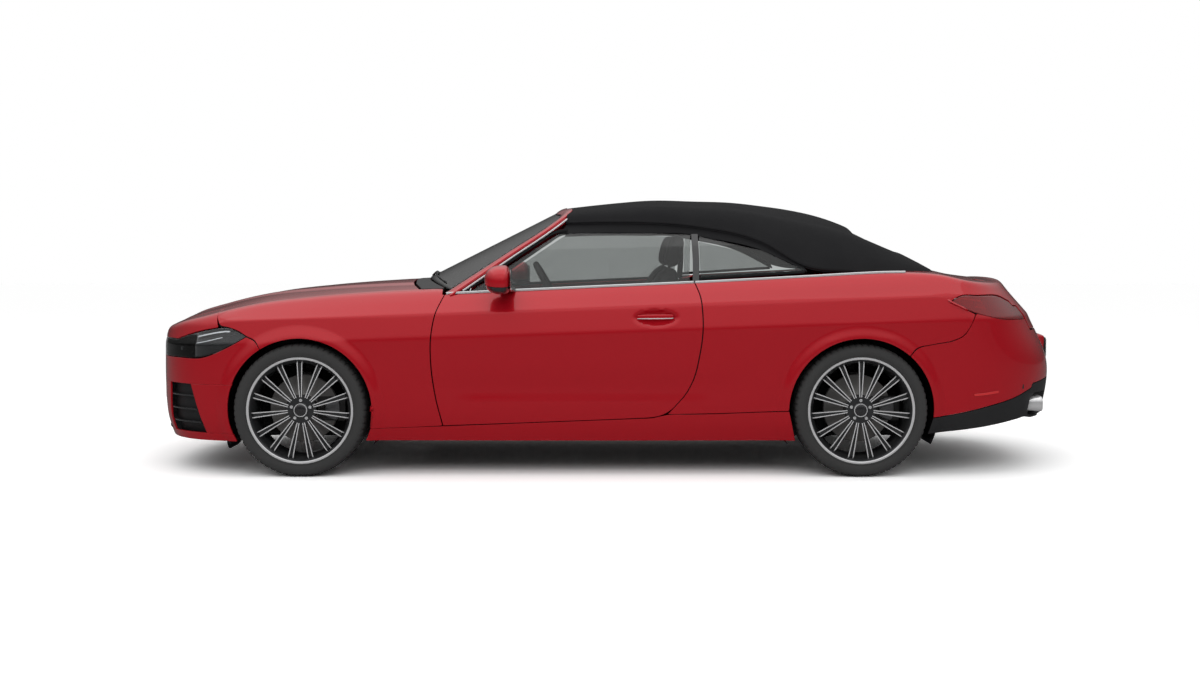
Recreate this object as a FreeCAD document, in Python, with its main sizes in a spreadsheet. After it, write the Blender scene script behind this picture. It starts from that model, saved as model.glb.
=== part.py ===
import FreeCAD, Part
import os
import Sketcher
from FreeCAD import Placement, Rotation, Vector

# A two-door convertible car with its fabric roof up, in millimetres.
# +X points to the rear, +Y to the car's right and +Z up.  The origin is on the ground,
# at mid-length on the centre plane.

doc = FreeCAD.newDocument("convertible_car")

# ---------------------------------------------------------------- driving dimensions
SIZES = (
    # alias, value, what it is
    ("overall_length", 4850, "nose to tail"),
    ("body_width", 1850, "across the lower crease, without the mirrors"),
    ("roof_height", 1424, "ground to the top of the fabric roof"),
    ("wheelbase", 2865, "front axle to rear axle"),
    ("front_overhang", 845, "nose to the front axle"),
    ("front_track", 1580, "between the front wheel centres"),
    ("rear_track", 1560, "between the rear wheel centres"),
    ("kingpin_radius", 16, "pins on which the front wheels steer"),
    ("tyre_radius", 340, "outside of the tread"),
    ("front_tyre_width", 245, "sidewall to sidewall"),
    ("rear_tyre_width", 275, "sidewall to sidewall"),
    ("rim_radius", 254, "bead seat of the wheel"),
    ("flange_height", 17, "how far the wheel's flange stands over the bead seat"),
    ("hub_radius", 78, "centre disc of the wheel"),
    ("spoke_width", 22, "across one spoke"),
    ("spoke_count", 15, "spokes of one wheel"),
    ("disc_radius", 175, "brake disc"),
    ("disc_thickness", 28, "brake disc"),
    ("arch_gap", 30, "tyre tread to the edge of the wheel arch"),
    ("liner_gap", 72, "tyre tread to the wheel-arch liner"),
    ("skin", 12, "thickness of the body panels"),
    ("panel_gap", 10, "clearance round each door and lid"),
    ("seam", 4, "gap between two fixed body panels"),
    ("rest_gap", 0.3, "clearance between curved pieces that rest on each other"),
    ("glass", 5, "thickness of every pane"),
    ("roof_fabric", 18, "fabric roof with its lining"),
    ("engine_length", 640, "engine block"),
    ("engine_width", 480, "engine block"),
    ("engine_height", 470, "engine block"),
    ("seat_width", 480, "one front seat"),
    ("steering_wheel_radius", 170, "centre to the middle of the rim"),
    ("pipe_radius", 30, "exhaust pipe"),
)
sheet = doc.addObject("Spreadsheet::Sheet", "sizes")
for row, (alias, value, meaning) in enumerate(SIZES, start=1):
    sheet.set(f"A{row}", alias)
    sheet.set(f"B{row}", str(value))
    sheet.set(f"C{row}", meaning)
    sheet.setAlias(f"B{row}", alias)
doc.recompute()
# The sizes of the car for which the places and outlines below are written.
NOMINAL = {"overall_length": 4850, "body_width": 1850, "roof_height": 1424, "wheelbase": 2865,
           "front_overhang": 845}


def size(alias):
    """The value that the sheet holds under this alias."""
    return float(getattr(sheet, alias))


# ---------------------------------------------------------------- the car's own scales
# Places are written for the nominal car.  They follow the axles, the width and the roof
# when those sizes change: along() for X, across() for Y and upward() for Z.
NOSE = -NOMINAL["overall_length"] / 2
FRONT_AXLE = NOSE + NOMINAL["front_overhang"]
REAR_AXLE = FRONT_AXLE + NOMINAL["wheelbase"]
TAIL = NOMINAL["overall_length"] / 2

FRONT_AXLE_TEXT = "(sizes.front_overhang - sizes.overall_length / 2)"
REAR_AXLE_TEXT = "(sizes.front_overhang + sizes.wheelbase - sizes.overall_length / 2)"


def along(x):
    """Expression text for the place x along the car."""
    if x < FRONT_AXLE:
        share = (x - FRONT_AXLE) / NOMINAL["front_overhang"]
        return f"({FRONT_AXLE_TEXT} + {share:.10f} * sizes.front_overhang)"
    if x <= REAR_AXLE:
        share = (x - FRONT_AXLE) / NOMINAL["wheelbase"]
        return f"({FRONT_AXLE_TEXT} + {share:.10f} * sizes.wheelbase)"
    share = (x - REAR_AXLE) / (TAIL - REAR_AXLE)
    return f"({REAR_AXLE_TEXT} + {share:.10f} * (sizes.overall_length / 2 - {REAR_AXLE_TEXT}))"


def across(y):
    """Expression text for the place y across the car."""
    return f"({y / NOMINAL['body_width']:.10f} * sizes.body_width)"


def upward(z):
    """Expression text for the height z."""
    return f"({z / NOMINAL['roof_height']:.10f} * sizes.roof_height)"


def x_of(x):
    """The place x along the car, as a number."""
    nose, tail = -size("overall_length") / 2, size("overall_length") / 2
    front = nose + size("front_overhang")
    rear = front + size("wheelbase")
    if x < FRONT_AXLE:
        return front + (x - FRONT_AXLE) / NOMINAL["front_overhang"] * size("front_overhang")
    if x <= REAR_AXLE:
        return front + (x - FRONT_AXLE) / NOMINAL["wheelbase"] * size("wheelbase")
    return rear + (x - REAR_AXLE) / (TAIL - REAR_AXLE) * (tail - rear)


def y_of(y):
    """The place y across the car, as a number."""
    return y / NOMINAL["body_width"] * size("body_width")


def z_of(z):
    """The height z, as a number."""
    return z / NOMINAL["roof_height"] * size("roof_height")


def point(x, y, z):
    """A point of the nominal car, moved to where the sizes put it."""
    return Vector(x_of(x), y_of(y), z_of(z))


# ---------------------------------------------------------------- small helpers
NODES = {}
SIDES = (("left", -1), ("right", 1))


def keep(node, item):
    """Give a finished sub-part its node name."""
    item.Label = node
    NODES[node] = item
    return item


def feature(name, shape):
    """A document object that holds a computed shape."""
    item = doc.addObject("Part::Feature", name)
    item.Shape = shape
    return item


def box(name, x, y, z):
    """A box between two places on each axis, bound to the sheet."""
    item = doc.addObject("Part::Box", name)
    item.setExpression("Length", f"{along(x[1])} - {along(x[0])}")
    item.setExpression("Width", f"{across(y[1])} - {across(y[0])}")
    item.setExpression("Height", f"{upward(z[1])} - {upward(z[0])}")
    item.setExpression("Placement.Base.x", along(x[0]))
    item.setExpression("Placement.Base.y", across(y[0]))
    item.setExpression("Placement.Base.z", upward(z[0]))
    return item


def bar(name, radius, start, end):
    """A round bar from start to end; its radius is a number or an expression."""
    item = doc.addObject("Part::Cylinder", name)
    run = end - start
    item.setExpression("Radius", str(radius))
    item.Height = run.Length
    item.Placement = Placement(start, Rotation(Vector(0, 0, 1), run))
    return item


def fuse(name, items):
    """All the items as one piece."""
    item = doc.addObject("Part::MultiFuse", name)
    item.Shapes = items
    return item


def cut(name, base, tool):
    """The base without the tool."""
    item = doc.addObject("Part::Cut", name)
    item.Base = base
    item.Tool = tool
    return item


def prism(axis, outline, low, high):
    """A solid with the outline (two coordinates a corner) between two places on its axis."""
    if axis == "y":
        corners = [point(a, low, b) for a, b in outline]
        reach = Vector(0, y_of(high) - y_of(low), 0)
    elif axis == "z":
        corners = [point(a, b, low) for a, b in outline]
        reach = Vector(0, 0, z_of(high) - z_of(low))
    else:
        corners = [point(low, a, b) for a, b in outline]
        reach = Vector(x_of(high) - x_of(low), 0, 0)
    face = Part.Face(Part.makePolygon(corners + corners[:1]))
    return face.extrude(reach)


def grown(outline, gap):
    """The outline moved outwards by the gap, corner by corner."""
    turn = 0
    count = len(outline)
    for index in range(count):
        (ax, az), (bx, bz) = outline[index], outline[(index + 1) % count]
        turn += ax * bz - bx * az
    sense = 1 if turn > 0 else -1
    moved = []
    for index in range(count):
        before, here, after = outline[index - 1], outline[index], outline[(index + 1) % count]
        first = Vector(here[0] - before[0], here[1] - before[1], 0).normalize()
        second = Vector(after[0] - here[0], after[1] - here[1], 0).normalize()
        first_out = Vector(first.y, -first.x, 0) * sense
        second_out = Vector(second.y, -second.x, 0) * sense
        middle = first_out + second_out
        step = middle * (2 * gap / middle.dot(middle))
        moved.append((here[0] + step.x, here[1] + step.y))
    return moved


def carve(base, tools):
    """The base without each of the tools, one after the other; the tools stay as they are."""
    for tool in tools:
        base = base.cut(tool.copy())
    return base


def mirrored(shape):
    """The shape on the other side of the centre plane."""
    return shape.mirror(Vector(0, 0, 0), Vector(0, 1, 0))


def joined(shapes):
    """Several solids of one node that do not touch."""
    solids = [solid for shape in shapes for solid in shape.Solids]
    return Part.makeCompound(solids)


# ---------------------------------------------------------------- the body's outer form
# Plan outlines of the body at seven heights.  Each is a ring of arcs: a rounded nose, long
# nearly straight sides and a rounded tail.  Each ring rises to the rear.
LEVELS = (
    # name, height, rise, nose, tail, half width: front, middle, rear
    ("underside", 165, 0.000, -2385, 2330, 840, 850, 840),
    ("skirt", 290, 0.000, -2420, 2392, 880, 887, 880),
    ("waist", 520, 0.015, -2425, 2425, 893, 905, 900),
    ("lower_line", 745, 0.033, -2422, 2396, 895, 915, 919),
    ("upper_line", 866, 0.035, -2400, 2306, 868, 888, 892),
    ("belt", 977, 0.048, -2340, 2236, 765, 800, 798),
    ("crown", 1060, 0.050, -2250, 2180, 655, 670, 660),
)
CREASES = (3, 4)
NOSE_START, NOSE_ROUND = -1750, 2.8
TAIL_START, TAIL_ROUND = 1700, 3.2
PLAN_SHARES = (0.0, 0.55, 0.72, 0.85, 0.955, 1.0)


def rounded_end(start, end, share, roundness):
    """How far along the car the end of a plan outline lies at this share of its width."""
    return start + (end - start) * (1 - abs(share) ** roundness) ** (1 / roundness)


def plan_ring(level, inset, drop):
    """One plan outline of the body, moved inwards by inset and down by drop."""
    name, height, rise, nose, tail, front, middle, rear = level

    def place(x, y):
        level = point(x, y, height - drop)
        return level + Vector(0, 0, z_of(rise * level.x))

    def at_nose(share):
        x = rounded_end(NOSE_START, nose + inset, share, NOSE_ROUND)
        return place(x, share * (front - inset))

    def at_tail(share):
        x = rounded_end(TAIL_START, tail - inset, share, TAIL_ROUND)
        return place(x, share * (rear - inset))

    half = PLAN_SHARES
    edges = [
        (at_nose(-half[1]), at_nose(0), at_nose(half[1])),
        (at_nose(half[1]), at_nose(half[2]), at_nose(half[3])),
        (at_nose(half[3]), at_nose(half[4]), at_nose(1)),
        (at_nose(1), place(0, middle - inset), at_tail(1)),
        (at_tail(1), at_tail(half[4]), at_tail(half[3])),
        (at_tail(half[3]), at_tail(half[2]), at_tail(half[1])),
        (at_tail(half[1]), at_tail(0), at_tail(-half[1])),
        (at_tail(-half[1]), at_tail(-half[2]), at_tail(-half[3])),
        (at_tail(-half[3]), at_tail(-half[4]), at_tail(-1)),
        (at_tail(-1), place(0, inset - middle), at_nose(-1)),
        (at_nose(-1), at_nose(-half[4]), at_nose(-half[3])),
        (at_nose(-half[3]), at_nose(-half[2]), at_nose(-half[1])),
    ]
    return Part.Wire([Part.Arc(*ends).toShape() for ends in edges])


def body_form(inset, drop=0):
    """The whole lower body as a solid, split at its two creases."""
    rings = [plan_ring(level, inset, drop if index == 0 else 0)
             for index, level in enumerate(LEVELS)]
    low, high = CREASES
    flank = Part.makeLoft(rings[:low + 1], True, False)
    band = Part.makeLoft(rings[low:high + 1], True, True)
    shoulder = Part.makeLoft(rings[high:], True, False)
    return flank.fuse([band, shoulder])


def crowned_block(profile, crown, width=1000, drop=0):
    """Everything under a side profile that falls by crown at the given half width."""
    rings = []
    for x, z in profile:
        side = point(x, -width, z - crown - drop)
        middle = point(x, 0, z - drop)
        other = point(x, width, z - crown - drop)
        floor_a = Vector(side.x, side.y, 0)
        floor_b = Vector(other.x, other.y, 0)
        rings.append(Part.Wire([
            Part.Arc(side, middle, other).toShape(),
            Part.makeLine(other, floor_b),
            Part.makeLine(floor_b, floor_a),
            Part.makeLine(floor_a, side),
        ]))
    return Part.makeLoft(rings, True, False)


BONNET_PROFILE = ((-2470, 560), (-2425, 690), (-2370, 752), (-2260, 812), (-2080, 870),
                  (-1850, 925), (-1550, 962), (-1200, 989), (-860, 1005))
DECK_PROFILE = ((380, 1030), (1000, 1058), (1500, 1076), (1700, 1064), (1850, 1032),
                (2000, 1011), (2200, 990), (2330, 976), (2490, 950))
BONNET_CROWN, DECK_CROWN = 85, 50

SKIN = size("skin")
outer = body_form(0)
inner = body_form(SKIN, 60)
under_bonnet_line = crowned_block(BONNET_PROFILE, BONNET_CROWN)
under_bonnet_skin = crowned_block(BONNET_PROFILE, BONNET_CROWN, drop=SKIN)
under_deck_line = crowned_block(DECK_PROFILE, DECK_CROWN)
under_deck_skin = crowned_block(DECK_PROFILE, DECK_CROWN, drop=SKIN)
front_block = outer.common(under_bonnet_line)
rear_block = outer.common(under_deck_line)
front_hollow = inner.common(under_bonnet_skin)
rear_hollow = inner.common(under_deck_skin)

# ---------------------------------------------------------------- outlines of the panels
DOOR = ((-845, 935), (-882, 842), (-905, 718), (-906, 583), (-887, 426), (-851, 272),
        (223, 315), (310, 352), (380, 416), (421, 489), (455, 620), (471, 739), (470, 850),
        (445, 940), (405, 1060), (-790, 1040))
DOOR_INNER = 735
DOOR_HINGE = (-800, 868)
DOOR_HINGE_HEIGHTS = (490, 750)
BONNET_HINGE = (-895, 940)
BOOT_HINGE = (1890, 985)
HEADLAMP = ((-2330, 600), (-2246, 604), (-2077, 612), (-1977, 650), (-1908, 685),
            (-1846, 721), (-1949, 762), (-2091, 742), (-2246, 700), (-2330, 672))
TAIL_LAMP = ((1732, 894), (1779, 922), (1879, 925), (2026, 920), (2116, 880), (2290, 850),
             (2460, 840), (2460, 790), (2200, 800), (2033, 799), (1863, 837))
LAMP_REACH = 470
TAIL_LAMP_REACH = 600
LAMP_FLANGE = 9
BONNET_PLAN = ((-2300, -380), (-2275, -480), (-2229, -560), (-2050, -640), (-1750, -695),
               (-1377, -722), (-986, -728), (-1040, -500), (-1066, -250), (-1075, 0))
BOOT_PLAN = ((1945, 0), (1945, -560), (2010, -610), (2150, -620), (2500, -620), (2500, 0))
BOOT_SILL = 745
ARCH = size("tyre_radius") + size("arch_gap")
LINER = size("tyre_radius") + size("liner_gap")


def both_sides(outline):
    """A half outline from the centre plane, completed on the other side."""
    other = [(a, -b) for a, b in reversed(outline) if b != 0]
    return list(outline) + other


def roller(x, radius, low, high):
    """A cylinder across the car, at an axle."""
    start = Vector(x_of(x), y_of(low), size("tyre_radius"))
    return Part.makeCylinder(radius, y_of(high) - y_of(low), start, Vector(0, 1, 0))


GAP = size("panel_gap")
SEAM = size("seam")
TOUCH = size("rest_gap")
front_arch = roller(FRONT_AXLE, ARCH, -1100, 1100)
rear_arch = roller(REAR_AXLE, ARCH, -1100, 1100)
door_opening = prism("y", grown(DOOR, GAP), -1200, 1200)
bonnet_plan = both_sides(BONNET_PLAN)
boot_plan = both_sides(BOOT_PLAN)
bonnet_opening = prism("z", grown(bonnet_plan, GAP), 500, 1200)
boot_opening = prism("z", grown(boot_plan, GAP), BOOT_SILL - GAP, 1200)
headlamp_opening = prism("y", grown(HEADLAMP, SEAM), -1100, -LAMP_REACH + SEAM)
tail_lamp_opening = prism("y", grown(TAIL_LAMP, SEAM), -1100, -TAIL_LAMP_REACH + SEAM)

SILL = ((-1300, 181), (1000, 181), (1000, 338), (560, 322), (223, 302), (-851, 259), (-1300, 245))
SILL_INNER = 735
LIP_INNER = 872
FENDER = ((-1801, 697), (-1870, 716), (-1990, 770), (-2010, 1100), (-820, 1100), (-820, 264),
          (-1300, 249), (-1400, 249), (-1801, 600))
QUARTER = ((430, 1200), (400, 318), (560, 326), (1000, 342), (1300, 342), (1553, 657),
           (1748, 703), (1801, 729), (1834, 773), (1863, 834), (2033, 803), (2200, 803),
           (2460, 794), (2460, 1200))
FRONT_BUMPER = ((-1805, 693), (-1874, 712), (-1994, 766), (-2110, 1100), (-2600, 1100),
                (-2600, 100), (-1400, 100), (-1805, 600))
REAR_BUMPER = ((1559, 657), (1752, 699), (1808, 727), (1840, 769), (1866, 827), (2033, 799),
               (2200, 799), (2600, 788), (2600, 476), (2273, 476), (2112, 397), (1930, 355),
               (1678, 304), (1500, 304))
DIFFUSER = ((1500, 150), (2100, 216), (2400, 300), (2400, 472), (2273, 472), (2112, 393),
            (1930, 351), (1678, 300), (1500, 300))
GRILLE = ((-420, 440), (420, 440), (470, 560), (430, 690), (-430, 690), (-470, 560))
LOWER_INTAKE = ((-560, 215), (560, 215), (500, 370), (-500, 370))
GRILLE_DEPTH = 45
LAMP_DEPTH = 60
DECK_OPENING = ((300, 0), (300, -735), (1200, -712), (1500, -712), (1790, -700), (1900, -640),
                (1937, -560), (1937, 0))


# ---------------------------------------------------------------- fixed body panels
def front_fender():
    """The left front fender: a thin shell from the bumper seam to the door."""
    block = front_block.copy().common(prism("y", FENDER, -1100, 0))
    return carve(block, [front_hollow, front_arch, door_opening, bonnet_opening, headlamp_opening,
                         cowl_opening])


def rear_quarter():
    """The left rear quarter: a thin shell from the door to the bumper seam."""
    block = rear_block.copy().common(prism("y", QUARTER, -1100, 0))
    return carve(block, [rear_hollow, rear_arch, door_opening, tail_lamp_opening, deck_opening,
                         boot_opening])


def bumper(block, outline, hollow, openings):
    """A bumper shell across the car, open where its lamps, lids and inlets are."""
    shell = block.copy().common(prism("y", outline, -1100, 1100))
    return carve(shell, [hollow] + openings)


def filled(opening, depth, block):
    """What fills an opening of the body, from its outer surface to this depth."""
    return opening.copy().common(block.copy()).cut(body_form(depth, 60))


cowl_opening = prism("z", both_sides(((-1300, 0), (-1300, -SILL_INNER), (-500, -SILL_INNER), (-500, 0))),
                     500, 1300)
deck_opening = prism("z", both_sides(DECK_OPENING), 700, 1300)
grille_opening = prism("x", GRILLE, -2600, -2200)
intake_opening = prism("x", LOWER_INTAKE, -2600, -2200)
tip_openings = [Part.makeCylinder(52, x_of(400) + 2425, point(2000, y, 335), Vector(1, 0, 0))
                for y in (-600, 600)]

fender_left = front_fender()
keep("front_fenders", feature("front_fenders", joined([fender_left, mirrored(fender_left)])))
quarter_left = rear_quarter()
keep("rear_quarters", feature("rear_quarters", joined([quarter_left, mirrored(quarter_left)])))

wheel_rooms = [roller(axle, LINER + TOUCH, -LIP_INNER, LIP_INNER) for axle in (FRONT_AXLE, REAR_AXLE)]
sill_left = outer.common(prism("y", SILL, -1100, -SILL_INNER))
sill_left = carve(sill_left, [front_arch, rear_arch] + wheel_rooms)
keep("side_sills", feature("side_sills", joined([sill_left, mirrored(sill_left)])))

both_headlamps = [headlamp_opening, mirrored(headlamp_opening)]
both_tail_lamps = [tail_lamp_opening, mirrored(tail_lamp_opening)]
front_openings = [front_arch, bonnet_opening, grille_opening, intake_opening] + both_headlamps
rear_openings = [rear_arch, boot_opening, deck_opening] + both_tail_lamps
PLATE_FACE = 2426
PLATE_HALF = 260


def plate_carrier(end, low):
    """The flat carrier of a number plate at the nose (-1) or the tail (1)."""
    outline = ((-PLATE_HALF, low), (PLATE_HALF, low), (PLATE_HALF, low + 110), (-PLATE_HALF, low + 110))
    back, face = sorted((end * (PLATE_FACE - 22), end * PLATE_FACE))
    return prism("x", outline, back, face)


keep("front_bumper", feature("front_bumper", bumper(front_block, FRONT_BUMPER, front_hollow,
                                                    front_openings)))
rear_shell = bumper(rear_block, REAR_BUMPER, rear_hollow, rear_openings)
keep("rear_bumper", feature("rear_bumper", rear_shell.fuse(plate_carrier(1, 565))))
keep("diffuser", feature("diffuser", bumper(rear_block, DIFFUSER, rear_hollow,
                                            [rear_arch] + tip_openings)))

SLAT_PITCH, SLAT_GAP = 30, 19
grille_insert = filled(grille_opening, GRILLE_DEPTH, front_block)
for row in range(7):
    low = 452 + row * SLAT_PITCH
    slot = prism("x", ((-380, low), (380, low), (380, low + SLAT_GAP), (-380, low + SLAT_GAP)), -2600, -2400)
    grille_insert = grille_insert.cut(slot)
intake_insert = filled(intake_opening, GRILLE_DEPTH, front_block)
intake_insert = intake_insert.fuse(plate_carrier(-1, 245))
keep("grille", feature("grille", joined([grille_insert, intake_insert])))
liner_room = body_form(SKIN + TOUCH, 60)
lamp_back = body_form(LAMP_DEPTH, 60)


def lamp(outline, reach, block, lid):
    """The left lamp: it fills its opening and laps behind the panels around it."""
    lens = filled(prism("y", outline, -1100, -reach), LAMP_DEPTH, block)
    behind = prism("y", grown(outline, LAMP_FLANGE), -1100, -reach)
    flange = behind.common(liner_room).common(block).cut(lamp_back)
    return lens.fuse(flange).cut(lid)


headlamp = lamp(HEADLAMP, LAMP_REACH, front_block, bonnet_opening).cut(front_arch)
keep("headlamps", feature("headlamps", joined([headlamp, mirrored(headlamp)])))
tail_lamp = lamp(TAIL_LAMP, TAIL_LAMP_REACH, rear_block, boot_opening)
keep("tail_lamps", feature("tail_lamps", joined([tail_lamp, mirrored(tail_lamp)])))

# ---------------------------------------------------------------- lids and doors
BONNET_DEPTH = 22
LID_DEPTH = 25
bonnet = front_block.common(prism("z", bonnet_plan, 600, 1200))
bonnet = bonnet.cut(crowned_block(BONNET_PROFILE, BONNET_CROWN, drop=BONNET_DEPTH))
boot = rear_block.common(prism("z", boot_plan, BOOT_SILL, 1200))
boot = boot.cut(body_form(LID_DEPTH, 60).common(crowned_block(DECK_PROFILE, DECK_CROWN, drop=LID_DEPTH)))
BOOT_ARM_PATH = ((1883, 985), (1883, 902), (2008, 902), (2008, 1000), (1992, 1000), (1992, 918),
                 (1897, 918), (1897, 985))

DOOR_STEP = 20
HINGE_PIN, HINGE_EYE, HINGE_LEAF = 5.5, 11, 26
POCKET_HALF = 24
HANDLE = (237, 814)
HANDLE_HALF = (115, 38)


def hinge_pocket(height):
    """The room that one hinge leaf needs in the front of the left door."""
    x, y = DOOR_HINGE
    plan = ((-910, -DOOR_INNER + 10), (-910, -y - 60), (x + 16, -y - 60), (x + 16, -DOOR_INNER + 10))
    return prism("z", plan, height - POCKET_HALF, height + POCKET_HALF)


def hinge_pin(height):
    """The pin of one hinge, held at both ends in the door."""
    x, y = DOOR_HINGE
    return Part.makeCylinder(HINGE_PIN, z_of(2 * POCKET_HALF + 4), point(x, -y, height - POCKET_HALF - 2))


def hinge_leaf(height):
    """The fixed leaf of one left hinge: from the post behind the fender round to the pin."""
    x, y = DOOR_HINGE
    half = 6
    low, high = height - HINGE_LEAF / 2, height + HINGE_LEAF / 2
    path = ((x - half, -y + HINGE_EYE - 2), (x - half, -DOOR_INNER + 8), (-926, -DOOR_INNER + 8),
            (-926, -DOOR_INNER + 20), (x + half, -DOOR_INNER + 20), (x + half, -y + HINGE_EYE - 2))
    eye = Part.makeCylinder(HINGE_EYE, z_of(high) - z_of(low), point(x, -y, low))
    bore = Part.makeCylinder(HINGE_PIN + TOUCH, 200, point(x, -y, low - 60))
    return prism("z", path, low, high).fuse(eye).cut(bore)


door_skin = outer.common(prism("y", DOOR, -1100, -500)).cut(inner)
pockets = [hinge_pocket(height) for height in DOOR_HINGE_HEIGHTS]
door_box = inner.common(prism("y", grown(DOOR, -DOOR_STEP), -1100, -DOOR_INNER))
door_belt = prism("y", ((-900, 925), (500, 992), (500, 1200), (-900, 1200)), -1100, -500)
handle_recess = Part.makeSphere(1)
stretch = FreeCAD.Matrix()
stretch.scale(HANDLE_HALF[0], 26, HANDLE_HALF[1])
handle_recess = handle_recess.transformGeometry(stretch)
handle_recess.translate(point(HANDLE[0], -904, HANDLE[1]))
handle_bar = Part.makeBox(236, 9, 20, point(HANDLE[0] - 118, -911, HANDLE[1] - 10))
door_box = carve(door_box, pockets + [door_skin])
door = door_skin.fuse(door_box)
door = carve(door, [door_belt, handle_recess])
door = door.fuse([handle_bar] + [hinge_pin(height) for height in DOOR_HINGE_HEIGHTS])
keep("left_door", feature("left_door", door))
keep("right_door", feature("right_door", mirrored(door)))

# ---------------------------------------------------------------- windscreen
SCREEN_FOOT, SCREEN_FOOT_SIDE = (-1000, 1004), (-815, 940)
SCREEN_HEAD, SCREEN_HEAD_SIDE = (-285, 1362), (-232, 1330)
SCREEN_HALF = (770, 575)
SCREEN_NORMAL = (-0.449, 0.893)


def screen_arc(rise, share, lift):
    """A cross arc of the screen at this rise (0 foot, 1 head) and share of its width."""
    half = share * (SCREEN_HALF[0] + (SCREEN_HALF[1] - SCREEN_HALF[0]) * rise)
    middle = [SCREEN_FOOT[i] + (SCREEN_HEAD[i] - SCREEN_FOOT[i]) * rise for i in (0, 1)]
    edge = [SCREEN_FOOT_SIDE[i] + (SCREEN_HEAD_SIDE[i] - SCREEN_FOOT_SIDE[i]) * rise for i in (0, 1)]
    side = [middle[i] + (edge[i] - middle[i]) * share ** 2 + SCREEN_NORMAL[i] * lift for i in (0, 1)]
    centre = [middle[i] + SCREEN_NORMAL[i] * lift for i in (0, 1)]
    return Part.Arc(point(side[0], -half, side[1]), point(centre[0], 0, centre[1]),
                    point(side[0], half, side[1])).toShape()


def screen_slab(low, high, share, top, bottom):
    """A slab that follows the screen from one rise to another, between two lifts."""
    face = Part.makeRuledSurface(screen_arc(low, share, bottom), screen_arc(high, share, bottom))
    depth = top - bottom
    return face.extrude(Vector(SCREEN_NORMAL[0], 0, SCREEN_NORMAL[1]) * depth)


PANE = size("glass")
screen_glass = screen_slab(0.03, 0.985, 0.955, 0, -PANE)
screen_hole = screen_slab(0.06, 0.95, 0.90, 60, -160)
screen_seat = screen_slab(0.028, 0.987, 0.957, TOUCH, -PANE - TOUCH)
above_belt = prism("y", ((-868, 500), (600, 500), (600, 1012), (-868, 942)), -1100, 1100)
screen_frame = carve(screen_slab(0.0, 1.03, 1.04, 8, -42), [screen_hole, screen_seat, above_belt])
keep("windscreen", feature("windscreen", screen_glass))
keep("windscreen_frame", feature("windscreen_frame", screen_frame))

COWL_PLAN = both_sides(((-1300, 0), (-1300, -700), (-1100, -728), (-986, -732), (-820, -732),
                        (-820, -600), (-880, -400), (-930, 0)))
COWL_DEPTH = 14
PLENUM_FLOOR = 850
ARM_WIDTH = 22
BONNET_ARM = 640
BOOT_ARM = 450
LID_PIN = 5.5
under_cowl = crowned_block(BONNET_PROFILE, BONNET_CROWN, drop=COWL_DEPTH)
cowl_block = front_block.common(prism("z", COWL_PLAN, 800, 1200))
cowl_skin = cowl_block.cut(under_cowl)
cheek = prism("z", ((-980, -732), (-980, -700), (-866, -700), (-866, -732)), PLENUM_FLOOR, 1100)
cowl = cowl_skin.fuse([cheek.common(cowl_block), mirrored(cheek).common(cowl_block)])


def lid_bracket(hinge, arm, top):
    """The fixed bracket of a lid's hinge: a pin between two ears that hang from the panel."""
    x, z = hinge
    pieces = []
    for near, far in ((arm - 22, arm - 14), (arm + 14, arm + 22)):
        ear = prism("y", ((x - 10, z - 10), (x + 10, z - 10), (x + 10, top), (x - 10, top)), -far, -near)
        pieces.append(ear)
    pieces.append(Part.makeCylinder(LID_PIN, y_of(2 * 18), point(x, -arm - 18, z), Vector(0, 1, 0)))
    return pieces[0].fuse(pieces[1:])


def lid_arm(outline, hinge, arm):
    """The curved arm of a lid, with an eye that turns on the bracket's pin."""
    x, z = hinge
    half = ARM_WIDTH / 2
    plate = prism("y", outline, -arm - half, -arm + half)
    eye = Part.makeCylinder(11, y_of(ARM_WIDTH), point(x, -arm - half, z), Vector(0, 1, 0))
    bore = Part.makeCylinder(LID_PIN + TOUCH, y_of(4 * ARM_WIDTH), point(x, -arm - 2 * ARM_WIDTH, z),
                             Vector(0, 1, 0))
    return plate.fuse(eye).cut(bore)


bonnet_bracket = lid_bracket(BONNET_HINGE, BONNET_ARM, 1000).common(under_cowl)
cowl = cowl.fuse([bonnet_bracket, mirrored(bonnet_bracket)])
rear_gap = prism("z", grown(bonnet_plan, GAP + 2), 500, 1200)
cowl = carve(cowl, [rear_gap, screen_slab(0, 1.03, 1.3, 60, -42 - TOUCH)])
cowl = max(cowl.Solids, key=lambda solid: solid.Volume)
keep("cowl", feature("cowl", cowl))

BONNET_ARM_PATH = ((-888, 940), (-888, 862), (-1038, 862), (-1038, 1000), (-1022, 1000), (-1022, 878),
                   (-902, 878), (-902, 940))
under_bonnet = crowned_block(BONNET_PROFILE, BONNET_CROWN, drop=BONNET_DEPTH)
bonnet_arm = lid_arm(BONNET_ARM_PATH, BONNET_HINGE, BONNET_ARM).common(under_bonnet)
bonnet = bonnet.fuse([bonnet_arm, mirrored(bonnet_arm)])
keep("bonnet", feature("bonnet", bonnet))

# ---------------------------------------------------------------- side glass
# The side panes lie in one plane that leans inwards from the belt line.
LEAN = 0.557
BELT_Z, BELT_RISE, BELT_HALF = 977, 0.048, 790
DOOR_GLASS = ((-735, 930), (-632, 998), (-492, 1092), (-345, 1190), (-266, 1240), (-122, 1246),
              (200, 1245), (424, 1238), (412, 1000), (400, 975))
QUARTER_GLASS = ((470, 1020), (468, 1228), (793, 1156), (1000, 1056), (1000, 1045))


def side_pane(outline, depth):
    """A flat pane of the left side windows with its outer face on the side plane."""
    corners = []
    for x, z in outline:
        y = LEAN * (z - BELT_Z - BELT_RISE * x) - BELT_HALF
        corners.append(point(x, y, z))
    face = Part.Face(Part.makePolygon(corners + corners[:1]))
    inwards = face.normalAt(0, 0)
    if inwards.y < 0:
        inwards = inwards * -1
    return face.extrude(inwards * depth)


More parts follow.
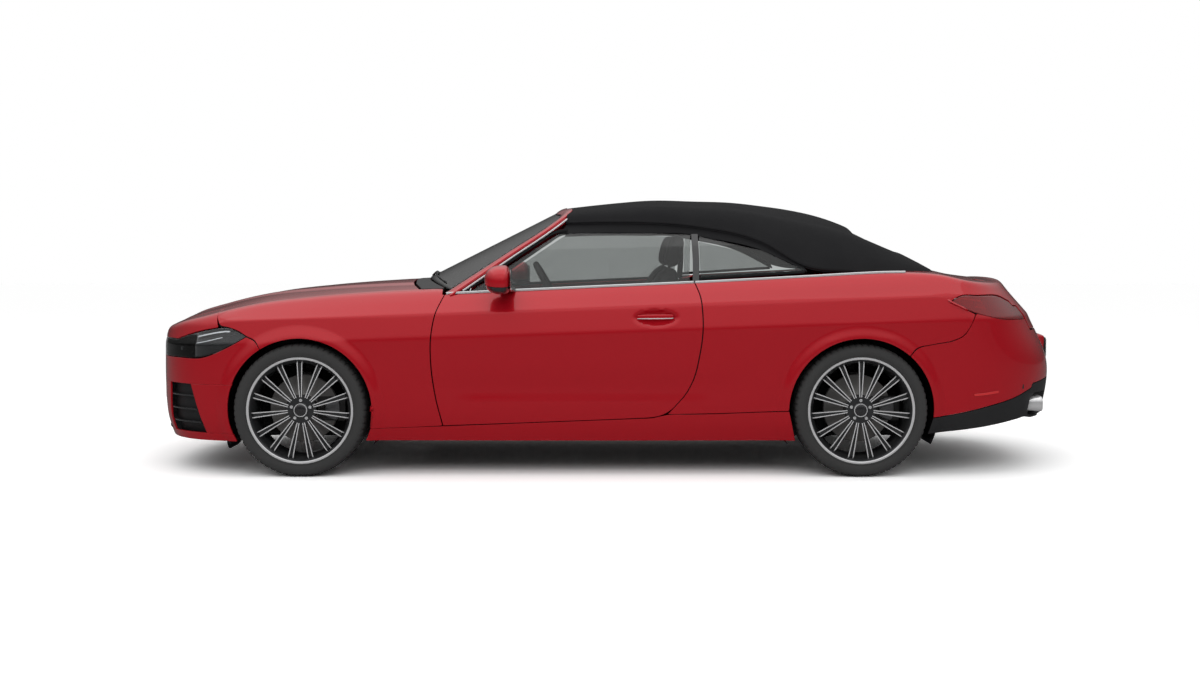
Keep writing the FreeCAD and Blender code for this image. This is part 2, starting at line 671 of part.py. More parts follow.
left_glass = side_pane(DOOR_GLASS, PANE).cut(door)
below_belt = prism("y", ((-900, 500), (500, 500), (500, 989), (-900, 922)), -1100, 0)
left_glass = left_glass.cut(below_belt)
keep("left_door_glass", feature("left_door_glass", left_glass))
keep("right_door_glass", feature("right_door_glass", mirrored(left_glass)))
quarter_glass = side_pane(QUARTER_GLASS, PANE).cut(quarter_left)

# ---------------------------------------------------------------- fabric roof
# Sections across the roof: the centre, the shoulder and the lower edge of each.
ROOF = (
    # x, centre z, shoulder y, shoulder z, edge y, edge z
    (-212, 1380, 520, 1345, 590, 1296),
    (50, 1411, 540, 1365, 618, 1300),
    (300, 1424, 550, 1372, 632, 1292),
    (480, 1420, 555, 1362, 645, 1272),
    (790, 1402, 570, 1325, 690, 1196),
    (1000, 1372, 590, 1270, 745, 1075),
    (1250, 1308, 600, 1215, 752, 1040),
    (1480, 1196, 590, 1130, 735, 1030),
    (1640, 1110, 560, 1075, 700, 1020),
    (1745, 1040, 520, 1025, 640, 1000),
)


def roof_ring(section, inset, floor):
    """One section of the roof, moved inwards, closed along its lower edge."""
    x, crown, shoulder, shoulder_z, edge, edge_z = section
    top = point(x, 0, crown - inset)
    left, right = [point(x, side * (shoulder - 0.7 * inset), shoulder_z - 0.7 * inset) for side in (-1, 1)]
    low_left, low_right = [point(x, side * (edge - inset), edge_z - floor) for side in (-1, 1)]
    bulge = 14
    mid_left, mid_right = [point(x, side * ((shoulder + edge) / 2 + bulge - inset),
                                 (shoulder_z + edge_z - floor) / 2 + bulge * 0.5)
                           for side in (-1, 1)]
    return Part.Wire([
        Part.Arc(low_left, mid_left, left).toShape(), Part.Arc(left, top, right).toShape(),
        Part.Arc(right, mid_right, low_right).toShape(), Part.makeLine(low_right, low_left)])


def roof_form(inset, floor=0):
    """The space under the fabric roof, moved inwards by inset."""
    return Part.makeLoft([roof_ring(section, inset, floor) for section in ROOF], True, True)


FABRIC = size("roof_fabric")
REAR_WINDOW = both_sides(((1300, 0), (1300, -430), (1340, -455), (1560, -430), (1590, -400), (1590, 0)))
roof_outer = roof_form(0)
roof_inner = roof_form(FABRIC, 40)
window_hole = prism("z", REAR_WINDOW, 900, 1500)
roof_shell = carve(roof_outer, [roof_inner, under_deck_line, window_hole,
                               screen_slab(0.5, 1.03 + 0.0005, 1.5, 80, -80)])
keep("soft_top", feature("soft_top", roof_shell))
pane = roof_form(6).cut(roof_form(6 + PANE, 40)).common(window_hole)
keep("rear_window", feature("rear_window", pane))
keep("quarter_windows", feature("quarter_windows", joined([quarter_glass, mirrored(quarter_glass)])))

TONNEAU_PLAN = ((1200, 0), (1200, -708), (1500, -708), (1786, -696), (1896, -636), (1933, -558),
                (1933, 0))
tonneau = rear_block.common(prism("z", both_sides(TONNEAU_PLAN), 700, 1300))
under_deck = crowned_block(DECK_PROFILE, DECK_CROWN, drop=SKIN)
tonneau_hole = both_sides(((1100, 0), (1100, -655), (1420, -640), (1560, -560), (1600, -400), (1620, 0)))
tonneau = carve(tonneau, [under_deck, prism("z", tonneau_hole, 700, 1300), roof_form(-TOUCH)])
boot_bracket = lid_bracket(BOOT_HINGE, BOOT_ARM, 1030).common(under_deck)
tonneau = tonneau.fuse([boot_bracket, mirrored(boot_bracket)])
keep("tonneau_cover", feature("tonneau_cover", tonneau))

boot_arm = lid_arm(BOOT_ARM_PATH, BOOT_HINGE, BOOT_ARM)
boot_arm = boot_arm.common(crowned_block(DECK_PROFILE, DECK_CROWN, drop=LID_DEPTH))
boot = boot.fuse([boot_arm, mirrored(boot_arm)])
keep("boot_lid", feature("boot_lid", boot))


# ---------------------------------------------------------------- wheels
def ring_sketch(body, name, outline):
    """A sketch of a closed outline (radius, place along the axle) on the body's XY plane."""
    sketch = body.newObject("Sketcher::SketchObject", name)
    plane = [item for item in body.Origin.OriginFeatures if item.Role == "XY_Plane"][0]
    sketch.AttachmentSupport = (plane, [""])
    sketch.MapMode = "FlatFace"
    corners = [Vector(radius, place, 0) for radius, place in outline]
    for index, corner in enumerate(corners):
        sketch.addGeometry(Part.LineSegment(corner, corners[(index + 1) % len(corners)]), False)
    count = len(corners)
    for index in range(count):
        sketch.addConstraint(Sketcher.Constraint("Coincident", index, 2, (index + 1) % count, 1))
    return sketch


def turned(body, name, outline):
    """A full revolution of the outline about the body's Y axis."""
    sketch = ring_sketch(body, name + "_sketch", outline)
    ring = body.newObject("PartDesign::Revolution", name)
    ring.Profile = sketch
    ring.ReferenceAxis = (sketch, ["V_Axis"])
    ring.Angle = 360
    return ring


def tyre_body(name, width):
    """A tyre: bead, sidewall and tread, as one turned ring."""
    bead, tread = size("rim_radius") + 0.3, size("tyre_radius")
    flange = bead + size("flange_height")
    half = width / 2
    inside = half - 20
    outline = [(bead, -inside), (flange, -inside), (flange + 22, -half), (tread - 22, -half + 2),
               (tread - 4, -half + 16), (tread, -half + 34), (tread, half - 34),
               (tread - 4, half - 16), (tread - 22, half - 2), (flange + 22, half),
               (flange, inside), (bead, inside)]
    body = doc.addObject("PartDesign::Body", name)
    turned(body, name + "_ring", outline)
    return body


def rim_body(name, width, face):
    """A wheel: barrel with flanges, a hub disc and a ring of spokes; its face is at +face."""
    seat, flange = size("rim_radius"), size("rim_radius") + size("flange_height")
    half = width / 2
    wall = 9
    inside = half - 20 + TOUCH
    barrel = [(seat - wall, -half + 10), (flange, -half + 10), (flange, -inside), (seat, -inside),
              (seat, inside), (flange, inside), (flange, half - 10), (seat - wall, half - 10)]
    body = doc.addObject("PartDesign::Body", name)
    turned(body, name + "_barrel", barrel)
    hub = size("hub_radius")
    turned(body, name + "_hub", [(0, face - 62), (hub, face - 62), (hub, face - 20), (0, face - 12)])
    spoke = body.newObject("Sketcher::SketchObject", name + "_spoke_sketch")
    plane = [item for item in body.Origin.OriginFeatures if item.Role == "XY_Plane"][0]
    spoke.AttachmentSupport = (plane, [""])
    spoke.MapMode = "FlatFace"
    corners = [Vector(hub - 12, face - 52, 0), Vector(seat - wall + 4, face - 34, 0),
               Vector(seat - wall + 4, face - 2, 0), Vector(hub - 12, face - 22, 0)]
    for index, corner in enumerate(corners):
        spoke.addGeometry(Part.LineSegment(corner, corners[(index + 1) % 4]), False)
    for index in range(4):
        spoke.addConstraint(Sketcher.Constraint("Coincident", index, 2, (index + 1) % 4, 1))
    pad = body.newObject("PartDesign::Pad", name + "_spoke")
    pad.Profile = spoke
    pad.setExpression("Length", "sizes.spoke_width")
    pad.Midplane = True
    pattern = body.newObject("PartDesign::PolarPattern", name + "_spokes")
    pattern.Originals = [pad]
    axis = [item for item in body.Origin.OriginFeatures if item.Role == "Y_Axis"][0]
    pattern.Axis = (axis, [""])
    pattern.Angle = 360
    pattern.setExpression("Occurrences", "sizes.spoke_count")
    body.Tip = pattern
    return body


WHEELS = (("front_left", "front", -1), ("front_right", "front", 1),
          ("rear_left", "rear", -1), ("rear_right", "rear", 1))
AXLE_TEXT = {"front": FRONT_AXLE_TEXT, "rear": REAR_AXLE_TEXT}
HAT_RADIUS = 72
HUB_BORE = 26
FACE = 95


def at_wheel(item, end, side, inboard=0):
    """Bind an item built about the Y axis to a wheel's centre, moved inboard."""
    item.setExpression("Placement.Base.x", AXLE_TEXT[end])
    item.setExpression("Placement.Base.y", f"{side} * (sizes.{end}_track / 2 - {inboard})")
    item.setExpression("Placement.Base.z", "sizes.tyre_radius")


for corner, end, side in WHEELS:
    width = size(end + "_tyre_width")
    turn = Rotation(Vector(1, 0, 0), 180) if side < 0 else Rotation()
    tyre = tyre_body(corner + "_tyre_body", width)
    rim = rim_body(corner + "_rim_body", width, FACE)
    for body in (tyre, rim):
        body.Placement = Placement(Vector(0, 0, 0), turn)
        at_wheel(body, end, side)
    keep(corner + "_tyre", tyre)
    keep(corner + "_rim", rim)

    ring = doc.addObject("Part::Cylinder", corner + "_disc_ring")
    ring.setExpression("Radius", "sizes.disc_radius")
    ring.setExpression("Height", "sizes.disc_thickness")
    hat = doc.addObject("Part::Cylinder", corner + "_disc_hat")
    hat.Radius = HAT_RADIUS
    hat.Height = 78
    bore = doc.addObject("Part::Cylinder", corner + "_disc_bore")
    bore.Radius = HUB_BORE
    bore.Height = 400
    for piece, start in ((ring, -45), (hat, -45), (bore, -200)):
        piece.Placement = Placement(Vector(0, 0, 0), Rotation(Vector(1, 0, 0), -90 * side))
        piece.setExpression("Placement.Base.x", AXLE_TEXT[end])
        piece.setExpression("Placement.Base.y", f"{side} * (sizes.{end}_track / 2 + {start})")
        piece.setExpression("Placement.Base.z", "sizes.tyre_radius")
    body = fuse(corner + "_disc_blank", [ring, hat])
    keep(corner + "_disc", cut(corner + "_disc", body, bore))


# ---------------------------------------------------------------- knuckles and axles
KINGPIN_INBOARD = 90
PIN_CLEARANCE = 0.3


def side_box(name, x, y, z, end, side):
    """A box beside a wheel: x and z from its centre, y outwards from the centre plane."""
    item = doc.addObject("Part::Box", name)
    item.Length = x[1] - x[0]
    item.Width = y[1] - y[0]
    item.Height = z[1] - z[0]
    item.setExpression("Placement.Base.x", f"{AXLE_TEXT[end]} + {x[0]}")
    low = y[0] if side > 0 else y[1]
    item.setExpression("Placement.Base.y", f"{side} * (sizes.{end}_track / 2 - {790 - low})")
    item.setExpression("Placement.Base.z", f"sizes.tyre_radius + {z[0]}")
    return item


def kingpin(name, radius, heights, end, side):
    """An upright pin on a steering axis, its ends measured from the wheel's centre."""
    pin = doc.addObject("Part::Cylinder", name)
    pin.setExpression("Radius", radius)
    pin.Height = heights[1] - heights[0]
    pin.setExpression("Placement.Base.x", AXLE_TEXT[end])
    pin.setExpression("Placement.Base.y", f"{side} * (sizes.{end}_track / 2 - {KINGPIN_INBOARD})")
    pin.setExpression("Placement.Base.z", f"sizes.tyre_radius + {heights[0]}")
    return pin


def knuckle(corner, end, side):
    """What carries a wheel: an upright, its stub axle and the brake caliper over the disc."""
    axle = Vector(x_of(FRONT_AXLE if end == "front" else REAR_AXLE), 0, size("tyre_radius"))
    track = size(end + "_track") / 2
    inner, outer = Vector(axle.x, side * (track - 130), axle.z), Vector(axle.x, side * (track + 25), axle.z)
    stub = bar(corner + "_stub", HUB_BORE - 0.3, inner, outer)
    boss = bar(corner + "_boss", 58, inner, Vector(axle.x, side * (track - 60), axle.z))
    upright = side_box(corner + "_upright", (-34, 34), (662, 722), (-150, 165), end, side)
    bridge = side_box(corner + "_caliper_block", (72, 215), (700, 786), (-62, 62), end, side)
    slot = bar(corner + "_caliper_slot", size("disc_radius") + 6, Vector(axle.x, side * (track - 51), axle.z),
               Vector(axle.x, side * (track - 45 + size("disc_thickness") + 6), axle.z))
    room = bar(corner + "_caliper_room", HAT_RADIUS + 8, Vector(axle.x, side * (track - 51), axle.z),
               Vector(axle.x, side * (track + 60), axle.z))
    caliper = cut(corner + "_caliper_cut", cut(corner + "_caliper", bridge, slot), room)
    arm = side_box(corner + "_caliper_arm", (20, 100), (672, 712), (-50, 50), end, side)
    pin = kingpin(corner + "_kingpin", "sizes.kingpin_radius", (-170, 180), end, side)
    return fuse(corner + "_knuckle_piece", [stub, boss, upright, caliper, arm, pin])


for corner, end, side in WHEELS[:2]:
    keep(corner + "_knuckle", knuckle(corner, end, side))


def arms(name, end, side):
    """The two links and the spring leg that carry one knuckle."""
    low = side_box(name + "_low", (-38, 38), (330, 718), (-172, -150.3), end, side)
    high = side_box(name + "_high", (-30, 30), (430, 718), (165.3, 182), end, side)
    axle = x_of(FRONT_AXLE if end == "front" else REAR_AXLE)
    shift = size(end + "_track") / 2 - 790
    foot = Vector(axle, side * (560 + shift), size("tyre_radius") - 160)
    head = Vector(axle, side * (530 + shift), size("tyre_radius") + LINER - 3)
    leg = bar(name + "_leg", 42, foot, head)
    return [low, high, leg]


BEAM_TOP = 105
front_cross = doc.addObject("Part::Box", "front_cross_beam")
front_cross.Length = 200
front_cross.setExpression("Width", "sizes.front_track - 880")
front_cross.Height = 70
front_cross.setExpression("Placement.Base.x", f"{FRONT_AXLE_TEXT} - 100")
front_cross.setExpression("Placement.Base.y", "440 - sizes.front_track / 2")
front_cross.setExpression("Placement.Base.z", f"sizes.tyre_radius - {BEAM_TOP} - 70")
front_beam = [front_cross]
bores = []
for corner, end, side in WHEELS[:2]:
    front_beam += arms(corner + "_arm", end, side)
    front_beam.append(side_box(corner + "_tower", (-60, 60), (455, 475), (60, 460), end, side))
    bores.append(kingpin(corner + "_pin_bore", f"sizes.kingpin_radius + {PIN_CLEARANCE}", (-200, 200),
                         end, side))
keep("front_axle", cut("front_axle", fuse("front_axle_blank", front_beam), fuse("pin_bores", bores)))
rear_beam = [
    box("rear_cross_beam", (1195, 1375), (-420, 420), (240, 340)),
    box("final_drive", (1175, 1395), (-120, 120), (240, 430)),
]
for corner, end, side in WHEELS[2:]:
    rear_beam += arms(corner + "_arm", end, side)
    rear_beam.append(knuckle(corner, end, side))
    rear_beam.append(bar(corner + "_shaft", 20, Vector(x_of(REAR_AXLE), 0, size("tyre_radius")),
                         Vector(x_of(REAR_AXLE), side * 670, size("tyre_radius"))))
keep("rear_axle", fuse("rear_axle", rear_beam))

# ---------------------------------------------------------------- floor and inner walls
TUNNEL_HALF = 105
DASH_FRONT = -848
def front_rail(name, side):
    """A rail from the firewall to the front member, at a fixed distance from the wheels."""
    item = box(f"front_rail_{name}", (-2230, -1030), (400, 455), (380, 480))
    item.setExpression("Width", "55")
    inboard = 390 if side > 0 else 335
    item.setExpression("Placement.Base.y", f"{side} * (sizes.front_track / 2 - {inboard})")
    return item


floor_items = [front_rail(name, side) for name, side in SIDES] + [
    box("floor_left", (-1010, 760), (-735, -TUNNEL_HALF), (181, 205)),
    box("floor_right", (-1010, 760), (TUNNEL_HALF, 735), (181, 205)),
    box("tunnel_left", (-1010, 760), (-TUNNEL_HALF - 20, -TUNNEL_HALF), (181, 400)),
    box("tunnel_right", (-1010, 760), (TUNNEL_HALF, TUNNEL_HALF + 20), (181, 400)),
    box("tunnel_top", (-1010, 760), (-TUNNEL_HALF, TUNNEL_HALF), (380, 400)),
    box("firewall_left", (-1030, -1010), (-735, -TUNNEL_HALF), (181, 850)),
    box("firewall_right", (-1030, -1010), (TUNNEL_HALF, 735), (181, 850)),
    box("firewall_top", (-1030, -1010), (-TUNNEL_HALF, TUNNEL_HALF), (380, 850)),
    box("plenum_floor", (-1030, -850), (-735, 735), (838, 850)),
    box("plenum_wall", (-862, -850), (-735, 735), (838, 905)),
    box("left_post", (-1010, -926), (-735, -690), (205, 838)),
    box("right_post", (-1010, -926), (690, 735), (205, 838)),
    box("heel_left", (740, 760), (-735, -TUNNEL_HALF), (181, 440)),
    box("heel_right", (740, 760), (TUNNEL_HALF, 735), (181, 440)),
    box("heel_top", (740, 760), (-TUNNEL_HALF, TUNNEL_HALF), (380, 440)),
    box("rear_floor", (740, 2150), (-470, 470), (440, 462)),
    box("boot_floor_left", (1720, 2150), (-760, -470), (440, 462)),
    box("boot_floor_right", (1720, 2150), (470, 760), (440, 462)),
    box("front_member", (-2290, -2230), (-600, 600), (380, 560)),
    box("left_side_wall", (480, 840), (-735, -700), (205, 960)),
    box("right_side_wall", (480, 840), (700, 735), (205, 960)),
]
for height in DOOR_HINGE_HEIGHTS:
    leaf = hinge_leaf(height)
    floor_items.append(feature(f"left_hinge_{height}", leaf))
    floor_items.append(feature(f"right_hinge_{height}", mirrored(leaf)))
keep("floor_pan", fuse("floor_pan", floor_items))


# ---------------------------------------------------------------- wheel-arch liners
def liner(axle, side):
    """A half drum over one wheel, from the chassis to the inside of the body skin."""
    low, high = (-1000, -480) if side < 0 else (480, 1000)
    drum = roller(axle, LINER + 5, low, high).cut(roller(axle, LINER, low, high))
    above = prism("y", ((axle - 600, 300), (axle + 600, 300), (axle + 600, 1200), (axle - 600, 1200)),
                  -1100, 1100)
    return drum.common(above)


front_liner = liner(FRONT_AXLE, -1).common(liner_room).cut(sill_left)
rear_liner = liner(REAR_AXLE, -1).common(liner_room).cut(sill_left)
keep("wheel_liners", feature("wheel_liners", joined([front_liner, mirrored(front_liner), rear_liner,
                                                     mirrored(rear_liner)])))

# ---------------------------------------------------------------- power train
engine = doc.addObject("Part::Box", "engine_block")
engine.setExpression("Length", "sizes.engine_length")
engine.setExpression("Width", "sizes.engine_width")
engine.setExpression("Height", "sizes.engine_height")
engine.setExpression("Placement.Base.x", f"{FRONT_AXLE_TEXT} - sizes.engine_length * 0.55")
engine.setExpression("Placement.Base.y", "-sizes.engine_width / 2")
engine.setExpression("Placement.Base.z", f"sizes.tyre_radius - {BEAM_TOP} + sizes.rest_gap")
keep("engine", engine)

pipe = bar("exhaust_pipe", "sizes.pipe_radius", point(-1360, 0, 190), point(1760, 0, 190))
port = Vector(x_of(-1330), 0, size("tyre_radius") - BEAM_TOP)
down_pipe = bar("down_pipe", "sizes.pipe_radius", point(-1330, 0, 190), port)
hangers = [box(f"{name}_hanger", (1880, 1920), sorted((side * 280, side * 320)), (400, 440))
           for name, side in SIDES]
silencer = box("silencer", (1740, 2090), (-640, 640), (215, 400))
link = box("exhaust_link", (1715, 1795), (-45, 45), (154, 246))
tips = [bar(f"{name}_tip", 42, point(2080, side * 600, 335), point(2330, side * 600, 335))
        for name, side in SIDES]
keep("exhaust", fuse("exhaust", [pipe, down_pipe, link, silencer] + hangers + tips))


# ---------------------------------------------------------------- cabin
def seat(name, centre):
    """One front seat: plinth, cushion, leaning back and head restraint."""
    half = size("seat_width") * NOMINAL["body_width"] / size("body_width") / 2
    side = (centre - half, centre + half)
    cushion = box(name + "_cushion", (-470, 60), side, (300, 450))
    plinth = box(name + "_plinth", (-380, 20), (centre - half + 60, centre + half - 60), (205, 300))
    back_outline = ((20, 330), (120, 330), (400, 1075), (290, 1085), (10, 470))
    back = feature(name + "_back", prism("y", back_outline, side[0] + 15, side[1] - 15))
    head_outline = ((285, 1070), (400, 1060), (428, 1225), (330, 1236))
    head = feature(name + "_head", prism("y", head_outline, centre - 130, centre + 130))
    return [cushion, plinth, back, head]


left_seat = fuse("left_front_seat", seat("left_seat", -380))
right_seat = fuse("right_front_seat", seat("right_seat", 380))
doc.recompute()
keep("front_seats", feature("front_seats", joined([left_seat.Shape, right_seat.Shape])))

rear_cushion = box("rear_cushion", (560, 900), (-455, 455), (462, 560))
rear_back = feature("rear_back", prism("y", ((850, 462), (940, 462), (1080, 985), (980, 985)), -455, 455))
keep("rear_seat", fuse("rear_seat", [rear_cushion, rear_back]))

DASH = ((DASH_FRONT, 560), (-700, 600), (-640, 700), (-650, 830), (-760, 905), (DASH_FRONT, 912))
dash_block = prism("y", DASH, -680, 680)
console = prism("y", ((-820, 400), (120, 400), (120, 560), (-300, 590), (-700, 620), (-820, 620)),
                -125, 125)
WHEEL_CENTRE = point(-311, -380, 932)
COLUMN = Vector(-0.874, 0, -0.486)
column_end = WHEEL_CENTRE + COLUMN * 470
column_bore = Part.makeCylinder(20.3, 600, WHEEL_CENTRE, COLUMN)
column_tube = Part.makeCylinder(45, 330, WHEEL_CENTRE + COLUMN * 90, COLUMN)
dashboard = dash_block.fuse([console, column_tube]).cut([column_bore, screen_slab(-0.3, 0.5, 1.4, 60, -80)])
keep("dashboard", feature("dashboard", dashboard))

wheel_rim = doc.addObject("Part::Torus", "steering_wheel_rim")
wheel_rim.setExpression("Radius1", "sizes.steering_wheel_radius")
wheel_rim.Radius2 = 14
wheel_rim.Placement = Placement(WHEEL_CENTRE, Rotation(Vector(0, 0, 1), COLUMN))
wheel_hub = bar("steering_wheel_hub", 62, WHEEL_CENTRE, WHEEL_CENTRE + COLUMN * 50)
shaft = bar("steering_shaft", 20, WHEEL_CENTRE + COLUMN * 10, WHEEL_CENTRE + COLUMN * 400)
spokes = []
for name, angle in (("left", 180), ("right", 0), ("lower", 270)):
    spoke = doc.addObject("Part::Box", "steering_wheel_spoke_" + name)
    spoke.setExpression("Length", "sizes.steering_wheel_radius")
    spoke.Width = 40
    spoke.Height = 14
    local = Placement(Vector(0, 0, 0), Rotation(Vector(0, 0, 1), angle))
    frame = Placement(WHEEL_CENTRE, Rotation(Vector(0, 1, 0), Vector(-0.486, 0, 0.874), COLUMN, "ZXY"))
    spoke.Placement = frame.multiply(local).multiply(Placement(Vector(0, -20, 0), Rotation()))
    spokes.append(spoke)
keep("steering_wheel", fuse("steering_wheel", [wheel_rim, wheel_hub, shaft] + spokes))

# ---------------------------------------------------------------- mirrors
def mirror_housing(side):
    """A door mirror: the housing on a short foot that stands on the door's belt."""
    shell = doc.addObject("Part::Ellipsoid", f"mirror_shell_{side}")
    shell.Radius1 = 75
    shell.Radius2 = 98
    shell.Radius3 = 112
    shell.Placement = Placement(point(-535, side * 935, 1010), Rotation())
    foot = bar(f"mirror_foot_{side}", 22, point(-520, side * 800, 958), point(-530, side * 900, 985))
    return fuse(f"mirror_{side}", [shell, foot])


for name, side in SIDES:
    mirror = mirror_housing(side)
    door_item = NODES[name + "_door"]
    keep(name + "_mirror", cut(name + "_mirror", mirror, door_item))

doc.recompute()
for item in doc.Objects:
    if {"Invalid", "Error"} & set(item.State):
        raise RuntimeError(f"{item.Name} did not compute: {item.State}")
for node, item in NODES.items():
    if item.Shape.isNull() or not item.Shape.isValid():
        raise RuntimeError(f"{node} has no valid shape")
os.makedirs("parts", exist_ok=True)
for node, item in NODES.items():
    item.Shape.exportStep(f"parts/{node}.step")
print(len(NODES), "nodes written")
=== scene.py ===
"""Looks of a two-door convertible car with its fabric roof up.

Every length is in metres.  +X runs to the rear, +Y to the car's right and +Z up.
"""
import logging
import math
from dataclasses import dataclass, field
from enum import Enum
from typing import Iterable, Sequence

import bmesh
import bpy
import numpy as np
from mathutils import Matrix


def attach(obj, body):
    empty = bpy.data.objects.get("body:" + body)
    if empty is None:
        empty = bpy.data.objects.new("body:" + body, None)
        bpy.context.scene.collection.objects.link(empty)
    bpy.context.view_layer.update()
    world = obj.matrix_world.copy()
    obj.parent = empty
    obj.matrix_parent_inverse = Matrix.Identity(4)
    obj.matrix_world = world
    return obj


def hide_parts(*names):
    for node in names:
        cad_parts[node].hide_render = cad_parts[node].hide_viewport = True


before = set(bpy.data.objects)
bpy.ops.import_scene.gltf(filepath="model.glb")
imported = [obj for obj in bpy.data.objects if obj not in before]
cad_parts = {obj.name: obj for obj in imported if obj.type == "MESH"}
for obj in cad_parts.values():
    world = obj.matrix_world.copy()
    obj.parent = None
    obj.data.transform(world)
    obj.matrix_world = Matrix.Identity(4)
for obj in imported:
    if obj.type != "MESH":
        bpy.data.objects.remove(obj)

log = logging.getLogger("convertible")
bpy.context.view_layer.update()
Array = np.ndarray
Points = Sequence[Sequence[float]]
Table = tuple[tuple[float, ...], ...]


# ---------------------------------------------------------------- shader expressions
class Sock:
    """A shader socket; its operators add Math nodes to the material it belongs to."""

    def __init__(self, shade: "Shade", link: bpy.types.NodeSocket) -> None:
        """Remember the material and the socket."""
        self.shade = shade
        self.link = link

    def __add__(self, other: "Sock | float") -> "Sock":
        """Sum."""
        return self.shade.maths("ADD", self, other)

    __radd__ = __add__

    def __sub__(self, other: "Sock | float") -> "Sock":
        """Difference."""
        return self.shade.maths("SUBTRACT", self, other)

    def __rsub__(self, other: "Sock | float") -> "Sock":
        """Difference from a number."""
        return self.shade.maths("SUBTRACT", other, self)

    def __mul__(self, other: "Sock | float") -> "Sock":
        """Product."""
        return self.shade.maths("MULTIPLY", self, other)

    __rmul__ = __mul__

    def wave(self) -> "Sock":
        """Sine of the value."""
        return self.shade.maths("SINE", self)


class Shade:
    """A material, or the world, while its nodes are put together."""

    def __init__(self, name: str, world: bpy.types.World | None = None) -> None:
        """Start an empty material, or empty the world.

        Args:
            name: The material's name.
            world: The world, when its nodes are the ones to put together.
        """
        self.material = world or bpy.data.materials.new(name)
        self.material.use_nodes = True
        self.tree = self.material.node_tree
        self.tree.nodes.clear()

    def node(self, kind: str, settings: dict | None = None, sockets: dict | None = None) -> bpy.types.Node:
        """Add one node.

        Args:
            kind: The node's type without its ShaderNode prefix.
            settings: Properties set before the sockets.
            sockets: Values, Sock links or node sockets by name or index.

        Returns:
            The node.
        """
        made = self.tree.nodes.new("ShaderNode" + kind)
        for key, value in (settings or {}).items():
            setattr(made, key, value)
        for key, value in (sockets or {}).items():
            target = made.inputs[key]
            if isinstance(value, Sock):
                self.tree.links.new(value.link, target)
            else:
                target.default_value = value
        return made

    def maths(self, operation: str, first: "Sock | float", second: "Sock | float" = 0.0) -> Sock:
        """One Math node on two values.

        Args:
            operation: The operation.
            first: First value or link.
            second: Second value or link.

        Returns:
            The result.
        """
        made = self.node("Math", {"operation": operation}, {0: first, 1: second})
        return Sock(self, made.outputs[0])

    def place(self, scale: Sequence[float] = (1.0, 1.0, 1.0), source: str = "Object",
              turn: Sequence[float] = (0.0, 0.0, 0.0)) -> Sock:
        """The place on the piece, stretched along its axes.

        Args:
            scale: Stretch along X, Y and Z.
            source: Object for the row frame or UV for the piece's own map.
            turn: Angles in radians that turn the pattern.

        Returns:
            A vector socket.
        """
        spot = self.node("TexCoord")
        moved = self.node("Mapping", {}, {"Vector": Sock(self, spot.outputs[source]), "Rotation": turn,
                "Scale": scale})
        return Sock(self, moved.outputs[0])

    def parts(self, vector: Sock) -> tuple[Sock, Sock, Sock]:
        """The three numbers of a vector."""
        made = self.node("SeparateXYZ", {}, {0: vector})
        return tuple(Sock(self, out) for out in made.outputs)

    def noise(self, vector: Sock, scale: float, detail: float = 3.0) -> Sock:
        """Smooth noise between 0 and 1."""
        made = self.node("TexNoise", {}, {"Vector": vector, "Scale": scale, "Detail": detail})
        return Sock(self, made.outputs[0])

    def cells(self, vector: Sock, scale: float) -> Sock:
        """Distance to the nearest of scattered points, as in leather grain."""
        made = self.node("TexVoronoi", {}, {"Vector": vector, "Scale": scale})
        return Sock(self, made.outputs[0])

    def blend(self, share: "Sock | float", first: "Sock | Sequence[float]",
              second: "Sock | Sequence[float]") -> Sock:
        """A colour between two colours.

        Args:
            share: Share of the second colour.
            first: The first colour, as numbers or a link.
            second: The second colour.

        Returns:
            A colour socket.
        """
        made = self.node("Mix", {"data_type": "RGBA"})
        for index, value in ((0, share), (6, first), (7, second)):
            if isinstance(value, Sock):
                self.tree.links.new(value.link, made.inputs[index])
            else:
                made.inputs[index].default_value = value if index == 0 else (*value, 1.0)
        return Sock(self, made.outputs[2])

    def bump(self, height: Sock, depth: float) -> Sock:
        """A surface normal that follows a height in metres."""
        made = self.node("Bump", {}, {"Height": height, "Distance": depth, "Strength": 1.0})
        return Sock(self, made.outputs[0])

    def principled(self, sockets: dict) -> Sock:
        """A Principled shader with these sockets."""
        return Sock(self, self.node("BsdfPrincipled", {}, sockets).outputs[0])

    def close(self, shader: Sock) -> bpy.types.Material:
        """Link the finished shader to the output."""
        self.node("OutputMaterial", {}, {0: shader})
        return self.material


# ---------------------------------------------------------------- finishes
class Pattern(Enum):
    """What varies over a finish."""

    MOULDED = "moulded"
    FLAKES = "flakes"
    WEAVE = "weave"
    LEATHER = "leather"
    TURNED = "turned"
    BRUSHED = "brushed"
    CARPET = "carpet"


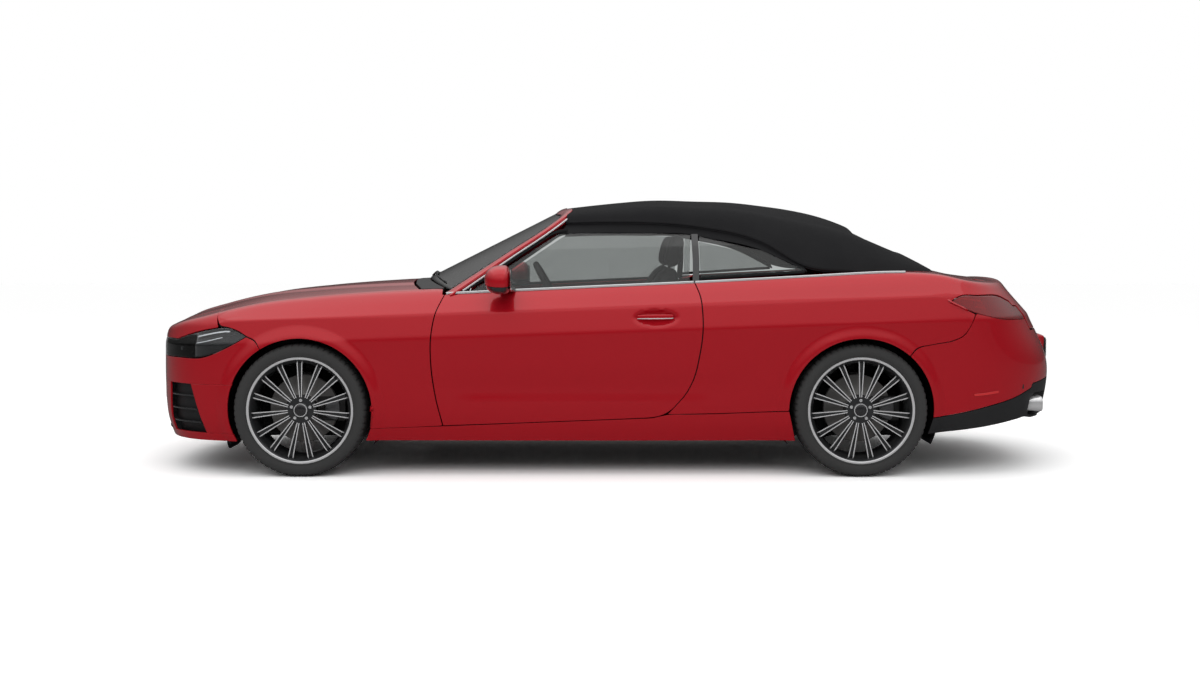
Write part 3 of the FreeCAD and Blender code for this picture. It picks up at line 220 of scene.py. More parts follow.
@dataclass(frozen=True)
class Finish:
    """A finish: its colours, its gloss and the pattern that varies over it."""

    name: str
    slot: str
    colour: tuple[float, float, float]
    second: tuple[float, float, float]
    roughness: float
    metallic: float = 0.0
    coat: float = 0.0
    pattern: Pattern = Pattern.MOULDED
    scale: float = 400.0
    depth: float = 0.0002
    glow: float = 0.0
    shine: float = 0.5

    def heights(self, shade: Shade) -> tuple[Sock, Sock]:
        """The pattern as two values between 0 and 1.

        Args:
            shade: The material being made.

        Returns:
            The share of the second colour, and the height of the surface.
        """
        spot = shade.place()
        cloudy = shade.noise(spot, 6.0)
        if self.pattern is Pattern.FLAKES:
            sparkle = shade.noise(shade.place(turn=(0.61, 0.47, 0.35)), self.scale, 2.0)
            return (sparkle - 0.35) * 1.6, shade.noise(spot, 3.0, 1.0)
        if self.pattern is Pattern.WEAVE:
            threads = shade.parts(shade.place(source="UV"))
            warp = (threads[0] * self.scale).wave()
            weft = (threads[1] * self.scale).wave()
            over = (warp * weft + 1.0) * 0.5
            return over * 0.6 + cloudy * 0.4, over
        if self.pattern is Pattern.LEATHER:
            grain = shade.cells(spot, self.scale)
            return cloudy * 0.6 + grain * 0.4, grain
        if self.pattern is Pattern.TURNED:
            lines = shade.noise(shade.place((0.0, self.scale, 0.0), "UV"), 1.0)
            return lines * 0.5 + cloudy * 0.5, lines
        if self.pattern is Pattern.BRUSHED:
            lines = shade.noise(shade.place((8.0, 300.0, 300.0)), 4.0)
            return lines, lines
        if self.pattern is Pattern.CARPET:
            pile = shade.noise(spot, self.scale, 4.0)
            return pile, pile
        fine = shade.noise(spot, self.scale, 3.0)
        return cloudy * 0.7 + fine * 0.3, fine

    def material(self) -> bpy.types.Material:
        """The material of this finish, made once."""
        made = bpy.data.materials.get(self.name)
        if made:
            return made
        shade = Shade(self.name)
        share, height = self.heights(shade)
        sockets = {
            "Base Color": shade.blend(share, self.colour, self.second),
            "Roughness": height * 0.06 + (self.roughness - 0.03),
            "Metallic": self.metallic,
            "Specular IOR Level": self.shine,
            "Coat Weight": self.coat,
            "Coat Roughness": 0.02,
        }
        if self.glow:
            sockets["Emission Color"] = sockets["Base Color"]
            sockets["Emission Strength"] = self.glow
        if self.depth:
            sockets["Normal"] = shade.bump(height, self.depth)
        return shade.close(shade.principled(sockets))


@dataclass(frozen=True)
class Glazing:
    """Clear or tinted glass: a tinted see-through layer under a mirror that grows at a slant."""

    name: str
    slot: str
    tint: tuple[float, float, float]
    gloss: float = 0.06
    body: float = 0.1
    deep: tuple[float, float, float] = (0.01, 0.012, 0.012)

    def material(self) -> bpy.types.Material:
        """The material of this glass, made once."""
        made = bpy.data.materials.get(self.name)
        if made:
            return made
        shade = Shade(self.name)
        clear = Sock(shade, shade.node("BsdfTransparent", {}, {0: (*self.tint, 1.0)}).outputs[0])
        surface = shade.principled({"Base Color": (*self.deep, 1.0), "Roughness": 0.02,
                                    "Specular IOR Level": 0.5, "Coat Weight": 1.0, "Coat Roughness": 0.01})
        mirror = Sock(shade, shade.node("BsdfGlossy", {}, {"Color": (0.95, 0.95, 0.95, 1.0),
                                                          "Roughness": 0.015}).outputs[0])
        slant = Sock(shade, shade.node("Fresnel", {}, {"IOR": 1.45}).outputs[0])
        dusty = shade.noise(shade.place(), 4.0) * 0.02
        stained = Sock(shade, shade.node("MixShader", {}, {0: self.body, 1: clear, 2: surface}).outputs[0])
        share = slant + self.gloss + dusty
        whole = shade.node("MixShader", {}, {0: share, 1: stained, 2: mirror})
        return shade.close(Sock(shade, whole.outputs[0]))


PAINT = Finish("deep_red_paint", "red_paint", (0.41, 0.003, 0.010), (0.53, 0.007, 0.018), 0.33, 0.4, 1.0,
               Pattern.FLAKES, 1300.0, 0.0, shine=0.2)
TRIM = Finish("satin_black_trim", "black_plastic", (0.012, 0.012, 0.013), (0.020, 0.020, 0.021), 0.45,
        0.0, 0.0, Pattern.MOULDED, 900.0, 0.0001, shine=0.3)
GLOSS = Finish("gloss_black_trim", "black_plastic", (0.012, 0.012, 0.013), (0.018, 0.018, 0.019), 0.16,
        0.0, 1.0, Pattern.MOULDED, 60.0, 0.0)
SEAL = Finish("rubber_seal", "black_plastic", (0.008, 0.008, 0.009), (0.013, 0.013, 0.014), 0.68, shine=0.2)
CHROME = Finish("bright_trim", "wheel_alloy", (0.78, 0.78, 0.79), (0.86, 0.86, 0.87), 0.14, 0.65, 0.0,
                Pattern.MOULDED, 30.0, 0.0)
CLOTH = Finish("black_roof_cloth", "roof_fabric", (0.008, 0.008, 0.009), (0.020, 0.020, 0.021), 0.85, 0.0,
        0.0, Pattern.WEAVE, 3500.0, 0.0003, shine=0.12)
TYRE = Finish("tyre_rubber", "tyre_rubber", (0.013, 0.013, 0.014), (0.025, 0.025, 0.026), 0.62, 0.0, 0.0,
              Pattern.MOULDED, 300.0, 0.0003, shine=0.35)
MACHINED = Finish("machined_alloy", "wheel_alloy", (0.58, 0.58, 0.59), (0.74, 0.74, 0.75), 0.32, 0.45, 0.4,
                  Pattern.BRUSHED, 400.0, 0.00004)
DARK_ALLOY = Finish("dark_painted_alloy", "wheel_alloy", (0.035, 0.036, 0.038), (0.06, 0.061, 0.064), 0.3,
        0.6, 0.6, Pattern.FLAKES, 1500.0, 0.0)
IRON = Finish("turned_iron", "disc_iron", (0.30, 0.29, 0.28), (0.44, 0.43, 0.42), 0.36, 1.0, 0.0,
              Pattern.TURNED, 900.0, 0.00006)
CALIPER = Finish("caliper_grey", "wheel_alloy", (0.20, 0.20, 0.21), (0.28, 0.28, 0.29), 0.4, 0.7)
STEEL = Finish("chassis_black", "chassis_steel", (0.020, 0.020, 0.021), (0.035, 0.034, 0.033), 0.55, 0.1)
# dull exhaust steel made darker than it is: painted shade for the shadow under the car
PIPE_IN_PAINTED_SHADE = Finish("exhaust_steel", "exhaust_steel", (0.045, 0.042, 0.040), (0.085, 0.080, 0.075), 0.5, 0.6, 0.0,
              Pattern.BRUSHED, 400.0, 0.00005)
LEATHER = Finish("black_leather", "seat_leather", (0.018, 0.017, 0.017), (0.034, 0.032, 0.031), 0.45, 0.0,
        0.0, Pattern.LEATHER, 420.0, 0.0004)
DASH = Finish("grained_dash", "dash_plastic", (0.020, 0.020, 0.021), (0.032, 0.032, 0.033), 0.55, 0.0, 0.0,
              Pattern.LEATHER, 600.0, 0.0003)
CARPET = Finish("black_carpet", "dash_plastic", (0.014, 0.014, 0.015), (0.03, 0.03, 0.031), 0.95, 0.0, 0.0,
                Pattern.CARPET, 500.0, 0.001)
TINTED = Glazing("tinted_glass", "pane_glass", (0.67, 0.685, 0.68), 0.005, 0.02)
SCREEN = Glazing("windscreen_glass", "pane_glass", (0.78, 0.80, 0.79), 0.015, 0.03)
CLEAR = Glazing("clear_lens", "lamp_lens", (0.93, 0.94, 0.95), 0.02, 0.0)
RED_LENS = Glazing("red_lens", "lamp_lens", (0.62, 0.02, 0.03), 0.0, 0.55, (0.30, 0.006, 0.01))
REFLECTOR = Finish("lamp_reflector", "lamp_lens", (0.62, 0.63, 0.66), (0.75, 0.76, 0.8), 0.14, 1.0, 0.0,
                   Pattern.MOULDED, 50.0, 0.0)
RED_MARK = Finish("red_reflector", "lamp_lens", (0.42, 0.01, 0.015), (0.55, 0.02, 0.02), 0.2, 0.0, 1.0,
                  Pattern.MOULDED, 800.0, 0.0002)
MIRROR = Finish("mirror_glass", "pane_glass", (0.85, 0.86, 0.87), (0.9, 0.9, 0.9), 0.03, 1.0, 0.0,
                Pattern.MOULDED, 10.0, 0.0)
LIGHT_GUIDE = Finish("white_light_guide", "lamp_lens", (0.82, 0.84, 0.86), (0.9, 0.91, 0.92), 0.25, 0.0, 0.6,
                     Pattern.MOULDED, 600.0, 0.0001, 0.35)
RED_LIGHT = Finish("red_light_guide", "lamp_lens", (0.85, 0.02, 0.02), (0.95, 0.05, 0.04), 0.3, 0.0, 0.4,
                   Pattern.MOULDED, 600.0, 0.0001, 0.6)
LENS_BALL = Finish("projector_lens", "lamp_lens", (0.10, 0.11, 0.13), (0.16, 0.17, 0.20), 0.06, 0.6, 1.0,
                   Pattern.MOULDED, 40.0, 0.0)
WIRE = Finish("window_wire", "pane_glass", (0.10, 0.05, 0.03), (0.16, 0.08, 0.05), 0.5, 0.4, 0.0,
              Pattern.MOULDED, 300.0, 0.0)
PLATE = Finish("blank_plate", "black_plastic", (0.72, 0.72, 0.70), (0.78, 0.78, 0.76), 0.4, 0.0, 0.3,
               Pattern.MOULDED, 200.0, 0.0001)


# ---------------------------------------------------------------- curves and grids
def through(knots: Sequence[float], values: Points, places: Array) -> Array:
    """A smooth curve through values: cubic spans whose end slopes come from the neighbours.

    Args:
        knots: Rising places of the values.
        values: One row a knot.
        places: Where the curve is wanted.

    Returns:
        The curve at those places, past the ends straight on.
    """
    at = np.asarray(knots, float)
    rows = np.asarray(values, float)
    slopes = np.gradient(rows, at, axis=0)
    here = np.asarray(places, float)
    span = np.clip(np.searchsorted(at, here, side="right") - 1, 0, len(at) - 2)
    gap = at[span + 1] - at[span]
    share = np.clip((here - at[span]) / gap, 0.0, 1.0)
    extra = np.where(here < at[0], here - at[0], np.where(here > at[-1], here - at[-1], 0.0))
    wide = (...,) + (None,) * (rows.ndim - 1)
    s, g, e = share[wide], gap[wide], extra[wide]
    first = (1 + 2 * s) * (1 - s) ** 2 * rows[span] + s * (1 - s) ** 2 * g * slopes[span]
    second = s ** 2 * (3 - 2 * s) * rows[span + 1] - s ** 2 * (1 - s) * g * slopes[span + 1]
    ends = np.where(e < 0, slopes[0], slopes[-1]) * e
    return first + second + ends


def run(points: Points, count: int, smooth: bool = True, ease: float = 1.0) -> Array:
    """Points along a line through the given ones, at powers of even shares of its length.

    The line's parameter is its length so far; the smooth line has cubic spans.

    Args:
        points: The given points.
        count: How many points are wanted.
        smooth: Whether the line has smooth spans or straight ones.
        ease: The power; above 1 the points crowd towards the start.

    Returns:
        The points, one a row.
    """
    line = np.asarray(points, float)
    steps = np.linalg.norm(np.diff(line, axis=0), axis=1)
    length = np.concatenate([[0.0], np.cumsum(steps)])
    fine = np.linspace(0.0, length[-1], 12 * count)
    if smooth and len(line) > 2:
        dense = through(length, line, fine)
    else:
        dense = np.stack([np.interp(fine, length, column) for column in line.T], axis=1)
    steps = np.linalg.norm(np.diff(dense, axis=0), axis=1)
    length = np.concatenate([[0.0], np.cumsum(steps)])
    even = length[-1] * np.linspace(0.0, 1.0, count) ** ease
    return np.stack([np.interp(even, length, column) for column in dense.T], axis=1)


def patch(low: Array, high: Array, start: Array, finish: Array) -> Array:
    """A four-sided patch: ruled from low to high, drawn to its two sides near them.

    What a side has beyond its own chord is added with the fourth power of the nearness to it.

    Args:
        low: Lower edge, from start to finish.
        high: Upper edge, from start to finish, with as many points.
        start: First side, from low to high.
        finish: Other side, from low to high, with as many points.

    Returns:
        A grid of points, a row for each point of start.
    """
    u = np.linspace(0, 1, len(low))[None, :, None]
    ruled = between(low, high, np.linspace(0, 1, len(start)))
    return (ruled + (1 - u) ** 4 * (start[:, None] - ruled[:, :1])
            + u ** 4 * (finish[:, None] - ruled[:, -1:]))


def between(first: Array, last: Array, shares: Array) -> Array:
    """Lines ruled from the first to the last.

    Args:
        first: The line at the share 0.
        last: The line at the share 1.
        shares: Where the lines are wanted.

    Returns:
        A row of points for each share.
    """
    share = shares[:, None, None]
    return (1 - share) * first[None] + share * last[None]


def quads(rows: int, columns: int, ring_rows: bool = False, ring_columns: bool = False) -> Array:
    """The faces of a grid of points, closed on itself along rows or columns if asked.

    Args:
        rows: Rows of points.
        columns: Points in a row.
        ring_rows: Whether the last row joins the first.
        ring_columns: Whether each row closes on itself.

    Returns:
        Four point numbers for each face.
    """
    down = np.arange(rows if ring_rows else rows - 1)[:, None]
    along = np.arange(columns if ring_columns else columns - 1)[None, :]
    below, beside = (down + 1) % rows, (along + 1) % columns
    corners = [down * columns + along, down * columns + beside, below * columns + beside,
               below * columns + along]
    return np.stack([np.broadcast_to(corner, (down.size, along.size)) for corner in corners],
                    axis=2).reshape(-1, 4)


@dataclass
class Shell:
    """Points and faces being gathered for one piece."""

    points: list[Array] = field(default_factory=list)
    faces: list[Array] = field(default_factory=list)
    maps: list[Array] = field(default_factory=list)

    def grid(self, points: Array, ring_rows: bool = False, ring_columns: bool = False,
             flip: bool = False) -> "Shell":
        """Add a grid of points as faces; its map is the two shares along it, in metres.

        Args:
            points: Rows and columns of points.
            ring_rows: Whether the last row joins the first.
            ring_columns: Whether each row closes on itself.
            flip: Whether the faces are turned round.

        Returns:
            This shell.
        """
        rows, columns = points.shape[:2]
        faces = quads(rows, columns, ring_rows, ring_columns)
        count = sum(len(part) for part in self.points)
        self.faces.append((faces[:, ::-1] if flip else faces) + count)
        self.points.append(points.reshape(-1, 3))
        across = np.linalg.norm(np.diff(points[rows // 2], axis=0), axis=1)
        upward = np.linalg.norm(np.diff(points[:, columns // 2], axis=0), axis=1)
        u = np.concatenate([[0.0], np.cumsum(across)])[None, :]
        v = np.concatenate([[0.0], np.cumsum(upward)])[:, None]
        self.maps.append(np.stack(np.broadcast_arrays(u, v), axis=2).reshape(-1, 2))
        return self

    def tube(self, rings: Array, flip: bool = False) -> "Shell":
        """Add closed rings joined into a tube with a cap of faces at each end.

        A cap shrinks the end ring to its middle in one step.

        Args:
            rings: Rows of points, each a closed ring.
            flip: Whether the faces are turned round.

        Returns:
            This shell.
        """
        first, last = rings[0].mean(axis=0), rings[-1].mean(axis=0)
        count = rings.shape[1]
        capped = np.concatenate([np.broadcast_to(first, (1, count, 3)), rings,
                                 np.broadcast_to(last, (1, count, 3))])
        return self.grid(capped, ring_columns=True, flip=flip)

    def closed(self, points: Array) -> "Shell":
        """Add a grid that closes on itself along its columns."""
        return self.grid(points, ring_columns=True)

    def cord(self, *course: Array) -> "Shell":
        """Add a swept section with capped ends; the arguments are those of sweep."""
        return self.tube(sweep(*course))

    def hoop(self, *course: Array) -> "Shell":
        """Add a swept section with open ends; the arguments are those of sweep."""
        return self.closed(sweep(*course))

    def mirrored(self) -> "Shell":
        """The shell on the other side of the centre plane, its faces turned back outwards."""
        return Shell([part * (1.0, -1.0, 1.0) for part in self.points],
                     [part[:, ::-1] for part in self.faces], list(self.maps))

    def plus(self, other: "Shell") -> "Shell":
        """Both shells as one.

        Args:
            other: The shell to add.

        Returns:
            A new shell.
        """
        count = sum(len(part) for part in self.points)
        return Shell(self.points + other.points, self.faces + [part + count for part in other.faces],
                     self.maps + other.maps)

    def both(self) -> "Shell":
        """The shell and its mirror image."""
        return self.plus(self.mirrored())


@dataclass
class Make:
    """How a shell becomes a piece of the car."""

    finish: Finish | Glazing
    body: str = "car_body"
    wall: float = 0.0
    edge: float = 0.0
    corner: float = 38.0
    smooth: int = 0
    merge: float = 2e-5
    outward: bool = False

    def piece(self, name: str, shell: Shell, replaces: Iterable[str] = ()) -> bpy.types.Object:
        """Make the object, dress it and let it ride on its body.

        Args:
            name: The piece's name.
            shell: Its points and faces.
            replaces: CAD nodes that it stands for.

        Returns:
            The object.
        """
        points = np.concatenate(shell.points)
        faces = np.concatenate(shell.faces)
        mesh = bpy.data.meshes.new(name)
        mesh.from_pydata(points, [], faces)
        layer = mesh.uv_layers.new(name="UVMap")
        corners = np.concatenate(shell.maps)[faces.ravel()]
        layer.data.foreach_set("uv", corners.astype(np.float32).ravel())
        made = bmesh.new()
        made.from_mesh(mesh)
        bmesh.ops.remove_doubles(made, verts=made.verts, dist=self.merge)
        bmesh.ops.dissolve_degenerate(made, dist=self.merge / 2, edges=made.edges)
        if self.outward:
            bmesh.ops.recalc_face_normals(made, faces=made.faces)
        made.to_mesh(mesh)
        made.free()
        mesh.shade_smooth()
        mesh.set_sharp_from_angle(angle=math.radians(self.corner))
        item = bpy.data.objects.new(name, mesh)
        bpy.context.scene.collection.objects.link(item)
        if self.wall:
            thick = item.modifiers.new("wall", "SOLIDIFY")
            thick.thickness = self.wall
            thick.offset = -1.0
        if self.edge:
            round_off = item.modifiers.new("edge", "BEVEL")
            round_off.width = self.edge
            round_off.segments = 2
            round_off.limit_method = "ANGLE"
            round_off.angle_limit = math.radians(48)
            round_off.harden_normals = True
        if self.smooth:
            finer = item.modifiers.new("finer", "SUBSURF")
            finer.levels = finer.render_levels = self.smooth
        mesh.materials.append(self.finish.material())
        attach(item, self.body)
        nodes = list(replaces)
        if nodes:
            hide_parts(*nodes)
        log.info("piece %s", name)
        return item


@dataclass
class Solid(Make):
    """A closed shell becomes a piece: its faces are turned outwards."""

    outward: bool = True


# ---------------------------------------------------------------- the body's form
FRONT_AXLE, REAR_AXLE, AXLE_HEIGHT = -1.580, 1.285, 0.340
# radius of the wheel openings
ARCH = 0.370
# where the outline starts to close in towards the ends, and metres of w for each radian round them
NOSE_START, TAIL_START = -1.750, 1.700
TURN = 0.9
ROUND_NOSE = math.pi / 2 * TURN
ROUND_TAIL = ROUND_NOSE + TAIL_START - NOSE_START
TAIL_MIDDLE = ROUND_TAIL + math.pi / 2 * TURN
# how finely the shoulder line is tabulated, and the rounds of each search by halving or by repeating
AROUND_POINTS = 2400
SHOULDER_HEIGHTS = (0.45, 1.2)
SHOULDER_HALVINGS = 26
LEVEL_HALVINGS = 22
PLACE_ROUNDS = 4


class End(Enum):
    """The two rounded ends: where each starts, its direction, roundness and table columns."""

    NOSE = (NOSE_START, -1.0, 2.8, 2, 4)
    TAIL = (TAIL_START, 1.0, 2.35, 3, 6)


@dataclass
class BodyForm:
    """The painted form: plan outlines at seven levels, cut by a crowned top.

    A place on it is (w, t): w runs round the left side from the middle of the nose to the
    middle of the tail, and t is the height under the shoulder line (negative) or the way
    inwards over the top from it (positive).
    """

    # height, rise, nose, tail, half width at the front, middle and rear
    levels: Table = (
        (0.165, 0.000, 2.385, 2.330, 0.840, 0.850, 0.840),
        (0.290, 0.000, 2.420, 2.392, 0.880, 0.887, 0.880),
        (0.520, 0.015, 2.425, 2.4212, 0.893, 0.905, 0.900),
        (0.745, 0.033, 2.422, 2.300, 0.895, 0.915, 0.919),
        (0.866, 0.035, 2.400, 2.185, 0.868, 0.888, 0.892),
        (0.977, 0.048, 2.340, 2.080, 0.765, 0.800, 0.798),
        (1.060, 0.050, 2.250, 2.005, 0.655, 0.670, 0.660),
    )
    # x and height of the top along the centre plane
    crest: Table = (
        (-2.470, 0.560), (-2.425, 0.690), (-2.370, 0.752), (-2.260, 0.812), (-2.080, 0.870),
        (-1.850, 0.925), (-1.550, 0.962), (-1.200, 0.989), (-0.860, 1.005), (0.380, 1.030),
        (1.000, 1.058), (1.500, 1.076), (1.700, 1.064), (1.850, 1.032), (2.000, 1.011),
        (2.200, 0.990), (2.330, 0.976), (2.490, 0.950),
    )
    # how fast the top falls with the square of y, over the bonnet and behind the doors
    crown: tuple[float, float] = (0.085, 0.050)
    # reach of the smoothing between two levels, in levels
    crease: float = 0.085
    flare: float = 0.014
    lip: float = 0.928

    def __post_init__(self) -> None:
        """Tabulate the levels and the shoulder line."""
        rows = np.array(self.levels)
        self.step = 0.005
        self.first = -0.3
        share = np.arange(self.first, 6.3 + self.step / 2, self.step)
        low = through((0, 1, 2, 3), rows[:4], share)
        high = through((4, 5, 6), rows[4:], share)
        band = rows[3] + (share[:, None] - 3) * (rows[4] - rows[3])
        table = np.where(share[:, None] < 3, low, np.where(share[:, None] > 4, high, band))
        reach = int(self.crease / self.step)
        window = np.hanning(2 * reach + 3)[1:-1]
        padded = np.pad(table, ((reach, reach), (0, 0)), mode="edge")
        self.table = np.stack([np.convolve(column, window / window.sum(), "valid")
                               for column in padded.T], axis=1)
        self.around = np.linspace(0.0, TAIL_MIDDLE, AROUND_POINTS)
        low_z, high_z = (np.full(AROUND_POINTS, z) for z in SHOULDER_HEIGHTS)
        for _ in range(SHOULDER_HALVINGS):
            middle = (low_z + high_z) / 2
            x, y = self.flank(self.around, middle, plain=True)
            above = middle > self.height(x, y)
            low_z, high_z = np.where(above, low_z, middle), np.where(above, middle, high_z)
        self.shoulder_z = low_z
        self.shoulder_x, self.shoulder_y = self.flank(self.around, low_z, plain=True)

    def rows(self, level: Array) -> Array:
        """The seven numbers of the outline at this level, straight between table rows.

        Args:
            level: Levels, whole numbers at the rows of the table.

        Returns:
            Seven numbers for each level.
        """
        place = np.clip((level - self.first) / self.step, 0, len(self.table) - 1.001)
        index = place.astype(int)
        share = (place - index)[..., None]
        return self.table[index] * (1 - share) + self.table[index + 1] * share

    def level(self, x: Array, z: Array) -> Array:
        """The level whose outline passes the height z at x, found by halving.

        Args:
            x: Places along the car.
            z: Heights.

        Returns:
            The levels.
        """
        low, high = np.full(np.shape(z), -0.3), np.full(np.shape(z), 6.3)
        for _ in range(LEVEL_HALVINGS):
            middle = (low + high) / 2
            rows = self.rows(middle)
            above = rows[..., 0] + rows[..., 1] * x > z
            low, high = np.where(above, low, middle), np.where(above, middle, high)
        return (low + high) / 2

    def half_width(self, x: Array, z: Array) -> Array:
        """Half width at (x, z): a parabola along the sides, superellipses at the ends.

        Args:
            x: Places along the car.
            z: Heights.

        Returns:
            Half widths before the pressings.
        """
        rows = self.rows(self.level(x, z))
        front, middle, rear = rows[..., 4], rows[..., 5], rows[..., 6]
        curve = ((rear - middle) / TAIL_START - (front - middle) / NOSE_START) / (TAIL_START - NOSE_START)
        slope = (front - middle) / NOSE_START - curve * NOSE_START
        straight = middle + slope * x + curve * x ** 2
        result = straight
        for end in End:
            start, sign, power, reach, width = end.value
            share = np.clip(sign * (x - start) / (rows[..., reach] - abs(start)), 0, 1)
            curved = rows[..., width] * (1 - share ** power) ** (1 / power)
            result = np.where(sign * (x - start) > 0, curved, result)
        return result

    def round_end(self, end: End, angle: Array, z: Array) -> tuple[Array, Array]:
        """x and half width on the superellipse of one end, at an angle from the centre plane.

        Args:
            end: Which end.
            angle: Angle from the centre plane.
            z: Heights.

        Returns:
            x and half width.
        """
        start, sign, power, reach, width = end.value
        x = np.full(np.shape(z), start + sign * 0.4)
        for _ in range(PLACE_ROUNDS):
            rows = self.rows(self.level(x, z))
            long, wide = rows[..., reach] - abs(start), rows[..., width]
            radius = ((np.cos(angle) / long) ** power + (np.sin(angle) / wide) ** power) ** (-1 / power)
            x = start + sign * radius * np.cos(angle)
        return x, radius * np.sin(angle)

    def features(self, x: Array, y: Array, z: Array) -> Array:
        """What the pressings add to the half width.

        A flare round each wheel rises smoothly to a flat lip; the door has a shallow oval
        bowl behind its handle; the lower door is drawn in by a long soft hollow.

        Args:
            x: Places along the car.
            y: Half widths.
            z: Heights.

        Returns:
            What is added to y.
        """
        added = np.zeros(np.shape(x))
        for axle in (FRONT_AXLE, REAR_AXLE):
            radius = np.hypot(x - axle, z - AXLE_HEIGHT)
            share = np.clip((0.440 - radius) / 0.065, 0, 1)
            added = added + share ** 2 * (3 - 2 * share) * np.clip(self.lip - y, 0, self.flare)
        bowl = np.clip(1 - ((x - 0.237) / 0.118) ** 2 - ((z - 0.814) / 0.043) ** 2, 0, 1)
        added = added - 0.016 * np.sqrt(bowl) * np.clip(bowl * 4, 0, 1)
        along = np.clip((x + 1.05) / 0.35, 0, 1) * np.clip((0.80 - x) / 0.35, 0, 1)
        hollow = np.exp(-((z - 0.455) / 0.070) ** 2)
        return added - 0.009 * hollow * along

    def flank(self, w: Array, z: Array, plain: bool = False) -> tuple[Array, Array]:
        """x and half width on the side wall at the height z.

        Args:
            w: Places round the side.
            z: Heights.
            plain: Whether the pressings are left out.

        Returns:
            x and half width.
        """
        along = NOSE_START + (w - ROUND_NOSE)
        x, y = along, self.half_width(along, z)
        for end, angle, inside in ((End.NOSE, w / TURN, w < ROUND_NOSE),
                                   (End.TAIL, (TAIL_MIDDLE - w) / TURN, w > ROUND_TAIL)):
            round_x, round_y = self.round_end(end, np.clip(angle, 0, math.pi / 2), z)
            x, y = np.where(inside, round_x, x), np.where(inside, round_y, y)
        return x, (y if plain else y + self.features(x, y, z))

    def height(self, x: Array, y: Array) -> Array:
        """Height of the crowned top: a side profile that falls with the square of y.

        Args:
            x: Places along the car.
            y: Places across it.

        Returns:
            Heights.
        """
        knots, heights = np.array(self.crest).T
        crown = np.interp(x, (-0.86, 0.38), self.crown)
        rib = np.clip(1 - np.abs(np.abs(y) - np.interp(x, (-2.3, -1.0), (0.26, 0.47))) / 0.10, 0, 1)
        swell = 0.007 * rib ** 2 * (3 - 2 * rib) * np.clip((-0.95 - x) / 0.1, 0,
                1) * np.clip((x + 2.42) / 0.2, 0, 1)
        tail_lip = 0.010 * np.exp(-((x - 2.125) / 0.035) ** 2)
        return through(knots, heights, x) - crown * y ** 2 + swell + tail_lip

    def once(self, w: Array, t: Array) -> Array:
        """The point at (w, t) before the shoulder is rounded.

        Args:
            w: Places round the side.
            t: Height under the shoulder, or way over the top.

        Returns:
            Points on the left side.
        """
        shoulder = np.interp(w, self.around, self.shoulder_z)
        x, y = self.flank(w, shoulder + np.minimum(t, 0))
        z = shoulder + np.minimum(t, 0)
        inward = np.maximum(t, 0)
        over_x, over_y = x, y - inward
        for start, inside in ((NOSE_START, w < ROUND_NOSE), (TAIL_START, w > ROUND_TAIL)):
            radius = np.maximum(np.hypot(x - start, y), 1e-6)
            share = (radius - inward) / radius
            over_x = np.where(inside, start + (x - start) * share, over_x)
            over_y = np.where(inside, y * share, over_y)
        on_top = t > 0
        over_z = self.height(over_x, over_y)
        return np.stack([np.where(on_top, over_x, x), -np.where(on_top, over_y, y),
                         np.where(on_top, over_z, z)], axis=-1)

    def place(self, wt: Array) -> Array:
        """The point at each (w, t), the shoulder rounded by a mean over five steps of t.

        Args:
            wt: Places (w, t).

        Returns:
            Points on the left side.
        """
        w, t = wt[..., 0], wt[..., 1]
        points = self.once(w, t)
        near = np.abs(t) < 0.05
        if near.any():
            total = np.zeros((near.sum(), 3))
            for step, weight in ((-0.022, 0.12), (-0.011, 0.24), (0.0, 0.28), (0.011, 0.24), (0.022, 0.12)):
                total += weight * self.once(w[near], t[near] + step)
            points[near] = total
        return points

    def side(self, points: Points, count: int = 60, smooth: bool = True) -> Array:
        """(w, t) along a line given as seen from the left: (x, z).

        Args:
            points: The line.
            count: Points wanted.
            smooth: Whether it is smoothed.

        Returns:
            Places (w, t).
        """
        x, z = run(points, count, smooth).T
        y = self.half_width(x, z)
        w = ROUND_NOSE + (x - NOSE_START)
        w = np.where(x < NOSE_START, np.arctan2(y, NOSE_START - x) * TURN, w)
        w = np.where(x > TAIL_START, TAIL_MIDDLE - np.arctan2(y, x - TAIL_START) * TURN, w)
        return np.stack([w, z - np.interp(w, self.around, self.shoulder_z)], axis=1)

    def plan_places(self, x: Array, y: Array) -> Array:
        """(w, t) of places given as seen from above: x and half width.

        Args:
            x: Places along the car.
            y: Half widths.

        Returns:
            Places (w, t).
        """
        w = ROUND_NOSE + (x - NOSE_START)
        inward = np.interp(w, self.around, self.shoulder_y) - y
        for start, sign, shift, inside in ((NOSE_START, -1, 0.0, x < NOSE_START),
                                           (TAIL_START, 1, TAIL_MIDDLE, x > TAIL_START)):
            turned = shift - sign * np.arctan2(y, np.abs(x - start)) * TURN
            w = np.where(inside, turned, w)
            rim = np.hypot(np.interp(w, self.around, self.shoulder_x) - start,
                           np.interp(w, self.around, self.shoulder_y))
            inward = np.where(inside, rim - np.hypot(x - start, y), inward)
        return np.stack([w, inward], axis=-1)

    def top(self, points: Points, count: int = 60, smooth: bool = True) -> Array:
        """(w, t) along a line given as seen from above: (x, half width)."""
        return self.plan_places(*run(points, count, smooth).T)

    def nose(self, points: Points, count: int = 60, smooth: bool = True) -> Array:
        """(w, t) along a line given as seen from the front: (half width, z)."""
        return self.end_line(End.NOSE, points, count, smooth)

    def tail(self, points: Points, count: int = 60, smooth: bool = True) -> Array:
        """(w, t) along a line given as seen from the back: (half width, z)."""
        return self.end_line(End.TAIL, points, count, smooth)

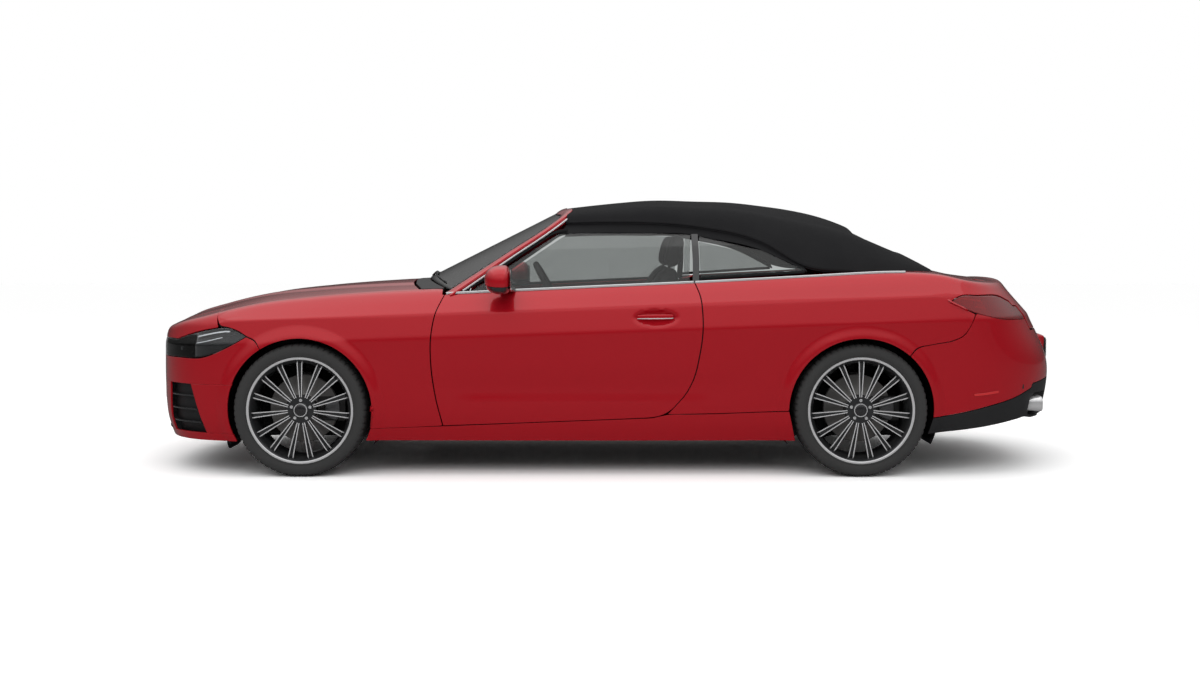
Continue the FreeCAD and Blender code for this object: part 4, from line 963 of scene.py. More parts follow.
    def end_line(self, end: End, points: Points, count: int = 60, smooth: bool = True) -> Array:
        """(w, t) along a line given as seen from the front or the back: (half width, z).

        Args:
            end: Which end.
            points: The line.
            count: Points wanted.
            smooth: Whether it is smoothed.

        Returns:
            Places (w, t).
        """
        y, z = run(points, count, smooth).T
        start, sign, power, reach, width = end.value
        x = np.full(len(y), start + sign * 0.6)
        for _ in range(PLACE_ROUNDS):
            rows = self.rows(self.level(x, z))
            share = np.clip(y / rows[..., width], 0, 1) ** power
            x = start + sign * (rows[..., reach] - abs(start)) * (1 - share) ** (1 / power)
        angle = np.arctan2(y, np.abs(x - start)) * TURN
        w = angle if end is End.NOSE else TAIL_MIDDLE - angle
        return np.stack([w, z - np.interp(w, self.around, self.shoulder_z)], axis=1)

    def tail_line(self, side: Points, end: Points, count: int = 50) -> Array:
        """(w, t) along the side and on round the tail, less what the second part repeats.

        Args:
            side: (x, z) as seen from the left.
            end: (half width, z) as seen from behind, towards the middle.
            count: Points on each part.

        Returns:
            The line.
        """
        first, last = self.side(side, count), self.tail(end, count)
        return joined(first, last[last[:, 0] > first[-1, 0] + 0.02])

    def under(self, wt: Array, depth: float) -> Array:
        """Points under a line in (w, t), moved inwards along the cross product of the two slopes.

        Args:
            wt: Places (w, t).
            depth: How far they are moved inwards.

        Returns:
            Points under the skin.
        """
        middle = self.place(wt)
        along, upward = self.place(wt + (0.002, 0.0)) - middle, self.place(wt + (0.0, 0.002)) - middle
        normal = np.cross(along, upward)
        return middle - depth * normal / np.linalg.norm(normal, axis=1, keepdims=True)

    def skin(self, low: Array, high: Array, start: Array, finish: Array, inset: float = 0.0) -> Array:
        """A patch of the form between four edges in (w, t), optionally moved inwards.

        Args:
            low: Lower edge.
            high: Upper edge.
            start: First side.
            finish: Other side.
            inset: How far it is moved inwards.

        Returns:
            The grid of points.
        """
        points = self.place(patch(low, high, start, finish))
        if inset:
            points = points - inset * outward(points)
        return points


    def strip(self, low: Array, high: Array, across: int, upward: int, inset: float = 0.0,
              smooth: bool = False) -> Array:
        """A patch between two long lines, with straight ends.

        Args:
            low: Lower line in (w, t).
            high: Upper line.
            across: Points along the lines.
            upward: Points between them.
            inset: How far it lies inside the body's surface.
            smooth: Whether the lines are smoothed.

        Returns:
            The grid of points.
        """
        low, high = run(low, across, smooth), run(high, across, smooth)
        return self.skin(low, high, np.linspace(low[0], high[0], upward),
                np.linspace(low[-1], high[-1], upward), inset)


def outward(points: Array) -> Array:
    """Unit normals of a grid of points, from the cross product of its two slopes.

    Args:
        points: The grid.

    Returns:
        A unit vector for each point.
    """
    normals = np.cross(np.gradient(points, axis=1), np.gradient(points, axis=0))
    return normals / np.maximum(np.linalg.norm(normals, axis=-1, keepdims=True), 1e-9)


def arc(axle: float, radius: float, start: float, finish: float, count: int = 24) -> Array:
    """Points (x, z) of an arc round a wheel, angles in degrees from straight back.

    Args:
        axle: X of the axle.
        radius: Its radius.
        start: First angle.
        finish: Last angle.
        count: How many points.

    Returns:
        The points.
    """
    angle = np.radians(np.linspace(start, finish, count))
    return np.stack([axle + radius * np.cos(angle), AXLE_HEIGHT + radius * np.sin(angle)], axis=1)


def onward(*lines: Array) -> Array:
    """Lines in (w, t) one after another, less the points that turn back along w.

    Args:
        lines: Lines in (w, t), in order.

    Returns:
        The whole line.
    """
    whole = np.concatenate(lines)
    ahead = whole[1:, 0] > np.maximum.accumulate(whole[:, 0])[:-1] + 0.002
    return whole[np.concatenate([[True], ahead])]


def joined(*lines: Array) -> Array:
    """Lines one after another as one, less the repeated points.

    Args:
        lines: Lines in order.

    Returns:
        The whole line.
    """
    whole = np.concatenate([np.asarray(line, float) for line in lines])
    keep = np.concatenate([[True], np.linalg.norm(np.diff(whole, axis=0), axis=1) > 1e-6])
    return whole[keep]


# ---------------------------------------------------------------- body panels
DOOR_FRONT = ((-0.849, 0.2635), (-0.887, 0.426), (-0.906, 0.583), (-0.905, 0.718), (-0.882, 0.842),
              (-0.845, 0.928))
DOOR_REAR = ((0.352, 0.384), (0.380, 0.416), (0.421, 0.489), (0.455, 0.620), (0.471, 0.739),
             (0.470, 0.850), (0.460, 0.925), (0.436, 0.989))
DOOR_LOW = ((-0.849, 0.2635), (-0.5, 0.2765), (-0.2, 0.2880), (0.0, 0.2960), (0.150, 0.3025), (0.220, 0.3070),
            (0.275, 0.3210), (0.318, 0.3480), (0.352, 0.384))
BELT = ((-0.845, 0.928), (-0.4, 0.949), (0.0, 0.968), (0.436, 0.989))
BONNET_SIDE = ((-2.229, 0.560), (-2.050, 0.640), (-1.750, 0.695), (-1.377, 0.722), (-0.986, 0.728))
BONNET_REAR = ((-0.986, 0.728), (-1.040, 0.500), (-1.066, 0.250), (-1.075, 0.0))
BONNET_FRONT = ((-2.305, 0.0), (-2.303, 0.20), (-2.298, 0.38), (-2.272, 0.485), (-2.229, 0.560))
LAMP_INNER = 0.48
BOOT_EDGE = ((1.945, 0.0), (1.945, 0.30), (1.947, 0.52), (1.965, 0.582), (2.010, 0.608), (2.045, 0.617),
             (2.075, 0.620))
BOOT_LOW = 0.745


def shifted(points: Points, dx: float = 0.0, dz: float = 0.0) -> Array:
    """The line moved along and up.

    Args:
        points: The line.
        dx: Way to the rear.
        dz: Way up.

    Returns:
        The moved line.
    """
    return np.asarray(points, float) + (dx, dz)


@dataclass
class Bodywork:
    """The painted panels, the black lower panels and the trim on them."""

    form: BodyForm
    wall: float = 0.010
    edge: float = 0.0022

    def make(self, finish: Finish | Glazing = PAINT, body: str = "car_body",
            wall: float | None = None) -> Make:
        """How this car's panels are finished.

        Args:
            finish: The finish.
            body: The body that the piece rides on.
            wall: Thickness of the panel, if not the usual one.

        Returns:
            The maker.
        """
        return Make(finish, body, self.wall if wall is None else wall, self.edge)

    def door(self) -> None:
        """The door skins: one patch between the four shut lines."""
        form = self.form
        grid = form.skin(form.side(DOOR_LOW, 150), form.side(BELT, 150),
                         form.side(DOOR_FRONT, 72), form.side(DOOR_REAR, 72))
        shell = Shell().grid(grid)
        self.make(PAINT, "left_door_body").piece("left_door_skin", shell, ["left_door"])
        self.make(PAINT, "right_door_body").piece("right_door_skin", shell.mirrored(), ["right_door"])

    def fender(self) -> None:
        """The front fenders: from the arch and the sill up to the bonnet's edge."""
        form = self.form
        low = joined(arc(FRONT_AXLE, ARCH, 121.8, -14.6, 40),
                     run(((-1.2219, 0.2467), (-1.05, 0.2530), (-0.858, 0.262)), 14))
        start = joined(form.side(((-1.775, 0.654), (-1.801, 0.697), (-1.852, 0.724), (-1.884, 0.744),
                                       (-1.949, 0.767), (-1.985, 0.775), (-2.003, 0.800)), 40),
                       form.top(((-2.012, 0.700), (-2.012, 0.655)), 8))
        high = joined(form.top(((-2.012, 0.655), (-1.75, 0.698), (-1.377, 0.725), (-1.05, 0.731)), 60),
                      form.top(((-0.975, 0.734), (-0.915, 0.737), (-0.866, 0.746)), 8),
                      form.side(((-0.853, 0.9265), (-0.850, 0.928)), 3))
        finish = form.side(shifted(DOOR_FRONT, -0.006), 76)
        start, high = run(start, 76), run(high, 110, ease=0.72)
        low = run(form.side(low, 110, False), 110, False)
        start[0], start[-1], high[0], high[-1] = low[0], high[0], high[0], finish[-1]
        low[-1] = finish[0]
        shell = Shell().grid(form.skin(low, high, start, finish)).both()
        self.make().piece("front_fender_skins", shell, ["front_fenders"])

    def quarter(self) -> None:
        """The rear quarters: round the arch and the tail lamp to the boot lid's edge."""
        form = self.form
        low = run(joined(run(((0.300, 0.322), (0.56, 0.3275), (0.917, 0.340)), 30),
                         arc(REAR_AXLE, ARCH, 180.0, 49.8, 50)), 120, False)
        low = form.side(low, 120, False)
        start = form.side(joined([(0.300, 0.322)], shifted(DOOR_REAR, 0.006)), 80)
        finish = joined(form.side(((1.524, 0.622), (1.553, 0.656), (1.65, 0.682), (1.748, 0.702),
                                        (1.797, 0.726), (1.826, 0.762), (1.858, 0.832)), 40),
                        form.side(((1.858, 0.832), (1.728, 0.892)), 16, False),
                        form.side(((1.728, 0.892), (1.752, 0.960)), 10),
                        form.top(((1.775, 0.775), (1.795, 0.702)), 10))
        high = joined(form.side(((0.442, 0.989), (0.480, 0.994)), 4),
                form.top(((0.60, 0.775), (0.80, 0.760), (1.2, 0.735), (1.5, 0.722), (1.795, 0.702)), 90))
        finish, high = run(finish, 80, False), run(high, 120, ease=1.35)
        finish[0], high[-1], high[0] = low[-1], finish[-1], start[-1]
        main = form.skin(low, high, start, finish)
        lamp_top = form.tail_line(((1.728, 0.896), (1.779, 0.927), (1.879, 0.930), (2.010, 0.925),
                (2.085, 0.895)), ((0.75, 0.878), (0.68, 0.872), (0.626, 0.868)))
        edge = form.top(((1.795, 0.702), (1.90, 0.655), (1.965, 0.600), (2.010, 0.614), (2.045, 0.622),
                         (2.070, 0.625)), 60)
        side = form.tail(((0.626, 0.868), (0.626, 0.90), (0.626, 0.93)), 24)
        side = joined(side, [edge[-1]])
        lamp_top, edge, side = run(lamp_top, 80, False), run(edge, 80), run(side, 30, False)
        tip = run(joined(form.side(((1.728, 0.896), (1.752, 0.960)), 10),
                         form.top(((1.775, 0.775), (1.795, 0.702)), 10)), 30, False)
        tip[0], tip[-1], side[0], side[-1] = lamp_top[0], edge[0], lamp_top[-1], edge[-1]
        rear = form.skin(lamp_top, edge, tip, side)
        shell = Shell().grid(main).grid(rear).both()
        self.make().piece("rear_quarter_skins", shell, ["rear_quarters"])

    def sill(self) -> None:
        """The side sills, turned in under the car."""
        form = self.form
        high = form.side(((-1.221, 0.2440), (-1.05, 0.2505), (-0.851, 0.2575), (-0.5, 0.2714),
                (-0.2, 0.2833), (0.0, 0.2912), (0.15, 0.2971), (0.223, 0.3010), (0.263, 0.3100),
                (0.30, 0.3170), (0.40, 0.3190), (0.56, 0.3225), (0.74, 0.3290), (0.916, 0.335)), 150)
        low = form.side(((-1.246, 0.183), (0.0, 0.182), (0.951, 0.183)), 150)
        start, finish = [form.side((a, b), 12, False) for a, b in
                         (((-1.246, 0.183), (-1.221, 0.2440)), ((0.951, 0.183), (0.916, 0.335)))]
        wall = form.skin(low, high, start, finish)
        under = wall[0][None] + np.array([(0, 0.11, 0.0), (0, 0.06, 0.0), (0, 0.006, 0.0)])[:, None, :]
        shell = Shell().grid(np.concatenate([under, wall])).both()
        self.make().piece("side_sill_skins", shell, ["side_sills"])

    def bonnet(self) -> None:
        """The bonnet with its two long ribs, one patch a side joined on the centre plane."""
        form = self.form
        x, y = np.moveaxis(patch(run(BONNET_SIDE, 130), run(((-2.305, 0.0), (-1.075, 0.0)), 130, False),
                                 run(BONNET_FRONT[::-1], 56), run(BONNET_REAR, 56)), -1, 0)
        points = form.place(form.plan_places(x, y))
        points[-1, :, 1] = 0.0
        shell = Shell().grid(points).both()
        self.make(body="bonnet_body").piece("bonnet_skin", shell, ["bonnet"])

    def boot_lid(self) -> None:
        """The boot lid: its top, the lip and the tail face down to the bumper."""
        form = self.form
        edge = joined(form.top(BOOT_EDGE[2:], 50),
                      form.tail(((0.620, 0.925), (0.620, 0.86), (0.616, 0.80), (0.606, BOOT_LOW)), 34))
        middle = joined(form.top(((1.945, 0.0), (2.05, 0.0), (2.15, 0.0)), 50),
                        form.tail(((0.0, 0.93), (0.0, 0.86), (0.0, 0.80), (0.0, BOOT_LOW)), 34))
        edge, middle = run(edge, 90, False), run(middle, 90, False)
        front = form.top(((1.947, 0.52), (1.945, 0.30), (1.945, 0.0)), 50)
        low = form.tail(((0.606, BOOT_LOW), (0.30, BOOT_LOW), (0.0, BOOT_LOW)), 50)
        front[0], front[-1], low[0], low[-1] = edge[0], middle[0], edge[-1], middle[-1]
        points = form.place(patch(edge, middle, front, low))
        points[-1, :, 1] = 0.0
        shell = Shell().grid(points).both()
        self.make(body="boot_lid_body").piece("boot_lid_skin", shell, ["boot_lid"])

    def front_bumper(self) -> None:
        """The front bumper: side parts from the arch to the grille, blades across the nose."""
        form = self.form
        lamp_low = joined(onward(form.nose(((LAMP_INNER, 0.601), (0.60, 0.601), (0.735, 0.602)), 30),
                form.side(((-2.246, 0.602), (-2.077, 0.608), (-1.977, 0.646), (-1.908, 0.681),
                (-1.850, 0.715)), 40)), form.side(((-1.850, 0.715), (-1.806, 0.692), (-1.779, 0.652)),
                16))
        shelf = onward(form.nose(((LAMP_INNER, 0.470), (0.66, 0.470)), 20),
                       form.side(((-2.27, 0.470), (-2.1, 0.470), (-1.926, 0.470)), 50))
        upper = form.skin(run(shelf, 110), run(lamp_low, 110),
                          form.nose(((LAMP_INNER, 0.470), (LAMP_INNER, 0.601)), 24, False),
                          form.side(arc(FRONT_AXLE, ARCH, 159.4, 122.4), 24, False))
        bottom = 0.176
        inlet_in = ((0.66, 0.470), (0.645, 0.33), (0.63, 0.215))
        inlet_out = ((-2.158, 0.470), (-2.120, 0.345), (-2.075, 0.215))
        inner = form.skin(form.nose(((0.56, 0.215), (0.63, 0.215)), 14, False),
                          form.nose(((LAMP_INNER, 0.470), (0.66, 0.470)), 14, False),
                          form.nose(((0.56, 0.215), (0.54, 0.34), (LAMP_INNER, 0.470)), 40),
                          form.nose(inlet_in[::-1], 40))
        outer = form.skin(form.side(((-2.075, 0.215), (-1.926, 0.215)), 30, False),
                          form.side(((-2.158, 0.470), (-1.926, 0.470)), 30, False),
                          form.side(inlet_out[::-1], 40),
                          form.side(arc(FRONT_AXLE, ARCH, 199.7, 159.4), 40, False))
        lip = onward(form.nose(((0.0, 0.215), (0.3, 0.215), (0.56, 0.215), (0.66, 0.215)), 40),
                     form.side(((-2.22, 0.215), (-2.0, 0.215), (-1.9275, 0.215)), 40))
        foot = onward(form.nose(((0.0, bottom), (0.3, bottom), (0.56, bottom), (0.66, bottom)), 40),
                      form.side(((-2.20, bottom), (-2.0, bottom), (-1.911, bottom)), 40))
        blade = form.skin(run(foot, 110), run(lip, 110),
                          form.nose(((0.0, bottom), (0.0, 0.215)), 8, False),
                          form.side(((-1.911, bottom), (-1.9275, 0.215)), 8, False))
        bar = form.skin(form.nose(((0.0, 0.372), (0.30, 0.372), (0.512, 0.372)), 50),
                        form.nose(((0.0, 0.440), (0.30, 0.440), (LAMP_INNER - 0.01, 0.440)), 50),
                        form.nose(((0.0, 0.372), (0.0, 0.440)), 12, False),
                        form.nose(((0.512, 0.372), (LAMP_INNER - 0.01, 0.440)), 12, False))
        shell = Shell()
        for grid in (upper, inner, outer, blade, bar, self.brow()):
            shell.grid(grid)
        self.make().piece("front_bumper_skin", shell.both(), ["front_bumper"])

    def brow(self) -> Array:
        """The strip between the grille, the lamps and the bonnet's front edge."""
        form = self.form
        low = run(onward(form.nose(((0.0, 0.692), (0.3, 0.692), (0.47, 0.697), (0.60, 0.699),
                                              (0.735, 0.701)), 60),
                         form.side(((-2.246, 0.701), (-2.091, 0.747), (-2.000, 0.764)), 30)), 100, False)
        high = run(joined(form.top(shifted(BONNET_FRONT, -0.006), 50),
                          form.top(((-2.225, 0.567), (-2.10, 0.627), (-2.018, 0.655)), 40)), 100, False)
        start = np.linspace(low[0], high[0], 24)
        finish = run(joined(form.side(((-2.000, 0.764), (-2.010, 0.800)), 8),
                            form.top(((-2.018, 0.700), (-2.018, 0.655)), 8)), 24, False)
        finish[0], finish[-1] = low[-1], high[-1]
        return form.skin(low, high, start, finish)

    def rear_bumper(self) -> None:
        """The rear bumper from the arches round the tail, with a shelf for the plate."""
        form = self.form
        low = form.tail_line(((1.653, 0.306), (1.70, 0.312), (1.930, 0.358), (2.112, 0.405), (2.20, 0.440)),
                             ((0.80, 0.45), (0.66, 0.468), (0.55, 0.477), (0.3, 0.480), (0.0, 0.480)), 60)
        high = joined(form.side(((1.528, 0.617), (1.559, 0.652), (1.65, 0.678), (1.752, 0.698),
                (1.802, 0.723), (1.832, 0.765), (1.866, 0.834)), 44),
                form.tail_line(((1.866, 0.834), (2.033, 0.8010), (2.09, 0.7990)),
                ((0.80, 0.7975), (0.632, 0.7965)), 26), form.tail(((0.632, 0.7965), (0.616, 0.737)), 6,
                False), form.tail(((0.61, 0.736), (0.3, 0.736), (0.0, 0.736)), 40))
        start = form.side(arc(REAR_AXLE, ARCH, -5.3, 48.6), 60, False)
        finish = form.tail(((0.0, 0.480), (0.0, 0.736)), 60, False)
        low, high = run(low, 150), run(high, 150, False)
        low[0], high[0], low[-1], high[-1] = start[0], start[-1], finish[0], finish[-1]
        points = form.skin(low, high, start, finish)
        y, z = points[..., 1], points[..., 2]
        pad = np.clip((0.295 - np.abs(y)) / 0.025, 0, 1) * np.clip((0.086 - np.abs(z - 0.62)) / 0.02, 0, 1)
        points[..., 0] += pad * (2.396 - points[..., 0])
        points[:, -1, 1] = 0.0
        self.make().piece("rear_bumper_skin", Shell().grid(points).both(), ["rear_bumper"])

    def diffuser(self) -> None:
        """The black lower rear panel with its upright fins and the openings of the two tips."""
        form = self.form
        high = form.tail_line(((1.653, 0.301), (1.70, 0.307), (1.930, 0.353), (2.112, 0.400), (2.20, 0.435)),
                              ((0.80, 0.445), (0.66, 0.463), (0.55, 0.472), (0.3, 0.475), (0.0, 0.475)), 60)
        low = form.tail_line(((1.630, 0.219), (1.935, 0.254), (2.13, 0.284)),
                             ((0.80, 0.288), (0.70, 0.289), (0.55, 0.289), (0.3, 0.280), (0.0, 0.278)), 60)
        points = form.strip(low, high, 220, 34, smooth=True)
        y, z = points[..., 1], points[..., 2]
        fins = np.clip(np.cos(y / 0.085 * math.pi) * 2.0, 0, 1) * np.clip((0.40 - np.abs(y)) / 0.03, 0, 1)
        recess = np.clip((0.42 - np.abs(y)) / 0.04, 0, 1) * np.clip((0.455 - z) / 0.03, 0, 1)
        points[..., 0] -= 0.030 * recess * (1 - fins)
        hole = np.clip(1 - ((np.abs(y) - 0.60) / 0.095) ** 4 - ((z - 0.350) / 0.058) ** 4, 0, 1)
        points[..., 0] -= 0.11 * np.clip(hole * 5, 0, 1)
        points[:, -1, 1] = 0.0
        self.make(TRIM).piece("diffuser_panel", Shell().grid(points).both(), ["diffuser"])

    def tonneau(self) -> None:
        """The painted cover between the roof's edge and the boot lid, and its side arms."""
        outer = run(((1.200, 0.716), (1.500, 0.706), (1.790, 0.698), (1.896, 0.640), (1.936, 0.560),
                     (1.939, 0.30), (1.939, 0.0)), 150)
        inner = run(((1.150, 0.690), (1.420, 0.640), (1.560, 0.560), (1.610, 0.40), (1.640, 0.0)), 150)
        x, y = np.moveaxis(patch(outer, inner, np.linspace(outer[0], inner[0], 40),
                                 np.linspace(outer[-1], inner[-1], 40)), -1, 0)
        points = self.form.place(self.form.plan_places(x, y))
        points[:, -1, 1] = 0.0
        self.make().piece("tonneau_skin", Shell().grid(points).both(), ["tonneau_cover"])

    def channels(self) -> None:
        """Round rubber cords behind the joints of fixed panels and the door's rear edge."""
        form = self.form
        lines = (form.side(((-1.775, 0.654), (-1.801, 0.697), (-1.852, 0.724), (-1.884, 0.744),
                (-1.949, 0.764), (-1.990, 0.772), (-2.006, 0.800)), 50),
                form.side(shifted(DOOR_REAR, 0.003), 60), form.side(((1.526, 0.620), (1.556, 0.654),
                (1.65, 0.680), (1.750, 0.700), (1.800, 0.725), (1.829, 0.763), (1.862, 0.833)), 50))
        shell = Shell()
        for wt in lines:
            shell.cord(form.under(wt, 0.020), oval(0.015, 0.015, 12, 2.0))
        Solid(SEAL).piece("panel_joint_seals", shell.both())

    def build(self) -> None:
        """Make every panel in order."""
        for step in (self.door, self.fender, self.quarter, self.sill, self.bonnet, self.boot_lid,
                     self.front_bumper, self.rear_bumper, self.diffuser, self.tonneau, self.channels):
            step()


# ---------------------------------------------------------------- sections and paths
def oval(width: float, height: float, count: int = 20, power: float = 4.0) -> Array:
    """A closed ring between an ellipse (power 2) and a rectangle (a high power).

    Args:
        width: Size along the first axis.
        height: Size along the second.
        count: Points round it.
        power: 2 for an ellipse, more for squarer corners.

    Returns:
        The ring, one point a row.
    """
    angle = np.linspace(0.0, 2 * math.pi, count, endpoint=False)
    across, upward = np.cos(angle), np.sin(angle)
    return np.stack([width / 2 * np.sign(across) * np.abs(across) ** (2 / power),
                     height / 2 * np.sign(upward) * np.abs(upward) ** (2 / power)], axis=1)


def sweep(path: Array, section: Array, up: Sequence[float] = (0.0, 0.0, 1.0),
          sizes: Array | None = None) -> Array:
    """A section carried along a path: its first number lies across the path, its second upwards.

    Args:
        path: Points in space.
        section: A ring of points.
        up: Roughly which way the section's second axis points.
        sizes: A factor on the section for each point of the path.

    Returns:
        One ring of points for each point of the path.
    """
    along = np.gradient(path, axis=0)
    along = along / np.linalg.norm(along, axis=1, keepdims=True)
    side = np.cross(along, np.asarray(up, float))
    side = side / np.linalg.norm(side, axis=1, keepdims=True)
    over = np.cross(side, along)
    scale = np.ones(len(path)) if sizes is None else np.asarray(sizes, float)
    return path[:, None] + scale[:, None, None] * (section[None, :, :1] * side[:, None]
                                                   + section[None, :, 1:] * over[:, None])


def ball(centre: Sequence[float], half: Sequence[float], power: float = 2.4, low: float = -90.0,
         high: float = 90.0, rows: int = 28, columns: int = 48) -> Array:
    """A rounded block: powers of the sines and cosines of latitude and longitude.

    Args:
        centre: Its middle.
        half: Its three half sizes.
        power: 2 for an ellipsoid, more for a box with round corners.
        low: Lowest latitude in degrees.
        high: Highest latitude in degrees.
        rows: Steps of latitude.
        columns: Steps of longitude.

    Returns:
        A grid of points closed along its rows.
    """
    up = np.radians(np.linspace(low, high, rows))[:, None]
    turn = np.linspace(0, 2 * math.pi, columns, endpoint=False)[None, :]

    def soft(value: Array) -> Array:
        """The power that squares a circle."""
        return np.sign(value) * np.abs(value) ** (2 / power)

    grid = np.stack([soft(np.cos(up)) * soft(np.cos(turn)), soft(np.cos(up)) * soft(np.sin(turn)),
                     soft(np.sin(up)) * np.ones_like(turn)], axis=-1)
    return np.asarray(centre) + grid * np.asarray(half)


def block(centre: Sequence[float], half: Sequence[float], power: float = 8.0, rows: int = 18,
          columns: int = 32) -> Array:
    """A box with rounded edges.

    Args:
        centre: Its middle.
        half: Its three half sizes.
        power: More for sharper edges.
        rows: Steps of latitude.
        columns: Steps of longitude.

    Returns:
        A grid of points closed along its rows.
    """
    return ball(centre, half, power, rows=rows, columns=columns)


def rim_of(grid: Array) -> Array:
    """The closed line round the edge of a grid."""
    return np.concatenate([grid[0], grid[1:, -1], grid[-1, -2::-1], grid[-2:0:-1, 0]])


# ---------------------------------------------------------------- wheels
@dataclass
class Wheel:
    """One wheel: a tyre, a rim with paired spokes, a disc and a caliper cover.

    Outlines are (radius, place outboard of the wheel's middle).
    """

    corner: str
    axle: float
    centre: float
    side: int
    half: float
    spokes: int = 15

    @property
    def lead(self) -> float:
        """How far the face of a rim for a wide tyre moves outboard."""
        return self.half - 0.1225

    def turned(self, profile: Points, count: int = 120, lead: float = 0.0, cut: Array | float = 0.0) -> Shell:
        """An outline turned about the axle.

        Args:
            profile: The outline, closed on itself.
            count: Steps round the axle.
            lead: How far it is moved outboard.
            cut: What is taken off the radius at each point.

        Returns:
            The turned shell.
        """
        outline = np.asarray(profile, float)
        turn = np.linspace(0, 2 * math.pi, count, endpoint=False)
        radius, outboard = outline[:, :1] - cut, outline[:, 1:]
        grid = np.stack([self.axle + radius * np.cos(turn), self.side * (self.centre + lead + outboard)
                + 0 * turn, AXLE_HEIGHT + radius * np.sin(turn)], axis=-1)
        return Shell().grid(grid, ring_rows=True, ring_columns=True, flip=self.side > 0)

    def tyre(self) -> Shell:
        """A low tyre: round shoulders, four grooves round it and short slots across the edges."""
        half, tread = self.half, []
        for place in (-0.052, -0.018, 0.018, 0.052):
            tread += [(0.340, place - 0.0055), (0.3335, place - 0.0040), (0.3335, place + 0.0040),
                      (0.340, place + 0.0055)]
        edge = [(0.2555, half - 0.034), (0.268, half - 0.024), (0.2745, half - 0.016), (0.2775, half - 0.009),
                (0.281, half - 0.0095), (0.288, half - 0.004), (0.300, half), (0.314, half - 0.0005),
                (0.3255, half - 0.006), (0.3335, half - 0.0155), (0.3380, half - 0.030),
                (0.3396, half - 0.046)]
        inner = [(radius, -place) for radius, place in edge]
        outline = np.array(inner + tread + edge[::-1] + [(0.2550, half - 0.040), (0.2550, -half + 0.040)])
        edges = (outline[:, :1] > 0.3330) & (np.abs(outline[:, 1:]) > 0.062)
        return self.turned(outline, 320, cut=0.0045 * ((np.mod(np.arange(320), 5) == 0) * edges))

    def barrel(self) -> Points:
        """The outline of the rim's barrel, from its outer flange to its inner one."""
        inner = -(self.half + self.lead - 0.020)
        return ((0.2725, 0.1015), (0.2600, 0.0900), (0.2540, 0.0820), (0.2500, 0.060), (0.2400, 0.045),
                (0.2400, -0.050), (0.2530, inner + 0.02), (0.2600, inner + 0.008), (0.2700, inner),
                (0.2640, inner - 0.001), (0.2520, inner + 0.008), (0.2440, inner + 0.022), (0.2320, -0.045),
                (0.2320, 0.035), (0.2420, 0.060), (0.2480, 0.085), (0.2590, 0.0975))

    def spoke(self, angle: float) -> tuple[Shell, Shell]:
        """One spoke: a dark web with a groove between two raised ribs, and the ribs' bright faces.

        Args:
            angle: Its direction in radians.

        Returns:
            The web and the two faces.
        """
        reach = np.linspace(0.064, 0.2535, 16)
        share = (reach - reach[0]) / (reach[-1] - reach[0])
        half = 0.0068 + 0.0080 * share ** 0.9
        rib = 0.0046 + 0.0004 * share
        front = 0.0745 + 0.0200 * share ** 0.8 - 0.012 * np.clip((share - 0.93) / 0.07, 0, 1)
        thick = 0.030 - 0.006 * share
        far, out, over = reach[:, None], math.cos(angle), math.sin(angle)

        def rings(across: Sequence[Array], depth: Sequence[Array]) -> Shell:
            """A bar of the spoke from its corners across and outboard at each station."""
            wide, deep = np.stack(across, axis=1), np.stack(depth, axis=1)
            return Shell().tube(np.stack([self.axle + far * out + wide * -over,
                                          self.side * (self.centre + self.lead + deep),
                                          AXLE_HEIGHT + far * over + wide * out], axis=-1))

        low = front - 0.007
        web = rings((-0.7 * half, -half, -half, -half + rib, -half + rib, half - rib, half - rib, half, half,
                     0.7 * half),
                    (front - thick, front - 0.5 * thick, front, front, low, low, front, front,
                     front - 0.5 * thick, front - thick))
        faces = [rings((sign * half, sign * (half - rib), sign * (half - rib), sign * half),
                       (front - 0.0004, front - 0.0004, front + 0.0007, front + 0.0007)) for sign in (-1, 1)]
        return web, faces[0].plus(faces[1])

    def bolts(self) -> Shell:
        """Five bolt heads round the hub."""
        shell, turn = Shell(), np.linspace(0, 2 * math.pi, 12, endpoint=False)
        for number in range(5):
            angle = 2 * math.pi * number / 5 + 0.3
            x, z = self.axle + 0.050 * math.cos(angle), AXLE_HEIGHT + 0.050 * math.sin(angle)
            rings = [np.stack([x + radius * np.cos(turn), np.full(12,
                    self.side * (self.centre + self.lead + place)), z + radius * np.sin(turn)], axis=1)
                    for radius, place in ((0.0085, 0.066), (0.0085, 0.079), (0.0070, 0.081),
                    (0.0040, 0.081), (0.0040, 0.077))]
            shell.tube(np.array(rings))
        return shell

    def caliper(self) -> Shell:
        """The outer half of a caliper: a bowed bar with two round pistons' bulges."""
        angle = np.radians(np.linspace(-21, 21, 26))
        path = np.stack([self.axle + 0.150 * np.cos(angle), np.full(26, self.side * (self.centre - 0.001)),
                         AXLE_HEIGHT + 0.150 * np.sin(angle)], axis=1)
        sizes = (1 - np.abs(angle / angle[-1]) ** 6) ** 0.25 * 0.9 + 0.1
        bulge = 1 + 0.35 * np.exp(-((np.abs(np.degrees(angle)) - 9.5) / 4.5) ** 2)
        rings = sweep(path, oval(0.074, 0.013, 20, 5.0), (0, 1, 0), sizes)
        middle = path[:, None]
        rings[..., 1] = middle[..., 1] + (rings[..., 1] - middle[..., 1]) * bulge[:, None]
        return Shell().tube(rings)

